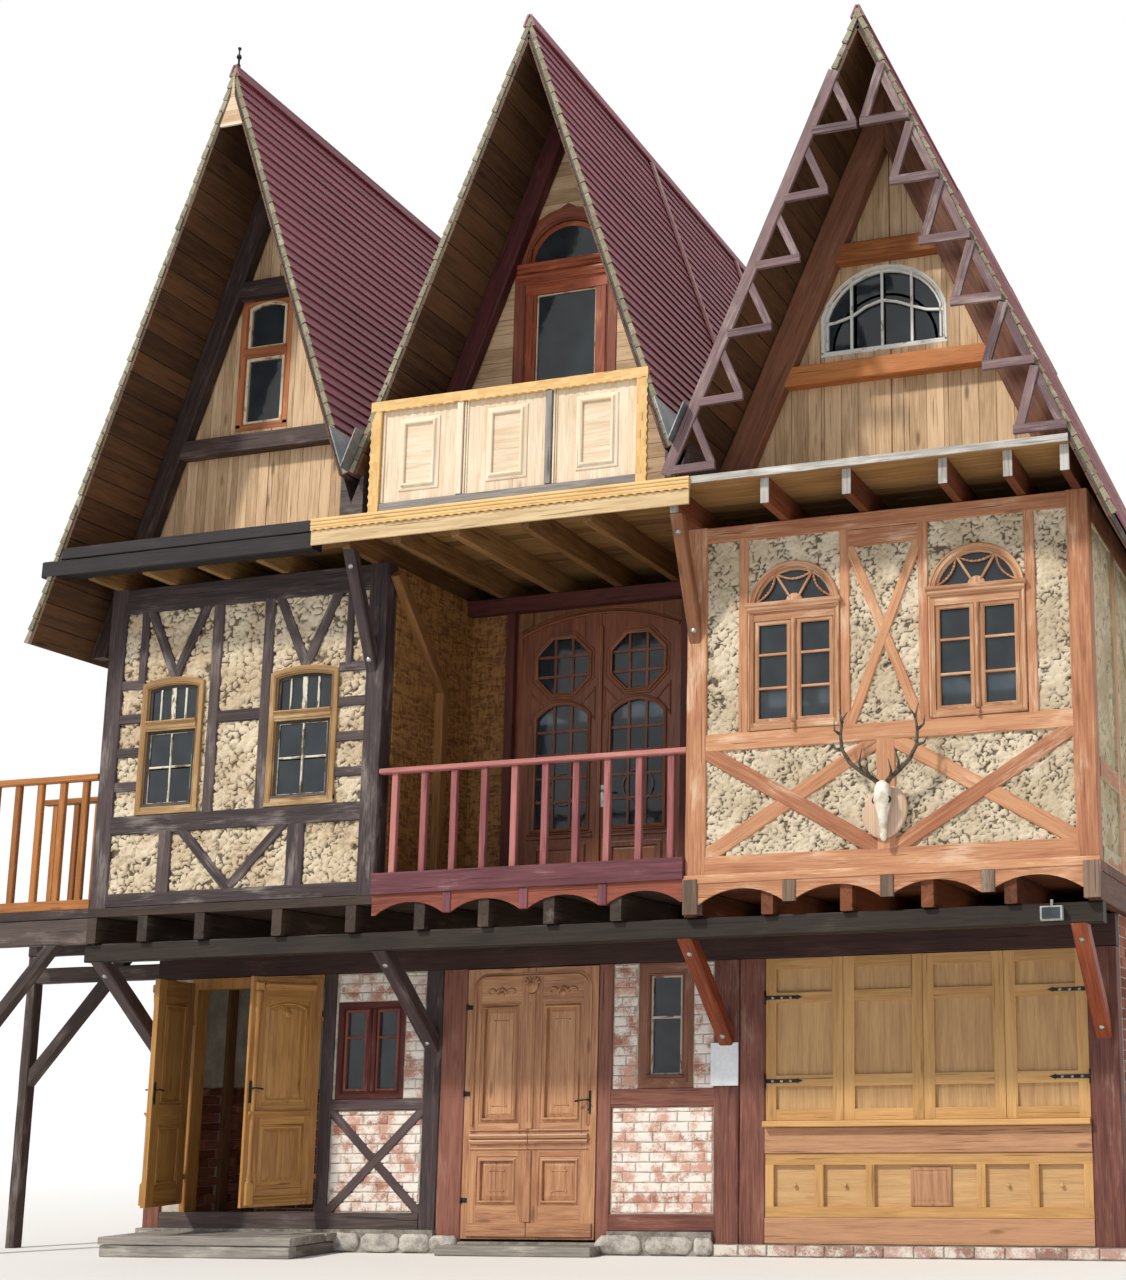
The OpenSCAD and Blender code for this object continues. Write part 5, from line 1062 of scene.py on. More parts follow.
def clad(name, slopes, instead_of):
    """A roof's lapped cover, the body under it, its planks seen from below and its front ends."""
    cover, core, soffit, verge = Pile(), Pile(), Pile(), Pile()
    for slope in slopes:
        length = slope_length(slope)
        rows = round(length / 0.118)
        show = length / rows
        lap = [(0, -0.019), (show + 0.02, -0.034), (show + 0.02, -0.019), (0.004, 0), (0, -0.004)]
        for row in range(rows):
            run = (row + 1) * show
            board = lap if row else [(u if u < show else show - 0.012, v) for u, v in lap]
            joint = rng.uniform(0.5, 5.2)
            front = VERGE_Y + rng.uniform(0.0, 0.012)
            for y0, y1 in ((front, joint), (joint + 0.004, REAR_Y - rng.uniform(0, 0.01))):
                along_slope(cover, slope, run, 0, board, y0, y1, step=0.45, wave=0.003)
            end = [(0.004, -0.05), (show * 0.97, -0.05), (show * 0.97, -0.012), (0.006, -0.002)]
            along_slope(verge, slope, run, 0, end if row else [(u * 0.8, v) for u, v in end],
                        front - 0.0005, front + 0.02, step=1.0)
        box = [(0, -0.070), (length - 0.14, -0.070), (length - 0.14, -0.034), (0, -0.034)]
        along_slope(core, slope, length, 0, box, VERGE_Y + 0.012, REAR_Y - 0.012, step=2.0)
        planks = round(length / 0.2)
        wide = length / planks
        plank = squared(wide - 0.005, 0.018, 0.003)
        for row in range(1, planks):
            along_slope(soffit, slope, (row + 0.5) * wide, ROOF_T, plank, VERGE_Y + 0.006, REAR_Y - 0.006,
                        outward=False, step=1.3, wave=0.002)
    for slope in slopes:
        cap = [(-0.128, 0.0), (0.0, 0.0), (-0.004, 0.017), (-0.124, 0.017), (-0.128, 0.013)]
        along_slope(cover, slope, 0, 0, cap, VERGE_Y, REAR_Y, step=0.5, wave=0.002)
    cover.make(name + "_cover", wine, "wine_boards", instead_of)
    core.make(name + "_core", dark["y"], "brown_boards")
    soffit.make(name + "_soffit", shaded_soffit_wood, "brown_boards")
    verge.make(name + "_verge", verge_wood, "wine_boards")


wine = wood("wine_boards", "9a525c", "763841", "b08c8e", wear=0.05, rough=0.5, gloss=0.4, tint=0.35)
# Painted shade: the soffit boards' colours are their wood darkened by the shade under the roofs.
shaded_soffit_wood = wood("soffit_boards_shaded", "6c4b31", "3e2a1c", knots=0.7, tint=0.5)
verge_wood = wood("verge_ends", "9a9478", "6d6750", "bcb79e", wear=0.3)
for name, slopes in SLOPES.items():
    clad(name, slopes, [name])

# %% [markdown]
# The gables are boarded between the trusses: upright boards in the left and
# right ones, level boards in the middle one. A board is the strip between two
# lines, cut off by the roof above it and left open where a window stands.

# %% Gable boards
def prism(pile, shape, y_back, y_front, tone=None, upright=True):
    """A shape in X and Z, counter-clockwise from the front, made thick along Y."""
    shape = np.asarray(shape, float)
    if y_front > y_back:
        shape = shape[::-1]
    rings = np.stack([np.column_stack([shape[:, 0], np.full(len(shape), y), shape[:, 1]])
                      for y in (y_back, y_front)])
    order = [2, 0, 1] if upright else [0, 2, 1]
    grain = rings[..., order] + rng.uniform(0, 40, 3)
    pile.add(rings, loft(rings), grain, rng.uniform(0.05, 0.95) if tone is None else tone)


def roof_height(slopes, x):
    """Height of the roof's inner face over x: the lower of its two slopes."""
    return min(rz - steep * side * (x - rx) - ROOF_T * math.hypot(1, steep)
               for rx, rz, steep, side, _ in slopes)


def upright_boards(pile, slopes, x0, x1, z0, window, y_back, y_front, pitch=0.112):
    """Strips of X, each from z0 to the roof or, at a window, in two parts round it."""
    marks = set(np.arange(x0, x1, pitch).round(4)) | {x1, slopes[0][0]}
    if window:
        marks |= {window[0], window[0] + window[2]}
    marks = sorted(marks)
    for left, right in zip(marks, marks[1:]):
        if right - left < 0.012:
            continue
        a, b = left + 0.002, right - 0.002
        top_a, top_b = roof_height(slopes, a), roof_height(slopes, b)
        if min(top_a, top_b) < z0 + 0.03:
            continue
        parts = [(z0, z0, top_a, top_b)]
        if window and window[0] - 0.001 < left and right < window[0] + window[2] + 0.001:
            wx, wz, wide, spring, rise = window
            crown = [wz + spring + rise * (1 - ((x - wx - wide / 2) / (wide / 2)) ** 2) for x in (a, b)]
            parts = [(z0, z0, wz, wz), (*crown, top_a, top_b)]
        for low_a, low_b, high_a, high_b in parts:
            prism(pile, [(a, low_a), (b, low_b), (b, high_b), (a, high_a)], y_back, y_front)


def level_boards(pile, slopes, z0, z1, window, y_back, y_front, pitch=0.135):
    """Strips of Z from slope to slope, in two parts where a window stands between."""
    def side_x(z, side):
        return slope_x(slopes[0 if side < 0 else 1], z, ROOF_T)

    def window_x(z, side):
        wx, wz, wide, spring, rise = window
        share = min(1, max(0, (z - wz - spring) / rise))
        return wx + wide / 2 + side * wide / 2 * math.sqrt(1 - share)

    for low in np.arange(z0, z1, pitch):
        a, b = low + 0.002, min(low + pitch, z1) - 0.002
        if a < window[1] + window[3] + window[4]:
            prism(pile, [(side_x(a, -1), a), (window_x(a, -1), a), (window_x(b, -1), b),
                         (side_x(b, -1), b)], y_back, y_front, upright=False)
            prism(pile, [(window_x(a, 1), a), (side_x(a, 1), a), (side_x(b, 1), b),
                         (window_x(b, 1), b)], y_back, y_front, upright=False)
        else:
            prism(pile, [(side_x(a, -1), a), (side_x(a, 1), a), (side_x(b, 1), b),
                         (side_x(b, -1), b)], y_back, y_front, upright=False)


GABLE_Y, ATTIC_Z = -0.65, 6.22
GABLE_WINDOWS = {
    "left": (0.956, ATTIC_Z + 1.285, 0.564, 1.30, 0.066),
    "middle": (3.86, ATTIC_Z, 1.03, 2.56, 0.5),
    "right": (6.81, ATTIC_Z + 1.265, 1.12, 0.365, 0.416),
}
gable_wood = wood("gable_boards", "e2c19a", "a58460", knots=0.8, tint=0.45)
boards = Pile()
upright_boards(boards, SLOPES["left_roof"], -0.10, 2.65, ATTIC_Z, GABLE_WINDOWS["left"], GABLE_Y + 0.02,
               GABLE_Y - 0.006)
boards.make("left_gable_boards", gable_wood, "brown_boards")
boards = Pile()
level_boards(boards, SLOPES["middle_roof"], ATTIC_Z, 10.35, GABLE_WINDOWS["middle"], GABLE_Y + 0.02,
             GABLE_Y - 0.006)
boards.make("middle_gable_boards", gable_wood, "brown_boards")
boards = Pile()
upright_boards(boards, SLOPES["right_roof"], 5.94, 9.06, ATTIC_Z, GABLE_WINDOWS["right"], GABLE_Y + 0.02,
               GABLE_Y - 0.006, 0.15)
boards.make("right_gable_boards", gable_wood, "brown_boards")
boards = Pile()
for name, x0, x1 in (("left_roof", -0.10, 2.66), ("middle_roof", 2.9, 5.71), ("right_roof", 5.94, 9.06)):
    upright_boards(boards, SLOPES[name], x0, x1, ATTIC_Z, None, 5.98, 6.008, 0.16)
boards.make("rear_gable_boards", gable_wood, "brown_boards")

# %% [markdown]
# A truss stands before each gable: two rafters that meet under the ridge and,
# left and right, two collars between them. Rafters are cut plumb at the ridge
# and level at the foot, and the collars run on behind them.

# %% Trusses
TRUSS_Y, TRUSS_T = -0.78, 0.125


def rafters(pile, slopes, wide):
    """Both rafters of a truss, each along its slope, under the roof's planks."""
    for rx, rz, steep, side, _ in slopes:
        middle = (ROOF_T + 0.001 + wide / 2) * math.hypot(1, steep)
        top = (rx, TRUSS_Y, rz - middle)
        low = (rx + side * (rz - middle - ATTIC_Z) / steep, TRUSS_Y, ATTIC_Z)
        sweep(pile, squared(wide, TRUSS_T, 0.012), low, top, TO_STREET, wave=0.006,
              cuts=(UP, (1, 0, 0)))


def collar(pile, slopes, z0, z1, inside):
    """A level timber between the rafters, whose ends lie behind them."""
    reach = sorted(slope_x(slope, z1, ROOF_T + inside) for slope in slopes)
    beam(pile, *reach, z0, z1, TRUSS_Y, TRUSS_T, 0.006)


truss = Pile()
rafters(truss, SLOPES["left_roof"], 0.19)
for z in (7.26, 8.805):
    collar(truss, SLOPES["left_roof"], z, z + 0.175, 0.05)
tail = [(slope_x(SLOPES["left_roof"][0], z, ROOF_T + 0.001 + 0.075), TRUSS_Y, z) for z in (5.39, 6.16)]
sweep(truss, squared(0.15, TRUSS_T, 0.01), *tail, TO_STREET, wave=0.004, cuts=(UP, UP))
truss_dark = wood("truss_dark", "54423d", "2b1f1d", "7d6e66", wear=0.25)
truss.make("left_truss_timbers", truss_dark, "dark_timber", ["left_truss"])
truss = Pile()
rafters(truss, SLOPES["middle_roof"], 0.18)
truss_maroon = wood("truss_maroon", "6b3331", "3f1a1b", "8a5a50", wear=0.1)
truss.make("middle_truss_timbers", truss_maroon, "maroon_paint", ["middle_truss"])
truss, collars = Pile(), Pile()
rafters(truss, SLOPES["right_roof"], 0.27)
for z in (7.21, 8.28):
    collar(collars, SLOPES["right_roof"], z, z + 0.175, 0.05)
truss_brown = wood("truss_brown", "8f5f47", "5a3526", "a67c60", wear=0.15)
truss.make("right_truss_timbers", truss_brown, "orange_timber", ["right_truss"])
collar_orange = wood("collar_orange", "c27c46", "83491f", "d8a274", wear=0.1)
collars.make("right_truss_collars", collar_orange, "orange_timber")

# %% [markdown]
# Bricks and stones are hundreds of small blocks, so one small block with worn
# edges is worked out once and set in every place at once by array sums. Each
# has its own size, tone and slightly moved corners.

# %% Bricks and stones
def blocks(pile, centres, sizes, across, out, worn=0.007, loose=0.002):
    """Blocks on a wall: a foot ring, a shoulder ring and a smaller top ring of four points."""
    centres, sizes = np.asarray(centres, float), np.asarray(sizes, float)
    across, out, up = np.asarray(across, float), np.asarray(out, float), np.array([0.0, 0, 1])
    square = np.array([(-0.5, -0.5), (0.5, -0.5), (0.5, 0.5), (-0.5, 0.5)])
    points = np.empty((len(centres), 3, 4, 3))
    for k, (shrink, lift) in enumerate(((0, 0), (0, 0.55), (worn, 1))):
        moved = rng.normal(0, loose, (len(centres), 4, 2)) * (k > 0)
        flat = square * (sizes[:, None, :2] - 2 * shrink) + moved
        rise = sizes[:, None, 2:] * lift * rng.uniform(0.75, 1.0, (len(centres), 4, 1))
        points[:, k] = centres[:, None] + flat[..., :1] * across + flat[..., 1:] * up + rise * out
    index = np.arange(12).reshape(3, 4)
    sides = [np.stack([index[k], np.roll(index[k], -1), np.roll(index[k + 1], -1), index[k + 1]], -1)
             for k in (0, 1)]
    quads = np.concatenate(sides + [index[0][None, ::-1], index[2][None]])
    faces = (quads[None] + 12 * np.arange(len(centres))[:, None, None]).reshape(-1, 4)
    pile.add(points, [faces], tone=np.repeat(rng.random(len(centres)), 12))


def bond(u0, u1, z0, z1, holes=(), long=0.25, course=0.083, joint=0.011):
    """Places (along, height) and sizes of a running bond, cut at the ends and round holes."""
    places, sizes = [], []
    for row, z in enumerate(np.arange(z0, z1 - 0.03, course)):
        top = min(z + course, z1)
        start = u0 - (row % 2) * long / 2 - rng.uniform(0, 0.06)
        for left in np.arange(start, u1, long):
            a, b = max(left, u0), min(left + long, u1)
            for h0, h1, low, high in holes:
                if z + course * 0.5 > low and z + course * 0.5 < high:
                    if a < h1 and b > h0:
                        a, b = (a, h0) if a < h0 else (h1, max(b, h1))
            if b - a > 0.045:
                places.append(((a + b) / 2, (z + top) / 2))
                sizes.append((b - a - joint, top - z - joint))
    return np.array(places).reshape(-1, 2), np.array(sizes).reshape(-1, 2)


def wall_bricks(pile, u0, u1, z0, z1, out, place, holes=(), thick=0.009, **settings):
    """A bond on the upright plane at that place of Y or X, its bricks facing out."""
    places, sizes = bond(u0, u1, z0, z1, holes, **settings)
    across = np.cross(UP, out)
    where = places[:, :1] * np.abs(across) + place * np.abs(out) + places[:, 1:] * np.array(UP)
    blocks(pile, where, np.column_stack([sizes, np.full(len(places), thick)]), across, out)


TO_LEFT, TO_RIGHT, TO_REAR = (-1, 0, 0), (1, 0, 0), (0, 1, 0)
BRICK_Y = 0.025
pink = brick_finish("washed_brick", "d3a390", "a9705d", "ece4da", 0.24)
deep_red = brick_finish("side_brick", "a86a55", "74402f", "c9b7a4", 0.0)
bricks = Pile()
wall_bricks(bricks, 1.93, 2.83, 0.34, 1.21, TO_STREET, BRICK_Y)
wall_bricks(bricks, 4.67, 5.59, 0.34, 1.21, TO_STREET, BRICK_Y)
for u0, u1, z0, z1 in ((1.916, 1.941, 1.313, 2.43), (2.631, 2.84, 1.313, 2.43), (1.941, 2.631, 2.173, 2.43),
                       (4.66, 4.897, 1.313, 2.43), (5.407, 5.60, 1.313, 2.43)):
    wall_bricks(bricks, u0 + 0.004, u1 - 0.004, z0 + 0.004, z1 - 0.004, TO_STREET, BRICK_Y)
bricks.make("front_bricks", pink, "brick")
REAR_HOLES = [(HOUSE_W * (i + 0.5) / 4 - 0.36, HOUSE_W * (i + 0.5) / 4 + 0.36, 1.28, 2.2) for i in range(4)]
bricks = Pile()
wall_bricks(bricks, 0.17, 5.995, 0.20, 2.69, TO_LEFT, 0.0)
wall_bricks(bricks, 0.17, 5.995, 0.20, 2.69, TO_RIGHT, 9.06)
wall_bricks(bricks, 0.0, 9.06, 0.20, 2.69, TO_REAR, HOUSE_D, REAR_HOLES)
bricks.make("side_bricks", deep_red, "brick")

# %% [markdown]
# The ground floor's frame is a row of hewn posts and rails with whitewashed
# bricks between them. The left part is painted a dark brown, the middle a
# dull red. Under it the wall stands on rubble stones, and on bricks at the stall.

# %% Ground floor timbers
SILL_TOP, PLATE_Z, RAIL_Z = 0.333, 2.43, 1.213
hewn = {"wave": 0.006}
frame_dark = wood("frame_dark", "5d4d4c", "332829", "8a7d78", wear=0.2)
frame_red = wood("frame_red", "93604f", "552f2a", "a3857a", wear=0.2, cracks=0.9)
timbers = Pile()
beam(timbers, 1.79, 1.916, SILL_TOP, PLATE_Z, 0, WALL)
beam(timbers, 2.84, 3.01, 0.193, PLATE_Z, 0, WALL, **hewn)
beam(timbers, 1.90, 2.85, RAIL_Z, RAIL_Z + 0.1, 0, WALL, 0.003)
crossed(timbers, 1.916, 2.84, SILL_TOP, RAIL_Z, 0.085, 0.002, WALL)
timbers.make("left_ground_timbers", frame_dark, "dark_timber", ["ground_frame_left"])
timbers = Pile()
beam(timbers, 4.53, 4.66, 0.098, PLATE_Z, 0, WALL, **hewn)
beam(timbers, 4.65, 5.61, 0.193, SILL_TOP, 0, WALL, 0.004)
beam(timbers, 4.65, 5.61, RAIL_Z, RAIL_Z + 0.155, 0, WALL, 0.004)
beam(timbers, 5.60, 5.829, 0.098, PLATE_Z, 0, WALL, **hewn)
beam(timbers, 5.831, 6.06, 0.098, PLATE_Z, 0, WALL, 0.004, **hewn)
timbers.make("middle_ground_timbers", frame_red, "red_timber", ["ground_frame_middle"])
timbers = Pile()
beam(timbers, 0.0, 0.18, 0.193, PLATE_Z, 0, WALL, **hewn)
beam(timbers, 3.012, 3.254, 0.098, PLATE_Z, -0.002, WALL, **hewn)
beam(timbers, 8.812, 9.06, 0.098, PLATE_Z, -0.002, WALL, **hewn)
timbers.make("ground_posts_hewn", frame_red, "red_timber", ["ground_posts"])
plate_wood = wood("plate_wood", "4b302a", "2a1a18", "6d5146", wear=0.15)
timbers = Pile()
beam(timbers, 0.0, 9.06, PLATE_Z, 2.70, 0, WALL, wave=0.008)
timbers.make("front_plate_hewn", plate_wood, "red_timber", ["front_plate"])

# %% [markdown]
# Each footing stone is a low dome with a ragged outline, a little less wide or
# tall than the room it has.

# %% Rubble footing
def rubble(pile, x0, x1, height, y=-0.035):
    """Domes on a wall: rings of fourteen points round a centre, each ring smaller and further out,
    each point at its own share of the stone's width and height."""
    x = x0
    while x < x1 - 0.06:
        wide = min(rng.uniform(0.30, 0.52), x1 - x)
        tall = height * rng.uniform(0.80, 1.0)
        turn = np.linspace(0, 2 * np.pi, 14, endpoint=False)
        ragged = rng.uniform(0.86, 1.0, 14)
        square = 1 / np.maximum(np.abs(np.cos(turn)), np.abs(np.sin(turn))) ** 0.85
        rings = []
        for share, lift in ((1, -0.01), (1, 0.010), (0.93, 0.024), (0.62, 0.031), (0.12, 0.034)):
            reach = ragged * square * share
            bump = lift + rng.normal(0, 0.003, 14)
            across = x + wide / 2 + reach * np.cos(turn) * wide * 0.5
            up = tall / 2 + 0.002 + reach * np.sin(turn) * (tall / 2 - 0.002) * 0.98
            rings.append(np.column_stack([across, y - bump, up]))
        rings = np.array(rings)
        rings[..., 2] = np.maximum(rings[..., 2], 0.001)
        pile.add(rings, loft(rings), tone=rng.random(), smooth=True)
        x += wide * rng.uniform(0.92, 1.0)


stones = Pile()
for x0, x1, height in ((0.0, 0.16, 0.19), (1.92, 3.26, 0.188), (4.55, 5.62, 0.188)):
    rubble(stones, x0, x1, height)
field_stone = rough_finish("field_stone", "c9c2b8", "827a72", 8.0, depth=0.010)
stones.make("footing_stones", field_stone, "stone")


# %% [markdown]
# The doors are carved pine. Each is a thin core with stiles and rails laid on
# it, mouldings round the panels and raised fields inside them. A leaf is made
# as if shut, with its hinge at zero, and then swung about it like a real one.

# %% Entrance leaves
def board(pile, x0, x1, z0, z1, y, thick, chamfer=0.002, **settings):
    """A flat board whose face is at y, its grain along the longer side."""
    upright = z1 - z0 > x1 - x0
    raised(pile, (x0, x1, z0, z1), y + thick, [(0, 0), (0, thick - chamfer), (chamfer, thick)],
           grain_up=upright, **settings)


def door_panel(pile, x0, x1, z0, z1, y, rise=0.0, mould=0.034, proud=0.014):
    """A moulding round the panel, then a field that slopes up to a flat middle."""
    flat = outline(x0, x1, z0, z1, rise, mould / 2)
    trim(pile, flat, mirrored(ogee(mould, proud)), y, True)
    raised(pile, (x0, x1, z0, z1, rise), y, [(mould, -0.006), (mould, 0.0), (mould + 0.006, 0.001),
                                             (mould + 0.040, 0.010), (mould + 0.043, 0.010)])


def scroll(pile, centre, lean, away, size, fall, turns, count, thick, squash):
    """A spiral rod away from the centre, its radius shrinking by fall for each radian."""
    x, y, z = centre
    turn = np.linspace(0, turns, count)
    reach = size - fall * turn
    path = np.column_stack([x + lean * (away - reach * np.cos(turn)), np.full(count, y),
                            z + reach * np.sin(turn) * squash])
    rod(pile, path, np.linspace(thick, 0.004, count), 6)


def hinge_part(pile, x, y, z, x0, x1, strap_y):
    """A leaf's half of a hinge: the knuckle, and the strap that holds it."""
    turned(pile, (x, y, z + 0.0003), UP, [0.009, 0.009, 0.006, 0.003], [0, 0.045, 0.050, 0.053], 10)
    board(pile, x0, x1, z + 0.002, z + 0.043, strap_y, 0.006)


LEAF_Z, LEAF_H, LEAF_HALF = 0.41, 1.98, 0.0225


def leaf_face(pile, wide, side, rich):
    """One face of a leaf that runs from its hinge to wide, to the right or left of it."""
    def span(a, b):
        return sorted((side * a, side * b))

    face, core = -LEAF_HALF, 0.012
    foot, low_top, high, head = LEAF_Z + 0.18, LEAF_Z + 0.70, LEAF_Z + 0.88, LEAF_Z + 1.78
    for a, b in ((0.015, 0.135), (wide - 0.135, wide)):
        board(pile, *span(a, b), LEAF_Z, LEAF_Z + LEAF_H, face, core)
    for z0, z1 in ((LEAF_Z, foot), (low_top, high), (head, LEAF_Z + LEAF_H)):
        board(pile, *span(0.134, wide - 0.134), z0, z1, face + 0.0006, core)
    inner = span(0.138, wide - 0.138)
    door_panel(pile, *inner, foot, low_top, face + core)
    door_panel(pile, *inner, high, head - (0.06 if rich else 0), face + core, 0.055 if rich else 0.0)
    if not rich:
        return
    x = side * (wide - 0.062)
    turned(pile, (x, face + 0.004, LEAF_Z), UP,
           [0.036, 0.036, 0.026, 0.034, 0.024, 0.030, 0.024, 0.025, 0.033, 0.025, 0.034, 0.036, 0.036],
           [0.20, 0.215, 0.225, 0.245, 0.265, 0.285, 0.30, 1.66, 1.69, 1.71, 1.78, 1.83, 1.86], 12)
    board(pile, *span(wide - 0.098, wide - 0.026), LEAF_Z + 0.02, LEAF_Z + 0.205, face - 0.033, 0.034, 0.006)
    board(pile, *span(wide - 0.100, wide - 0.024), LEAF_Z + 1.86, LEAF_Z + 1.93, face - 0.033, 0.034, 0.008)
    shelf = [(0, -0.002), (0.054, -0.002), (0.054, 0.030), (0.044, 0.034), (0.032, 0.024), (0.020, 0.014),
             (0.006, 0.011), (0, 0.004)]
    for z, a, b in ((LEAF_Z + 0.76, 0.085, wide - 0.02), (LEAF_Z + 0.03, 0.085, wide - 0.10),
                    (LEAF_Z + 1.87, 0.085, wide - 0.11)):
        x0, x1 = span(a, b)
        sweep(pile, shelf, (x0, face, z), (x1, face, z), TO_STREET)
    middle = side * wide / 2
    turned(pile, (middle, face + core, head - 0.115), TO_STREET, [0.045, 0.045, 0.034, 0.012, 0.016, 0.0005],
           [0, 0.012, 0.015, 0.013, 0.020, 0.022], 16, 0.8)
    for lean in (-1, 1):
        scroll(pile, (middle, face + core - 0.006, head - 0.075), lean, 0.095, 0.052, 0.009, 4.2, 16,
               0.009, 0.7)


def leaf_iron(pile, wide, side):
    """Lock plate, lever and keyhole cover, on the outer face."""
    x, face = side * (wide - 0.030), -LEAF_HALF
    raised(pile, (x - 0.015, x + 0.015, LEAF_Z + 0.885, LEAF_Z + 1.075), face,
           [(0, -0.002), (0, 0.004), (0.003, 0.007)])
    lever = [(x, face, LEAF_Z + 1.01), (x, face - 0.034, LEAF_Z + 1.01),
             (x - side * 0.03, face - 0.036, LEAF_Z + 1.012), (x - side * 0.10, face - 0.036, LEAF_Z + 1.003)]
    rod(pile, lever, [0.007, 0.007, 0.006, 0.008])
    turned(pile, (x, face - 0.003, LEAF_Z + 0.935), TO_STREET, [0.009, 0.009, 0.006, 0.0005],
           [0, 0.005, 0.006, 0.0065], 10)


HINGE_Z = (LEAF_Z + 0.26, LEAF_Z + LEAF_H - 0.34)
LEAVES = {"left": (0.6975, 1, (0.42, -0.0275), -78), "right": (0.6825, -1, (1.805, -0.0275), 62)}
leaf_pine = wood("leaf_pine", "c2914f", "8d5c2b", knots=0.6, rough=0.42, gloss=0.45, tint=0.4)
for name, (wide, side, hinge, degrees) in LEAVES.items():
    leaf, fittings = Pile(), Pile()
    leaf_face(leaf, wide, -side, False)
    leaf_iron(fittings, wide, -side)
    leaf.swing((0, 0), 180)
    fittings.swing((0, 0), 180)
    x0, x1 = sorted((side * 0.0155, side * (wide - 0.0005)))
    board(leaf, x0, x1, LEAF_Z + 0.0005, LEAF_Z + LEAF_H - 0.0005, -0.012, 0.024)
    leaf_face(leaf, wide, side, True)
    leaf_iron(fittings, wide, side)
    for z in HINGE_Z:
        hinge_part(fittings, 0, 0, z, *sorted((0, side * 0.05)), -0.003)
    leaf.swing(hinge, degrees)
    fittings.swing(hinge, degrees)
    leaf.make(f"entrance_{name}_leaf", leaf_pine, "honey_wood", [f"entrance_leaf_{name}"], f"{name}_leaf")
    fittings.make(f"entrance_{name}_fittings", iron, "sheet_metal", body=f"{name}_leaf")

# %% [markdown]
# Two plain boards, a jamb and a head, frame the entrance.

# %% Entrance frame
timbers = Pile()
beam(timbers, 0.39, 0.45, SILL_TOP, PLATE_Z, 0, WALL)
beam(timbers, 0.44, 1.79, 2.332, PLATE_Z, 0, WALL, 0.003)
timbers.make("entrance_frame_boards", honey["z"], "honey_wood")

# %% [markdown]
# The middle door is one wide leaf, carved to look like a pair: two tall panels
# inside a moulded border with round corners, leaf scrolls above them, a double
# rail across the middle and two square panels below.

# %% Middle door
DOOR = (3.26, 4.525, 0.12, 2.425)
PANELS = ((3.40, 3.79), (3.995, 4.385))
LOW, LOW_TOP, HIGH, HEAD = 0.40, 0.81, 1.09, 2.12
MID_X = 3.8925
FACE, BED = -0.001, 0.014
door, fittings = Pile(), Pile()
board(door, DOOR[0] + 0.0005, DOOR[1] - 0.0005, DOOR[2] + 0.0005, DOOR[3] - 0.0005, BED, 0.031)
for x0, x1 in ((DOOR[0], PANELS[0][0]), (PANELS[0][1], PANELS[1][0]), (PANELS[1][1], DOOR[1])):
    board(door, x0, x1, DOOR[2], DOOR[3], FACE, BED)
for x0, x1 in PANELS:
    for z0, z1 in ((DOOR[2], LOW), (LOW_TOP, HIGH)):
        board(door, x0 - 0.001, x1 + 0.001, z0, z1, FACE + 0.0006, BED)
    board(door, x0 - 0.001, x1 + 0.001, HEAD, DOOR[3], FACE + 0.0006, BED)
    door_panel(door, x0, x1, LOW, LOW_TOP, BED, 0.0, 0.040, 0.026)
    door_panel(door, x0, x1, HIGH, HEAD, BED, 0.0, 0.046, 0.034)
    trim(door, outline(x0, x1, HIGH, HEAD, 0, 0.078), bead(0.010, 0.006), BED - 0.004, True)
    middle = (x0 + x1) / 2
    for z0, z1 in ((LOW + 0.12, LOW_TOP - 0.12), (HIGH + 0.15, HEAD - 0.15)):
        for z in (z0, z1):
            trim(door, [(middle - 0.06, z), (middle + 0.06, z)], bead(0.010, 0.006), BED - 0.009)
        for reach in (-0.05, 0.05):
            x = middle + reach
            trim(door, [(x, z0 - 0.01), (x, z1 + 0.01)], bead(0.006, 0.004), BED - 0.009)
            for z in (z0, z1):
                turned(door, (middle + reach * 1.3, BED - 0.010, z), TO_STREET, [0.009, 0.008, 0.0005],
                       [0, 0.005, 0.007], 8)
    for lean in (-1, 1):
        scroll(door, (middle, FACE - 0.004, 2.215), lean, 0.105, 0.050, 0.008, 5.0, 20, 0.011, 0.8)
        leaf_line = [(middle + lean * 0.05, FACE - 0.003, 2.20), (middle + lean * 0.03, FACE - 0.008, 2.235),
                     (middle, FACE - 0.008, 2.262)]
        rod(door, leaf_line, [0.016, 0.012, 0.003], 6)
    turned(door, (middle, FACE + 0.002, 2.20), TO_STREET, [0.030, 0.028, 0.016, 0.014, 0.0005],
           [0, 0.010, 0.013, 0.018, 0.020], 14)
corner = np.linspace(0, np.pi / 2, 7)
left_turn = np.column_stack([3.335 + 0.13 * (1 - np.cos(corner)), 2.235 + 0.13 * np.sin(corner)])
right_turn = left_turn[::-1] * (-1, 1) + (2 * MID_X, 0)
border = np.vstack([[(3.335, 1.075)], left_turn, right_turn, [(2 * MID_X - 3.335, 1.075)]])
trim(door, border, ogee(0.036, 0.020), FACE)
for z0, z1, lift in ((0.915, 0.950, 0.024), (0.958, 0.998, 0.030), (1.020, 1.036, 0.014),
                     (0.865, 0.880, 0.012)):
    tall = z1 - z0
    rail = [(0, 0), (tall, 0), (tall, lift * 0.8), (tall * 0.7, lift), (0.004, lift * 0.7)]
    for x0, x1 in ((3.33, MID_X - 0.004), (MID_X + 0.004, 4.455)):
        sweep(door, rail, (x0, FACE, z0), (x1, FACE, z0), TO_STREET)
board(door, 3.32, MID_X - 0.002, 0.14, 0.255, FACE - 0.016, 0.016, 0.005)
board(door, MID_X + 0.002, 4.505, 0.14, 0.255, FACE - 0.016, 0.016, 0.005)
board(door, MID_X - 0.034, MID_X + 0.034, 0.26, 0.86, FACE - 0.014, 0.015, 0.006)
board(door, MID_X - 0.034, MID_X + 0.034, 1.04, 2.20, FACE - 0.014, 0.015, 0.006)
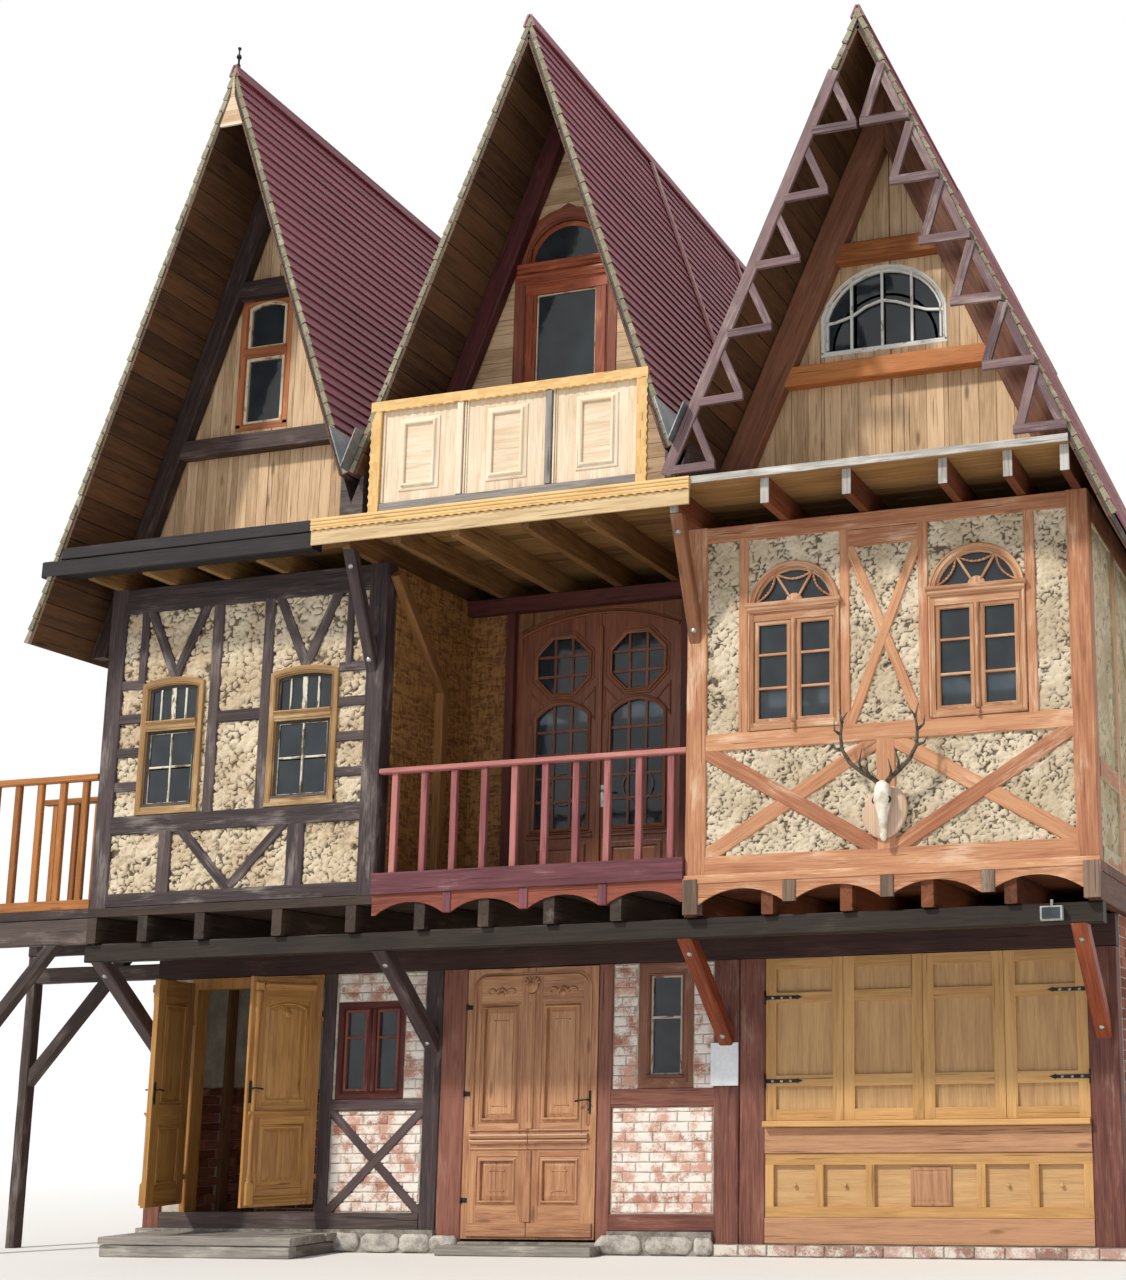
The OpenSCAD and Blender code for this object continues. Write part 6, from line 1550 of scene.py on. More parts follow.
for lean in (-0.016, 0.016):
    trim(door, [(MID_X + lean, 1.10), (MID_X + lean, 2.12)], bead(0.010, 0.006), FACE - 0.014)
turned(door, (MID_X, FACE - 0.006, 2.27), TO_STREET, [0.062, 0.058, 0.040, 0.030, 0.026, 0.0005],
       [0, 0.012, 0.018, 0.022, 0.030, 0.034], 16, 1.15)
for k in range(7):
    turn = math.pi * (k + 0.5) / 7
    petal = [(MID_X + r * math.cos(turn), FACE - 0.008, 2.285 + r * math.sin(turn))
             for r in (0.02, 0.06, 0.085)]
    rod(door, petal, [0.008, 0.014, 0.004], 6)
door_pine = wood("door_pine", "cb9a70", "8f5b40", knots=0.6, rough=0.45, gloss=0.4, tint=0.3)
door.make("middle_door_carved", door_pine, "honey_wood", ["middle_door"], "middle_leaf")
raised(fittings, (4.435, 4.475, 1.16, 1.36), FACE, [(0, -0.002), (0, 0.005), (0.004, 0.008)])
lever = [(4.455, FACE, 1.28), (4.455, FACE - 0.042, 1.28), (4.43, FACE - 0.045, 1.282),
         (4.345, FACE - 0.045, 1.27)]
rod(fittings, lever, [0.008, 0.007, 0.007, 0.009])
turned(fittings, (4.455, FACE - 0.004, 1.20), TO_STREET, [0.011, 0.011, 0.007, 0.0005],
       [0, 0.005, 0.007, 0.008], 10)
for z in (0.42, 1.3225, 2.07):
    hinge_part(fittings, 3.26, -0.009, z, 3.262, 3.315, -0.006)
fittings.make("middle_door_fittings", iron, "sheet_metal", body="middle_leaf")

# %% [markdown]
# The stall has four folding shutters of thin panels in board frames, hung on
# black strap hinges. The counter below has a thick ledge, small panels with
# turned knobs, and a bare carved plaque.

# %% Stall
STALL_X0, STALL_X1, SHUTTER_Z = 6.06, 8.81, 1.086
LEAF_W = (STALL_X1 - STALL_X0) / 4
boards, panels = Pile(), Pile()
for k in range(4):
    x0, x1 = STALL_X0 + k * LEAF_W + 0.002, STALL_X0 + (k + 1) * LEAF_W - 0.002
    for a, b in ((x0, x0 + 0.094), (x1 - 0.094, x1)):
        board(boards, a, b, SHUTTER_Z + 0.001, PLATE_Z - 0.001, 0.020, 0.05)
    for low, high in ((0.001, 0.094), (0.277, 0.372), (0.968, 1.062), (1.250, 1.343)):
        board(boards, x0 + 0.093, x1 - 0.093, SHUTTER_Z + low, SHUTTER_Z + high, 0.0215, 0.045)
    board(panels, x0 + 0.08, x1 - 0.08, SHUTTER_Z + 0.08, PLATE_Z - 0.08, 0.046, 0.016,
          tone=rng.uniform(0.3, 0.7))
stall_pine = wood("stall_pine", "d4a76d", "ae824f", knots=0.4, rough=0.5, tint=0.5)
stall_ply = wood("stall_ply", "cca573", "a88057", knots=0.1, cracks=0.0, rough=0.55, tint=0.4)
boards.make("stall_shutter_frames", stall_pine, "honey_wood", ["stall_shutters"])

KICK_TOP, PANEL_TOP, LEDGE_Z = 0.313, 0.82, 1.036
boards, rough_boards = Pile(), Pile()
sweep(boards, [(0, -0.15), (0.05, -0.15), (0.05, 0.052), (0.042, 0.060), (0.008, 0.060), (0, 0.052)],
      (STALL_X0, 0, LEDGE_Z), (STALL_X1, 0, LEDGE_Z), TO_STREET, wave=0.001)
beam(rough_boards, STALL_X0, STALL_X1, PANEL_TOP, LEDGE_Z, 0, WALL, 0.002)
beam(rough_boards, STALL_X0, STALL_X1, 0.098, KICK_TOP, 0, WALL, 0.002)
board(boards, STALL_X0, STALL_X1, KICK_TOP, KICK_TOP + 0.085, 0.016, 0.034)
board(boards, STALL_X0, STALL_X1, PANEL_TOP - 0.09, PANEL_TOP, 0.016, 0.034)
for k in range(3):
    for x0 in (STALL_X0 + 0.436 * k, STALL_X1 - 0.075 - 0.436 * k):
        board(boards, x0 + 0.001, x0 + 0.074, KICK_TOP + 0.083, PANEL_TOP - 0.088, 0.015, 0.035)
board(panels, STALL_X0 + 0.01, STALL_X1 - 0.01, KICK_TOP + 0.01, PANEL_TOP - 0.01, 0.050, 0.022, tone=0.75)
panels.make("stall_panels", stall_ply, "honey_wood")
for k in range(2):
    for x in (STALL_X0 + 0.2555 + 0.436 * k, STALL_X1 - 0.2555 - 0.436 * k):
        turned(boards, (x, 0.049, 0.5665), TO_STREET, [0.010, 0.010, 0.016, 0.016, 0.010, 0.0005],
               [0, 0.010, 0.014, 0.022, 0.027, 0.028], 12)
boards.make("counter_boards", stall_pine, "honey_wood", ["stall_counter"])
counter_wood = wood("counter_wood", "bd8f6c", "8a5d43", knots=0.6, rough=0.6)
plaque = (7.309, 7.651, 0.403, 0.709)
raised(rough_boards, plaque, 0.050, [(0, 0), (0, 0.012), (0.004, 0.016), (0.022, 0.016), (0.027, 0.012),
                                     (0.040, 0.012), (0.05, 0.014)])
rough_boards.make("counter_beams", counter_wood, "orange_timber")

# %% [markdown]
# A strap hinge is a flat tongue with a pointed tip, held by domed bolts and
# hung on an upright pin.

# %% Strap hinges of the shutters
HINGES = [(side, x, z) for side, x in ((1, STALL_X0 + 0.004), (-1, STALL_X1 - 0.004))
          for z in (SHUTTER_Z + 0.325, SHUTTER_Z + 1.015)]
TONGUE = [(0, -0.017), (0.27, -0.013), (0.275, -0.020), (0.325, 0), (0.275, 0.020), (0.27, 0.013),
          (0, 0.017)]
straps = Pile()
for side, x, z in HINGES:
    prism(straps, [(x + side * a, z + b) for a, b in TONGUE[::side]], 0.0205, 0.0155)
    rod(straps, [(x - side * 0.006, 0.012, z - 0.055), (x - side * 0.006, 0.012, z + 0.055)], 0.009)
straps.make("strap_hinges", iron, "sheet_metal")
studs = Pile()
for side, x, z in HINGES:
    for reach in (0.06, 0.14, 0.22):
        bolt(studs, (x + side * reach, 0.0155, z), TO_STREET, 0.009)
bright_steel = rough_finish("bright_steel", "c9c9c5", "8e8e8a", 20.0, 0.35, 0.001, 0.5, 0.8)
studs.make("hinge_studs", bright_steel, "sheet_metal")


# %% [markdown]
# The upper floor reaches out over the street on joists. A dark beam and knee
# braces carry them. The floors are laid with planks, and their undersides show.

# %% Floors, joists and braces
def block(pile, low, high, chamfer=0.003, **settings):
    """A timber that fills the box from low to high, its grain along the longest side."""
    low, high = np.array(low, float), np.array(high, float)
    thin, mid, along = np.argsort(high - low)
    a = (low + high) / 2
    a[thin] = high[thin]
    b = a.copy()
    a[along], b[along] = low[along], high[along]
    sweep(pile, squared((high - low)[mid], (high - low)[thin], chamfer), a, b, np.eye(3)[thin], **settings)


JOISTS = (0.0, 0.535, 1.124, 1.904, 2.63, 3.29, 3.89, 4.49, 5.09, 5.74, 6.40, 7.06, 7.72, 8.38, 9.03)
under_dark = wood("under_dark", "4a3a30", "251b17", "75675c", wear=0.15)
under_red = wood("under_red", "7c4527", "482514", "9a6a4a", wear=0.1)
for name, finish, x0, x1, part in (("dark", under_dark, 0.0, 5.74, [("jetty_joists",), ("first_floor",)]),
                                   ("red", under_red, 5.74, 9.13, [(), ()])):
    joists, planks = Pile(), Pile()
    for x in JOISTS:
        if x0 <= x < x1:
            block(joists, (x, -0.99, 2.70), (x + 0.1, HOUSE_D, 2.93), 0.006, step=0.5, wave=0.004)
    for y in np.arange(-0.99, 5.95, 0.1747):
        block(planks, (x0 + 0.001, y + 0.001, 2.931), (x1 - 0.001, y + 0.1737, 3.01), step=1.5)
    joists.make(f"jetty_joists_{name}", finish, "dark_timber", part[0])
    planks.make(f"floor_planks_{name}", finish, "grey_timber", part[1])
timbers = Pile()
block(timbers, (-0.04, -0.95, 2.535), (HOUSE_W, -0.80, 2.70), 0.01, wave=0.008)
# Painted shade: the jetty beam is coloured near black, its wood darkened by the shade under the jetty.
jetty_beam_shade = wood("jetty_beam_shade", "32271f", "19120e", "55473c", wear=0.1)
timbers.make("jetty_beam_hewn", jetty_beam_shade, "dark_timber", ["jetty_beam"])

DECK_JOISTS = (2.7275, 3.22, 3.78, 4.43, 5.00, 5.7775, 6.56, 7.25, 8.04, 8.56, 9.008)
deck_wood = wood("deck_wood", "a67f4e", "6b4a2b", knots=0.6)
deck_red = wood("deck_red", "8a4f32", "532c1b", knots=0.5)
joists, red_joists, planks, ends = Pile(), Pile(), Pile(), Pile()
for x in (0.04, 0.62, 1.20, 1.80):
    block(joists, (x, -1.36, FIRST_TOP), (x + 0.075, HOUSE_D, 6.16), step=0.6, wave=0.003)
for x in DECK_JOISTS:
    pile = joists if x < 5.6 else red_joists
    block(pile, (x, -1.45, FIRST_TOP), (x + 0.075, HOUSE_D, 6.16), step=0.6, wave=0.003)
    if x > 5.6:
        block(ends, (x + 0.001, -1.456, 5.951), (x + 0.074, -1.447, 6.159))
for y in np.arange(-1.51, 5.95, 0.1502):
    block(planks, (-0.122, y + 0.002, 6.161), (9.088, y + 0.1482, 6.22), step=1.5)
block(ends, (5.98, -1.522, 6.158), (9.088, -1.509, 6.222), wave=0.001)
joists.make("attic_joists_pine", deck_wood, "brown_boards", ["attic_joists"])
red_joists.make("attic_joists_red", deck_red, "orange_timber")
planks.make("attic_planks", deck_wood, "grey_timber", ["attic_deck"])
ends.make("deck_edge_board", wood("deck_edge", "c9c5bd", "857f78", "e3e0da", wear=0.4), "grey_timber")
timbers = Pile()
block(timbers, (-0.342, -1.51, 5.96), (2.465, -1.36, 6.12), 0.012, wave=0.008)
block(timbers, (-0.122, -1.513, 6.118), (2.465, -1.40, 6.224), 0.006, wave=0.002)
# Painted shade: the front beam is coloured near black, its dark wood darkened further by the shade on it.
front_beam_shade_wood = wood("front_beam_shade_wood", "2e2728", "181415", "4c4340", wear=0.12)
timbers.make("front_beam_hewn", front_beam_shade_wood, "dark_timber", ["front_beam"])


def knee(pile, x, foot, head, wide, deep, bolts, out=(0, -1, -0.9)):
    """A brace from the wall up to a beam, cut plumb at the foot and level at the head."""
    a, b = np.array([x, *foot]), np.array([x, *head])
    sweep(pile, squared(wide, deep, 0.012), a, b, out, cuts=((0, 1, 0), UP), wave=0.005)
    axis = (b - a) / np.linalg.norm(b - a)
    face = np.array(out, float) - axis * (np.array(out, float) @ axis)
    for share in (0.10, 0.86):
        bolt(bolts, a + (b - a) * share, face / np.linalg.norm(face), 0.016)


knee_red = wood("knee_red", "a4512f", "662c19", "c98a64", wear=0.15, rough=0.5)
deck_brace_wood = wood("deck_brace", "8f5f41", "5b3a28", "b08a6c", wear=0.2)
bolts = Pile()
for name, finish, places in (("dark", frame_dark, (0.08, 2.925)), ("red", knee_red, (5.715, 8.935))):
    braces = Pile()
    for x in places:
        knee(braces, x, (0.0, 1.70), (-0.945, 2.537), 0.13, 0.13, bolts)
    if name == "dark":
        knee(braces, 2.765, (-0.99, 4.96), (-1.435, 5.95), 0.11, 0.10, bolts, (0, -1, -0.4))
    braces.make(f"knee_braces_{name}", finish, "red_timber", ["knee_braces"] if name == "dark" else ())
braces = Pile()
knee(braces, 5.815, (-0.99, 4.96), (-1.435, 5.95), 0.11, 0.10, bolts, (0, -1, -0.4))
braces.make("deck_brace_brown", deck_brace_wood, "red_timber")
braces = Pile()
sweep(braces, squared(0.11, 0.09), (2.982, -0.04, 4.90), (2.982, -0.92, 5.86), (1, 0, 0), wave=0.003)
sweep(braces, squared(0.11, 0.085), (2.980, -0.095, 3.01), (2.980, -0.095, 5.07), (1, 0, 0), wave=0.003)
braces.make("loggia_brace", wood("loggia_brace_wood", "a97a48", "6e4b2a"), "honey_wood")
bolts.make("brace_bolts", bright_steel, "sheet_metal")

# %% [markdown]
# Two valances hang before the joists. They are short boards with an arch sawn
# out of each lower edge, and joist ends stand between them. The deck above has
# the same idea in small: a board with a wavy edge.

# %% Valances
def scallops(pile, x0, x1, low, high, count, rise, y, thick, steps=8, upright=False):
    """Boards side by side, each with a circle's arc cut out of its lower edge."""
    pitch = (x1 - x0) / count
    tip = pitch / 12
    tone = rng.uniform(0.3, 0.7)
    for k in range(count):
        a = x0 + k * pitch
        curve = arch(a + tip / 2, low, pitch - tip, 0, rise, 0, steps)[1:-1]
        shape = np.vstack([[(a, low)], curve, [(a + pitch, low), (a + pitch, high), (a, high)]])
        if low > high:
            shape[1:-4, 1] = 2 * low - shape[1:-4, 1]
            shape = shape[::-1]
        if upright:
            shape = shape[::-1, ::-1]
        prism(pile, shape, y + thick, y, tone if count > 9 else rng.uniform(0.2, 0.8), upright=upright)


joist_block = wood("joist_block", "8d7562", "58463a", "b5a592", wear=0.35)
boards, blocks_between = Pile(), Pile()
scallops(boards, RIGHT_X + 0.10, 9.03, 2.80, 2.975, 4, 0.115, -1.018, 0.028, 12)
block(boards, (RIGHT_X, -1.026, 2.965), (HOUSE_W, -0.992, 3.008), wave=0.001)
block(boards, (RIGHT_X, -1.012, 3.004), (HOUSE_W, -0.992, 3.035))
for k in range(1, 4):
    x = RIGHT_X + 0.10 + k * 0.8075
    block(blocks_between, (x - 0.055, -1.030, 2.795), (x + 0.055, -0.992, 2.962), 0.006)
for x in (RIGHT_X, 9.0):
    block(blocks_between, (x, -1.034, 2.72), (x + 0.13, -0.90, 3.0), 0.008, wave=0.003)
boards.make("right_valance_boards", bay_orange, "orange_timber", ["right_bay_valance"])
blocks_between.make("joist_end_blocks", joist_block, "orange_timber")
fascia_mauve = wood("fascia_mauve", "87535a", "5a3035", "a98286", wear=0.15)
fascia_red = wood("fascia_red", "99533f", "633026", "b07a66", wear=0.1)
boards = Pile()
scallops(boards, 2.89, 5.74, 2.83, 3.02, 4, 0.105, -1.006, 0.022, 12)
boards.make("loggia_valance_boards", fascia_red, "maroon_paint")
boards = Pile()
block(boards, (2.89, -1.030, 3.008), (5.738, -0.96, 3.19), wave=0.001)
for k in range(1, 4):
    x = 2.89 + k * 0.7125
    block(boards, (x - 0.038, -1.016, 2.835), (x + 0.038, -0.99, 3.005))
boards.make("loggia_fascia_board", fascia_mauve, "maroon_paint", ["loggia_fascia"])

# %% [markdown]
# The loggia has a handrail on ten flat bars, each a little paler or darker.

# %% Loggia rail
rail_red = wood("rail_red", "bb7871", "80484a", "cf9f92", wear=0.15, tint=0.7)
rail = Pile()
block(rail, (2.89, -0.987, 4.053), (5.74, -0.895, 4.10), 0.010, wave=0.001)
for k in range(10):
    x = 2.89 + (k + 0.5) * 0.285
    block(rail, (x - 0.029, -0.962, 3.18), (x + 0.029, -0.918, 4.056), 0.004, tone=rng.uniform(0.1, 0.9))
rail.make("loggia_rail_bars", rail_red, "maroon_paint", ["loggia_rail"])

# %% [markdown]
# The balcony box has a yellow frame with wavy edges, pale plywood panels and a
# mitred moulding on each panel. The deck's edge below it is two boards.

# %% Balcony box
BOX_X0, BOX_X1, BOX_TOP, BOX_Y = 2.99, 5.59, 7.225, -1.51
yellow_pine = wood("yellow_pine", "ecc88c", "cf9f5c", knots=0.5, tint=0.3)
ply = wood("pale_ply", "efdfc6", "d0b390", knots=0.6, tint=0.3, cracks=0.2)
trim_pine = wood("trim_pine", "f3e6d0", "d8be9a", knots=0.3, tint=0.4)
box_frame = Pile()
scallops(box_frame, BOX_X0, BOX_X1, 7.130, BOX_TOP, 33, 0.010, BOX_Y - 0.004, 0.03, 4)
for x0, x1 in ((BOX_X0, BOX_X0 + 0.10), (BOX_X1, BOX_X1 - 0.10)):
    scallops(box_frame, ATTIC_Z, 7.135, x0, x1, 12, 0.010, BOX_Y, 0.03, 4, upright=True)
block(box_frame, (BOX_X0, BOX_Y, 7.215), (BOX_X1, -1.44, 7.226))
rib = [(-0.014, -0.025), (0.014, -0.025), (0.014, 0.008), (0.006, 0.013), (-0.006, 0.013),
       (-0.014, 0.008)]
for z0, z1 in ((6.126, 6.154), (6.157, 6.186), (6.189, 6.218)):
    z = (z0 + z1) / 2
    sweep(box_frame, rib, (2.465, -1.535, z), (5.977, -1.535, z), TO_STREET)
scallops(box_frame, 2.465, 5.977, 6.112, 6.130, 44, 0.010, -1.545, 0.02, 4)
box_frame.make("balcony_frame", yellow_pine, "pale_pine", ["balcony_box"])
panels = Pile()
block(panels, (2.465, -1.530, 5.986), (5.972, -1.511, 6.116), wave=0.001)
deck_pale = wood("deck_pale", "dcc195", "a98a60", "efe2c8", wear=0.25)
panels.make("deck_lower_board", deck_pale, "pale_pine", ["deck_fascia"])
panels, edges, grey_edges = Pile(), Pile(), Pile()
for k in range(3):
    x0 = BOX_X0 + 0.10 + k * 0.8333
    x1 = x0 + 0.7333
    board(panels, x0 - 0.02, x1 + 0.02, ATTIC_Z + 0.02, 7.16, -1.474, 0.02, tone=rng.uniform(0.4, 0.6))
    middle = (x0 + x1) / 2
    ring = (middle - 0.19, middle + 0.19, ATTIC_Z + 0.18, ATTIC_Z + 0.83)
    trim(edges, outline(*ring, 0, 0.03), mirrored(ogee(0.060, 0.030)), -1.474, True)
    raised(panels, ring, -1.474, [(0.06, -0.004), (0.06, 0.006), (0.064, 0.008)], grain_up=False)
    strips = [(-0.10, -0.045, -1.506), (-0.038, -0.020, -1.488), (-0.014, -0.002, -1.484)]
    for left, right, y in strips if k else [(0.005, 0.030, -1.486)]:
        pile = grey_edges if (k, left) == (2, -0.10) else edges
        block(pile, (x0 + left, y, ATTIC_Z + 0.09), (x0 + right, -1.474, 7.132))
block(grey_edges, (BOX_X0 + 0.10, -1.500, ATTIC_Z + 0.001), (BOX_X1 - 0.10, -1.472, ATTIC_Z + 0.085),
      wave=0.002)
panels.make("balcony_panels", ply, "pale_pine")
edges.make("balcony_mouldings", trim_pine, "pale_pine")
grey_edges.make("balcony_foot_board", wood("foot_grey", "a9a29b", "706a66", wear=0.3), "grey_timber")

# %% [markdown]
# The loggia's walls are sheets of pressed wood flakes between posts. Its doors
# are varnished, with eight sided lights over arched ones.

# %% Loggia
def flake_finish(name, pale, dark):
    """Cells drawn out two ways, each of one colour, as flakes pressed into a sheet."""
    paint = Paint(name, 0.3)
    place = paint.place()
    bent = paint.noise(place, 6.0, 2.0) * 0.05
    parts = paint.split(place)
    spot = paint.join(parts[0] + parts[1] + bent, parts[0] * 0.3, parts[2] + bent)
    level = paint.split(paint.cells(paint.stretched(spot, (0.085, 0.03, 0.022)), 1.0, out="Color"))[0]
    upright = paint.split(paint.cells(paint.stretched(spot, (0.020, 0.03, 0.075)), 1.0, out="Color"))[1]
    fibre = paint.noise(paint.stretched(spot, (0.05, 0.01, 0.006)), detail=3.0)
    share = level * 0.45 + upright * 0.4 + fibre * 0.3
    return paint.finish(paint.mix(share.step(0.2, 0.85), srgb(dark), srgb(pale)), 0.6, share, 0.004)


# Painted shade: both colours are the flake board's own, darkened by the shade inside the loggia.
shaded_flakes = flake_finish("pressed_flakes_shaded", "a87a46", "6c4627")
sheets = Pile()
for z0, z1 in ((3.012, 4.258), (4.262, 5.508), (5.512, 5.948)):
    for y0, y1 in ((-0.83, -0.16), (-0.155, 0.478)):
        block(sheets, (2.8895, y0, z0), (2.902, y1, z1))
        block(sheets, (5.728, y0, z0), (5.7405, y1, z1))
    for x0, x1 in ((2.905, 3.30), (5.17, 5.725)):
        block(sheets, (x0, 0.467, z0), (x1, 0.4805, z1))
sheets.make("loggia_flake_sheets", shaded_flakes, "brown_boards")
loggia_wood = wood("loggia_door_wood", "a3633b", "63361f", rough=0.4, gloss=0.5)
maroon_post = wood("loggia_frame_wood", "6e3a34", "41201d", rough=0.55)
timbers = Pile()
for x0, x1 in ((3.30, 3.385), (5.085, 5.17)):
    block(timbers, (x0, 0.40, 3.011), (x1, 0.481, 5.80), 0.006, wave=0.002)
block(timbers, (2.89, 0.36, 5.80), (5.74, 0.481, 5.948), 0.008, wave=0.004)
timbers.make("loggia_door_frame", maroon_post, "maroon_paint")
doors, leads = Pile(), Pile()
DOOR_Y = 0.495
for middle in (3.855, 4.615):
    turn = np.pi / 8 + np.arange(8) * np.pi / 4
    for reach, shape in ((0.300, ogee(0.034, 0.020)), (0.345, bead(0.010, 0.008))):
        ring = np.column_stack([middle + reach * np.cos(turn), 5.265 + reach * np.sin(turn)])
        trim(doors, ring, shape, DOOR_Y, True)
    low = outline(middle - 0.28, middle + 0.28, 3.71, 4.79, 0.13, 0)
    trim(doors, low, ogee(0.034, 0.020), DOOR_Y, True)
    for side in (-1, 1):
        corner = [(middle + side * 0.33, 4.74), (middle + side * 0.33, 5.03), (middle + side * 0.20, 4.89)]
        trim(doors, corner if side > 0 else corner[::-1], bead(0.016, 0.012), DOOR_Y, True)
    door_panel(doors, middle - 0.27, middle + 0.27, 3.16, 3.58, DOOR_Y)
    for z in (3.64, 3.68):
        trim(doors, [(middle - 0.33, z), (middle + 0.33, z)], bead(0.022, 0.014), DOOR_Y)
    circle = np.linspace(0, 2 * np.pi, 28, endpoint=False)
    ring = np.column_stack([middle + 0.015 + 0.15 * np.cos(circle), 4.09 + 0.15 * np.sin(circle)])
    trim(leads, ring, bead(0.012, 0.008, -0.008), 0.512, True)
trim(doors, [(4.235, 3.05), (4.235, 5.62)], bead(0.045, 0.025), DOOR_Y)
head = arch(3.43, 3.1, 1.61, 2.49, 0.17, 0.0, 20)[1:-1]
trim(doors, head, ogee(0.045, 0.025), DOOR_Y)
doors.make("loggia_door_mouldings", loggia_wood, "brown_boards")
lead = rough_finish("lead", "8f8a80", "625e58", 20.0, 0.5, 0.001, 0.4, 0.5)
leads.make("loggia_lead_rings", lead, "sheet_metal")
plate = Pile()
raised(plate, (4.262, 4.300, 3.90, 4.11), DOOR_Y, [(0, -0.002), (0, 0.005), (0.004, 0.008)])
rod(plate, [(4.281, DOOR_Y, 4.05), (4.281, DOOR_Y - 0.045, 4.05), (4.31, DOOR_Y - 0.048, 4.052),
            (4.385, DOOR_Y - 0.048, 4.045)], [0.009, 0.008, 0.008, 0.008])
plate.make("loggia_handle", bright_steel, "sheet_metal")

# %% [markdown]
# A deer's skull hangs on the right bay, on a slice of wood. A bare white plate
# is on a post, and a small floodlight hangs under the corner.

# %% Trophy, plate and floodlight
SKULL = (7.444, FRONT, 3.46)
slice_wood = Pile()
turned(slice_wood, SKULL, TO_STREET, [0.165, 0.180, 0.176, 0.165, 0.0005],
       [0, 0.008, 0.024, 0.030, 0.031], 28, 1.2)
slice_wood.make("trophy_slice", wood("slice_wood", "e2cbb4", "b8957a", knots=0.2), "honey_wood")
skull, horns, socket_shade_discs = Pile(), Pile(), Pile()
# Each ring of the skull: its height, half its width, half its depth and its middle in Y.
SKULL_RINGS = [
    (0.152, 0.004, 0.004, -0.055), (0.148, 0.026, 0.020, -0.056), (0.135, 0.045, 0.034, -0.060),
    (0.100, 0.055, 0.045, -0.064), (0.060, 0.058, 0.050, -0.068), (0.030, 0.068, 0.048, -0.070),
    (0.005, 0.058, 0.044, -0.068), (-0.030, 0.042, 0.038, -0.064), (-0.080, 0.031, 0.030, -0.060),
    (-0.130, 0.026, 0.025, -0.057), (-0.175, 0.024, 0.019, -0.054), (-0.200, 0.016, 0.012, -0.052),
    (-0.206, 0.003, 0.003, -0.050),
]
turn = np.linspace(0, 2 * np.pi, 16, endpoint=False)
pinch = 1 - 0.12 * np.cos(2 * turn)
rings = [np.column_stack([half * 1.3 * np.cos(turn) * pinch, y - 0.02 + deep * 1.2 * np.sin(turn),
                          np.full(16, z * 1.35 + 0.04)]) for z, half, deep, y in SKULL_RINGS]
rings = np.array(rings)[::-1] + SKULL
skull.add(rings, loft(rings), tone=0.5, smooth=True)
ANTLER = np.array([
    (0.026, -0.070, 0.125), (0.07, -0.095, 0.165), (0.15, -0.125, 0.215), (0.24, -0.145, 0.29),
    (0.305, -0.155, 0.40), (0.315, -0.16, 0.52), (0.300, -0.16, 0.62), (0.325, -0.16, 0.73)])
TINES = [(1, (0.085, -0.20, 0.30)), (2, (0.13, -0.19, 0.40)), (4, (0.385, -0.13, 0.47)),
         (5, (0.375, -0.14, 0.64)), (6, (0.25, -0.17, 0.70))]
for side in (-1, 1):
    # Painted shade: dark discs sit in the eye and nose holes, where there is only shade.
    for at, size in (((0.060, -0.122, 0.083), 0.024), ((0.013, -0.092, -0.165), 0.011)):
        place = np.array(SKULL) + (side * at[0], at[1], at[2])
        turned(socket_shade_discs, place, (side * 0.5, -1, 0), [size, size * 0.9, size * 0.5, 0.0005],
               [-0.008, 0.002, 0.005, 0.006], 12, 1.3)
    flip = (side, 1, 1)
    lift = np.array(SKULL) + (0, -0.01, 0.09)
    rod(horns, ANTLER * flip + lift, [0.024, 0.021, 0.019, 0.018, 0.016, 0.013, 0.010, 0.003], 8)
    for start, tip in TINES:
        a, b = ANTLER[start], np.array(tip)
        bend = (a + b) / 2 + (0.02, -0.01, -0.02)
        rod(horns, np.array([a, bend, b]) * flip + lift, [0.014, 0.010, 0.002], 6)
skull_bone = rough_finish("skull_bone", "ece6d8", "b9ab92", 14.0, 0.5, 0.003, 0.4)
skull.make("trophy_skull", skull_bone, "bone", ["trophy"])
horns.make("trophy_antlers", rough_finish("antler", "6b5e50", "3a322b", 30.0, 0.6, 0.004), "bone")
# The dark discs of the sockets are painted shade.
socket_shade_discs.make("trophy_socket_shade", iron, "bone")
plate = Pile()
raised(plate, (5.577, 5.826, 1.38, 1.737), -0.006, [(0, -0.006), (0, 0.004), (0.002, 0.006)])
plate_white = rough_finish("plate_white", "eef0f2", "d8dce0", 3.0, 0.4, 0.0005, 0.4)
plate.make("bare_white_plate", plate_white, "white_paint")
lamp_case, lens = Pile(), Pile()
block(lamp_case, (8.66, -1.02, 2.56), (8.83, -0.955, 2.67), 0.008)
block(lamp_case, (8.735, -0.985, 2.66), (8.755, -0.965, 2.72))
lamp_grey = rough_finish("lamp_grey", "b8b9b5", "8d8e8b", 9.0, 0.5, 0.001, 0.4)
lamp_case.make("floodlight_case", lamp_grey, "sheet_metal")
board(lens, 8.675, 8.815, 2.572, 2.658, -1.026, 0.008)
lens.make("floodlight_lens", glass, "glass")


# %% [markdown]
# The gables have one window each: a hung pair of sashes, a tall window behind
# the balcony box under a deep arch, and an old white one with a bent bar.

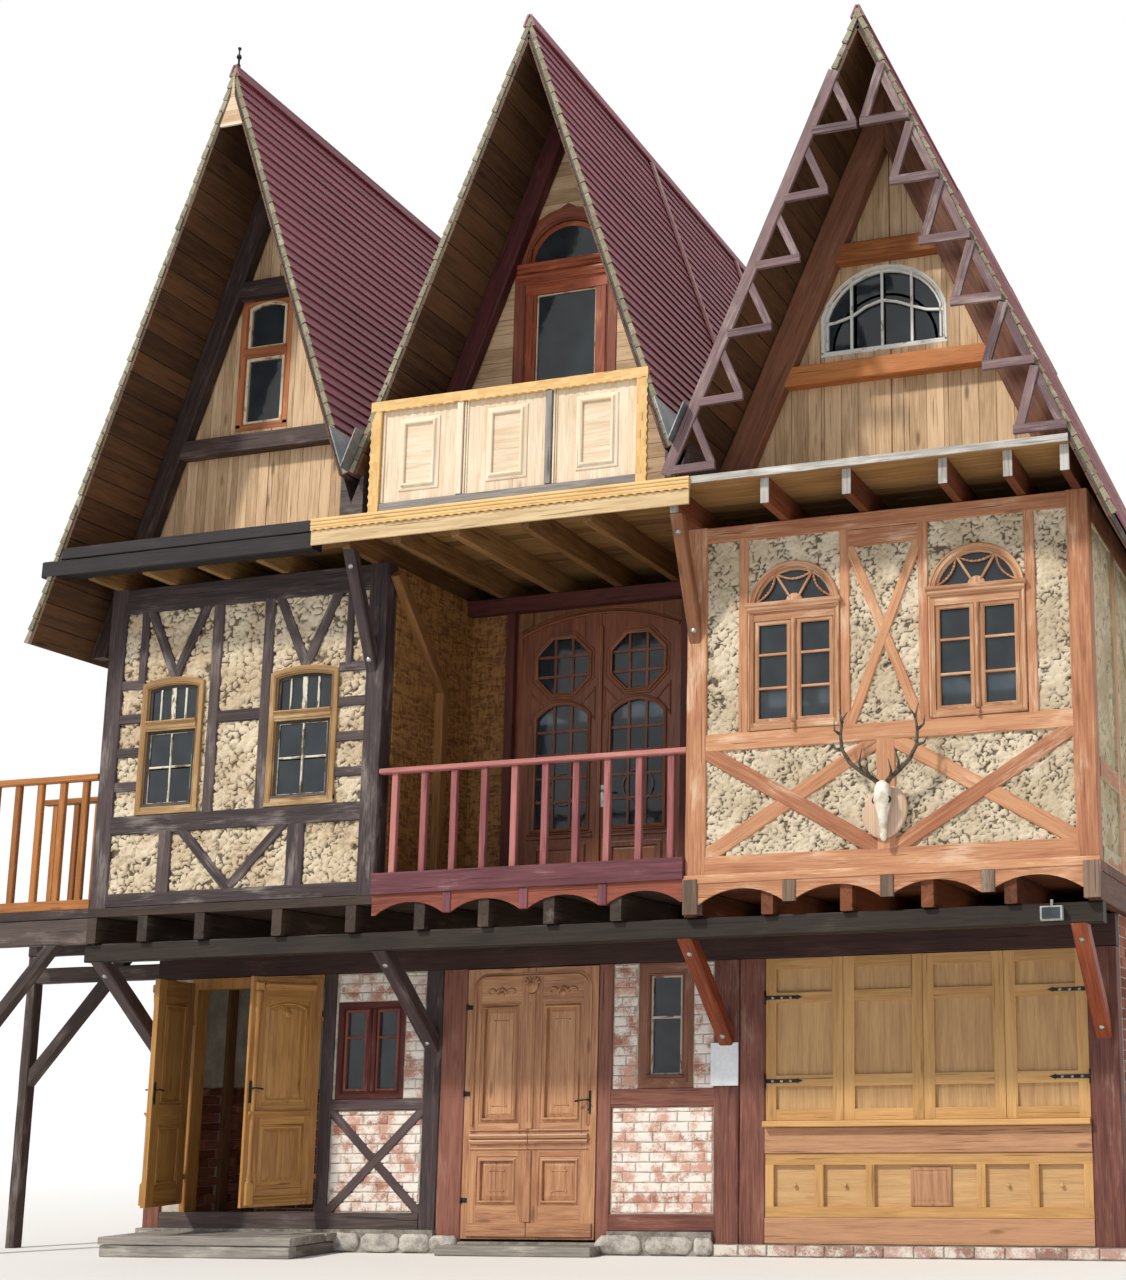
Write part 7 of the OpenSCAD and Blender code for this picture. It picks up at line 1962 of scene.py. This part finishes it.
# %% Gable windows
x0, z0, wide, spring, rise = GABLE_WINDOWS["left"]
frames, linings = Pile(), Pile()
trim(frames, arch(x0, z0, wide, spring, rise, 0.0375), frame_section(0.075, 0.07), GABLE_Y - 0.008)
block(frames, (x0, GABLE_Y - 0.008, z0), (x0 + wide, GABLE_Y + 0.06, z0 + 0.07))
sweep(frames, CORNICE, (x0 + 0.05, GABLE_Y - 0.002, z0 + 0.735),
      (x0 + wide - 0.05, GABLE_Y - 0.002, z0 + 0.735), TO_STREET)
for low, high in ((0.07, 0.735), (0.825, 1.25)):
    shape = outline(x0 + 0.075, x0 + wide - 0.075, z0 + low, z0 + high, 0.05 if low > 0.5 else 0, 0.014)
    trim(linings, shape, lath(0.028, 0.010, -0.03), GABLE_Y + 0.018, True)
window_orange = wood("window_orange", "c27a4e", "8a4a2d", "ddb08a", wear=0.2)
frames.make("left_gable_window_frame", window_orange, "tan_paint", ["left_gable_window"])
cream = painted("cream_lining", "e2d3b4", "a07a55", 0.35, None)
linings.make("left_gable_window_lining", cream, "white_paint")

x0, z0, wide, spring, rise = GABLE_WINDOWS["middle"]
frames, sashes, linings = Pile(), Pile(), Pile()
trim(frames, arch(x0, z0, wide, spring, rise, 0.058), frame_section(0.115, 0.07), GABLE_Y - 0.010)
for side in (0, 1):
    a = x0 + 0.12 + side * (wide - 0.34)
    block(sashes, (a, GABLE_Y + 0.004, z0), (a + 0.10, GABLE_Y + 0.068, z0 + 2.27))
block(sashes, (x0 + 0.10, GABLE_Y, z0 + 2.24), (x0 + wide - 0.10, GABLE_Y + 0.066, z0 + 2.34))
block(sashes, (x0 + 0.10, GABLE_Y + 0.002, z0), (x0 + wide - 0.10, GABLE_Y + 0.066, z0 + 0.29))
for lift, out in ((2.34, 0.030), (2.44, 0.045)):
    edge = [(0, -0.05), (0.095, -0.05), (0.095, out), (0.078, out + 0.006), (0.060, out), (0.045, out * 0.6),
            (0.020, out * 0.5), (0.012, 0.004), (0, 0.002)]
    sweep(sashes, edge, (x0 + 0.02, GABLE_Y, z0 + lift), (x0 + wide - 0.02, GABLE_Y, z0 + lift), TO_STREET)
trim(linings, outline(x0 + 0.22, x0 + wide - 0.22, z0 + 0.29, z0 + 2.24, 0, 0.006),
     lath(0.012, 0.010, -0.02), GABLE_Y + 0.03, True)
trim(sashes, arch(x0, z0 + 2.54, wide, 0.02, rise, 0.150), lath(0.045, 0.010, -0.03), GABLE_Y + 0.035)
window_maroon = wood("window_maroon", "96573f", "5f3128", "b88a6a", wear=0.15)
frames.make("middle_gable_window_frame", window_maroon, "tan_paint", ["middle_gable_window"])
window_red = wood("window_red", "b9623c", "7a3622", "d39a70", wear=0.15, rough=0.5)
sashes.make("middle_gable_window_sash", window_red, "tan_paint")
linings.make("middle_gable_window_lining", cream, "white_paint")

x0, z0, wide, spring, rise = GABLE_WINDOWS["right"]
frames = Pile()
trim(frames, arch(x0, z0, wide, spring, rise, 0.022), frame_section(0.044, 0.05), GABLE_Y - 0.008)
block(frames, (x0, GABLE_Y - 0.008, z0), (x0 + wide, GABLE_Y + 0.04, z0 + 0.042))
trim(frames, arch(x0, z0, wide, spring, rise, 0.058), lath(0.018, 0.006, -0.02), GABLE_Y + 0.006)
radius, drop = arch_circle(wide, rise)
for share in (0.245, 0.49, 0.725):
    x, across = x0 + share * wide, abs(share - 0.5) * wide
    top = z0 + spring - drop + math.sqrt((radius - 0.03) ** 2 - across ** 2)
    bar(frames, x, z0 + 0.03, x, top, 0.024, GABLE_Y + 0.008, 0.010)
bent = np.array([(0.03, 0.30), (0.12, 0.31), (0.245, 0.345), (0.36, 0.42), (0.49, 0.46), (0.60, 0.43),
                 (0.725, 0.37), (0.84, 0.32), (0.97, 0.30)])
trim(frames, bent * (wide, 1.0) + (x0, z0), lath(0.022, 0.008, -0.012), GABLE_Y + 0.009)
old_white = painted("old_white", "e4e3dc", "a39682", 0.28, None)
frames.make("right_gable_window_frame", old_white, "white_paint", ["right_gable_window"])

# %% [markdown]
# Zigzags of laths edge the right roof. On its left a long board runs down the
# slope and pairs of laths point inwards; on its right each tooth is three laths.

# %% Bargeboards
def stick(pile, a, b, wide, y, thick=0.034):
    """A flat lath between two points of X and Z, its ends a little out of line, as nailed by hand."""
    (ax, az), (bx, bz) = np.array([a, b]) + rng.normal(0, 0.004, (2, 2))
    sweep(pile, squared(wide, thick, 0.003), (ax, y, az), (bx, y, bz), TO_STREET, wave=0.001)


BARGE_Y = -1.546
laths = Pile()
left_slope, right_slope = SLOPES["right_roof"]
run = [(slope_x(left_slope, z, 0.055), z) for z in (6.25, 9.60)]
stick(laths, *run, 0.10, BARGE_Y + 0.002)
for k in range(6):
    z = 6.29 + k * 0.562
    edge = slope_x(left_slope, z, 0.08)
    tip = slope_x(left_slope, z, 0.09) + 0.335
    stick(laths, (tip + 0.035, z), (edge, z - 0.01), 0.070, BARGE_Y - 0.001)
    stick(laths, (tip, z + 0.03), (slope_x(left_slope, z + 0.43, 0.07), z + 0.43), 0.066, BARGE_Y + 0.012)
    outer = slope_x(right_slope, z, 0.035)
    tip = slope_x(right_slope, z, 0.09) - 0.335
    top = (slope_x(right_slope, z + 0.50, 0.050), z + 0.50)
    stick(laths, (tip - 0.02, z), (outer, z), 0.074, BARGE_Y - 0.001)
    stick(laths, (tip + 0.01, z + 0.01), top, 0.074, BARGE_Y + 0.004)
    inner = [(slope_x(right_slope, z + up, 0.075), z + up) for up in (0.03, 0.46)]
    stick(laths, *inner, 0.070, BARGE_Y + 0.020)
mauve_lath = wood("mauve_lath", "856b6a", "564145", "ab9992", wear=0.35, tint=0.6)
laths.make("bargeboard_laths", mauve_lath, "mauve_laths", ["bargeboards"])

# %% [markdown]
# Pale battens run down the slopes, and a boarded panel closes the left roof's
# tip under an iron finial.

# %% Battens, apex panel and spike
battens = Pile()
BATTENS = (("left_roof", 1, (2.1,)), ("middle_roof", 1, (1.0, 3.3)), ("right_roof", 1, (1.6, 3.9)),
           ("left_roof", 0, (1.6, 3.9)), ("middle_roof", 0, (2.3,)), ("right_roof", 0, (2.3,)))
for name, index, places in BATTENS:
    slope = SLOPES[name][index]
    k = math.hypot(1, slope[2])
    normal = (slope[3] * slope[2] / k, 0, 1 / k)
    top = slope_place(*slope[:4], 0.14, -0.024)
    low = slope_place(*slope[:4], slope_length(slope) - 0.18, -0.024)
    for y in places:
        sweep(battens, squared(0.075, 0.028, 0.003), (top[0], y, top[1]), (low[0], y + 0.02, low[1]),
              normal, step=0.4, wave=0.002)
battens.make("roof_battens", wood("batten_pink", "d9b3a8", "a37a72", "ecd8cf", wear=0.3), "wine_boards")
panel, iron_work = Pile(), Pile()
left_slope, right_slope = SLOPES["left_roof"]
for low, high in ((10.155, 10.30), (10.304, 10.44)):
    shape = [(slope_x(left_slope, low, 0.085), low), (slope_x(right_slope, low, 0.085), low),
             (slope_x(right_slope, high, 0.085), high), (slope_x(left_slope, high, 0.085), high)]
    prism(panel, shape, -1.487, -1.5095, upright=False)
top = (slope_x(left_slope, 10.443, 0.085), 10.443), (slope_x(right_slope, 10.443, 0.085), 10.443)
prism(panel, [*top, (1.355, 10.66), (1.347, 10.66)], -1.487, -1.5095, upright=False)
panel.make("apex_panel", wood("apex_pine", "e8d2b4", "b8926c", "f2e6d2", wear=0.3), "pale_pine", ["finial"])
turned(iron_work, (1.351, -1.455, 10.70), UP,
       [0.018, 0.018, 0.010, 0.010, 0.020, 0.024, 0.018, 0.007, 0.007, 0.016, 0.016, 0.0005],
       [0, 0.10, 0.105, 0.16, 0.165, 0.18, 0.20, 0.205, 0.25, 0.258, 0.275, 0.285], 12)
iron_work.make("iron_finial", iron, "sheet_metal")

# %% [markdown]
# The side and rear walls are finished like the front: clay between timbers. A
# sheet or a timber is made as if it faced the street and then turned to its
# wall about the house's corner.

# %% Side and rear walls
SIDE_PANELS = [(-0.83, 0.0), (0.15, 1.46), (1.61, 2.92), (3.07, 4.38), (4.53, 5.84)]
SIDE_POSTS = [(0.0, 0.15), (1.46, 1.61), (2.92, 3.07), (4.38, 4.53), (5.84, 6.0)]
REAR_PANELS = [(0.18, 0.686), (1.596, 2.969), (3.879, 5.251), (6.161, 7.534), (8.444, 8.95)]
REAR_WINDOWS = [0.796, 3.079, 5.361, 7.644]


def side_clods(x, z):
    """Broad lumps for the walls seen from far."""
    return clods(x, z, 0.11, 0.018, 33)


def wall_of(name, face, panels, posts, corners, degrees, flip, timber, slot, windows=()):
    """Clay sheets and timbers of one wall, drawn along X facing the street and then turned."""
    sheet, timbers = Pile(), Pile()
    fields = [(a, b, 3.79) for a, b in panels] + [(x, x + 0.69, 4.77) for x in windows]
    for a, b, upper in fields:
        a, b = sorted((a * flip, b * flip))
        for z0, z1 in ((3.10, 3.70), (upper, 5.75)):
            clay_sheet(sheet, a - 0.03, b + 0.03, z0, z1, (), face + 0.024, face + 0.06, 0.034, side_clods)
    for a, b in posts:
        a, b = sorted((a * flip, b * flip))
        beam(timbers, a, b, FIRST_Z, FIRST_TOP, face - 0.004, 0.07)
    a, b = sorted((corners[0] * flip, corners[1] * flip))
    for z0, z1 in RAILS:
        beam(timbers, a, b, z0, z1, face - 0.004, 0.07, 0.003)
    first = panels[0] if windows else panels[1]
    for low, high in (first[::-1], panels[-1]):
        strut(timbers, (low * flip, 3.83), (high * flip, 5.71), 0.13, face - 0.004, 0.07)
    for pile in (sheet, timbers):
        pile.swing((0, 0), degrees)
    sheet.make(f"{name}_clay", side_clay, "grey_clay")
    timbers.make(f"{name}_timbers", timber, slot)


# The last colour is the painted crevice shade.
side_clay = clay_finish("side_wall_clay", "dccaaa", "bfa985", "4a3d2e")
REAR_POSTS = [(0.0, 0.18), (0.686, 0.796), (1.486, 1.596), (2.969, 3.079), (3.769, 3.879), (5.251, 5.361),
              (6.051, 6.161), (7.534, 7.644), (8.334, 8.444), (8.95, 9.13)]
SIDES, REAR = (SIDE_PANELS, SIDE_POSTS, (-0.83, 6.0)), (REAR_PANELS, REAR_POSTS, (0.0, HOUSE_W))
wall_of("left_wall", 0.0, *SIDES, -90, -1, bay_dark, "dark_timber")
wall_of("right_wall", -HOUSE_W, *SIDES, 90, 1, bay_orange, "orange_timber")
wall_of("rear_wall", -HOUSE_D, *REAR, 180, -1, bay_dark, "dark_timber", REAR_WINDOWS)

# %% [markdown]
# The gallery at the left stands on two posts with slanting braces, and has a rail
# of upright bars at its front and at its back.

# %% Gallery
gallery_dark = wood("gallery_dark", "584944", "2e2422", "8a7d76", wear=0.3)
gallery_honey = wood("gallery_honey", "b9783f", "7a4a24", "d2a274", wear=0.15)
timbers, rail = Pile(), Pile()
for y in (-0.99, 0.0):
    block(timbers, (-1.5, y, 0), (-1.39, y + 0.11, 2.70), 0.010, wave=0.006)
    block(timbers, (-1.5, y, 2.70), (0, y + 0.11, 2.93), 0.010, wave=0.006)
    sweep(timbers, squared(0.11, 0.10), (-0.385, y + 0.006, 2.70), (-1.39, y + 0.006, 1.56), TO_STREET,
          wave=0.004, cuts=(UP, (1, 0, 0)))
    rail_y = y if y < 0 else 0.05
    block(rail, (-1.5, rail_y, 3.01), (0, rail_y + 0.06, 3.10), 0.006, wave=0.002)
    block(rail, (-1.5, rail_y - 0.01, 4.18), (0, rail_y + 0.07, 4.24), 0.010, wave=0.002)
    for x in np.arange(-0.175, -1.48, -0.247):
        block(rail, (x, rail_y + 0.008, 3.09), (x + 0.065, rail_y + 0.052, 4.185), 0.006,
              tone=rng.uniform(0.2, 0.8))
for y in np.arange(-0.99, 0.10, 0.1571):
    block(timbers, (-1.5, y + 0.002, 2.931), (0, y + 0.1551, 3.01))
block(timbers, (-1.39, 0.002, 2.44), (0, 0.108, 2.59), 0.010, wave=0.005)
timbers.make("gallery_timbers", gallery_dark, "dark_timber", ["gallery"])
rail.make("gallery_rail_bars", gallery_honey, "orange_timber", ["gallery_rail"])


# %% [markdown]
# Two small windows of the ground floor: a dark red pair of casements on the
# left, and a tall brown one with a pale putty line.

# %% Ground floor windows
def casement(frames, bars, x0, x1, z0, z1, wide, y):
    """A frame round an opening, with a sash and a line of putty inside it."""
    trim(frames, outline(x0, x1, z0, z1, 0, wide / 2), mirrored(frame_section(wide, 0.06)), y, True)
    trim(bars, outline(x0, x1, z0, z1, 0, wide + 0.008), lath(0.016, 0.010, -0.02), y + 0.03, True)


frames, bars = Pile(), Pile()
casement(frames, bars, 1.941, 2.631, 1.313, 2.173, 0.07, 0.018)
MEETING_X = 2.286
block(frames, (MEETING_X - 0.05, 0.016, 1.38), (MEETING_X + 0.05, 0.075, 2.105), 0.006)
turned(frames, (MEETING_X, 0.016, 1.38), UP, [0.014, 0.014], [0, 0.725], 8)
for x0, x1 in ((2.011, 2.236), (2.336, 2.561)):
    bar(bars, x0, 1.858, x1, 1.858, 0.024, 0.045, 0.008)
    trim(bars, outline(x0, x1, 1.383, 2.103, 0, 0.012), lath(0.022, 0.012, -0.02), 0.045, True)
window_dark_red = wood("window_dark_red", "7c3c33", "47211d", "a3776a", wear=0.15)
frames.make("left_ground_window_frame", window_dark_red, "red_paint", ["ground_windows"])
window_bar_red = wood("window_bar_red", "93564a", "552b25", "b08a7c", wear=0.2)
bars.make("left_ground_window_bars", window_bar_red, "red_paint")
frames, bars = Pile(), Pile()
casement(frames, bars, 4.897, 5.407, 1.368, 2.43, 0.112, 0.018)
bar(bars, 5.012, 1.964, 5.292, 1.964, 0.022, 0.045, 0.010)
block(frames, (4.985, -0.004, 1.458), (5.32, 0.03, 1.482), 0.004)
window_brown = wood("window_brown", "8d5f49", "553527", "ab8a76", wear=0.2)
frames.make("middle_ground_window_frame", window_brown, "red_paint")
bars.make("middle_ground_window_bars", painted("putty_line", "bfb4a6", "7a5a48", 0.4, None), "white_paint")

# %% [markdown]
# Through the open entrance shows a side wall of brick with an upright timber,
# plaster above it, and more brick on the wall at the back.

# %% Wall behind the entrance
bricks = Pile()
wall_bricks(bricks, 0.28, 2.80, 0.12, 1.42, TO_STREET, 1.3)
for y0, y1 in ((0.18, 0.68), (0.83, 1.285)):
    wall_bricks(bricks, y0, y1, 0.12, 1.44, TO_RIGHT, 0.25, thick=0.024)
bricks.make("inner_wall_bricks", deep_red, "brick")
stud, coat = Pile(), Pile()
block(stud, (0.252, 0.69, 0.10), (0.295, 0.82, 2.69), 0.005, wave=0.003)
block(coat, (0.252, 0.162, 1.45), (0.268, 0.69, 2.69))
block(coat, (0.252, 0.82, 1.45), (0.268, 1.298, 2.69))
stud.make("inner_wall_stud", brown["z"], "brown_boards")
coat.make("inner_wall_plaster", plaster, "grey_clay")

# %% [markdown]
# The steps are weathered planks, four deep on sleepers at the entrance and two at
# the middle door. A course of bricks lies under the stall.

# %% Steps
steps = Pile()
for k, y in enumerate(np.linspace(-0.74, -0.035, 5)[:-1]):
    block(steps, (0.15 + 0.006 * (k % 2), y + 0.002, 0.104), (2.08 - 0.008 * (k % 3), y + 0.173, 0.17), 0.008,
          wave=0.002, tone=rng.uniform(0.2, 0.9))
for low, high in (((0.165, -0.728, 0), (2.066, -0.62, 0.101)), ((1.95, -0.618, 0), (2.062, -0.038, 0.101)),
                  ((0.17, -0.618, 0), (0.282, -0.038, 0.101))):
    block(steps, low, high, 0.010, wave=0.004)
block(steps, (3.17, -0.26, 0.0), (4.615, -0.148, 0.08), 0.008, wave=0.002, tone=0.7)
block(steps, (3.17, -0.146, 0.0), (4.615, -0.036, 0.08), 0.008, wave=0.002, tone=0.4)
step_wood = wood("step_wood", "9a938b", "5e5750", "c2bbb0", wear=0.4)
steps.make("step_planks", step_wood, "grey_timber", ["door_steps"])
flat_bricks = Pile()
wall_bricks(flat_bricks, 5.63, 9.09, 0.004, 0.098, TO_STREET, -0.032, thick=0.016, course=0.094)
footing_brick = brick_finish("footing_brick", "b9968a", "8b6a5e", "d8cfc4", 0.2)
flat_bricks.make("stall_footing_bricks", footing_brick, "brick")
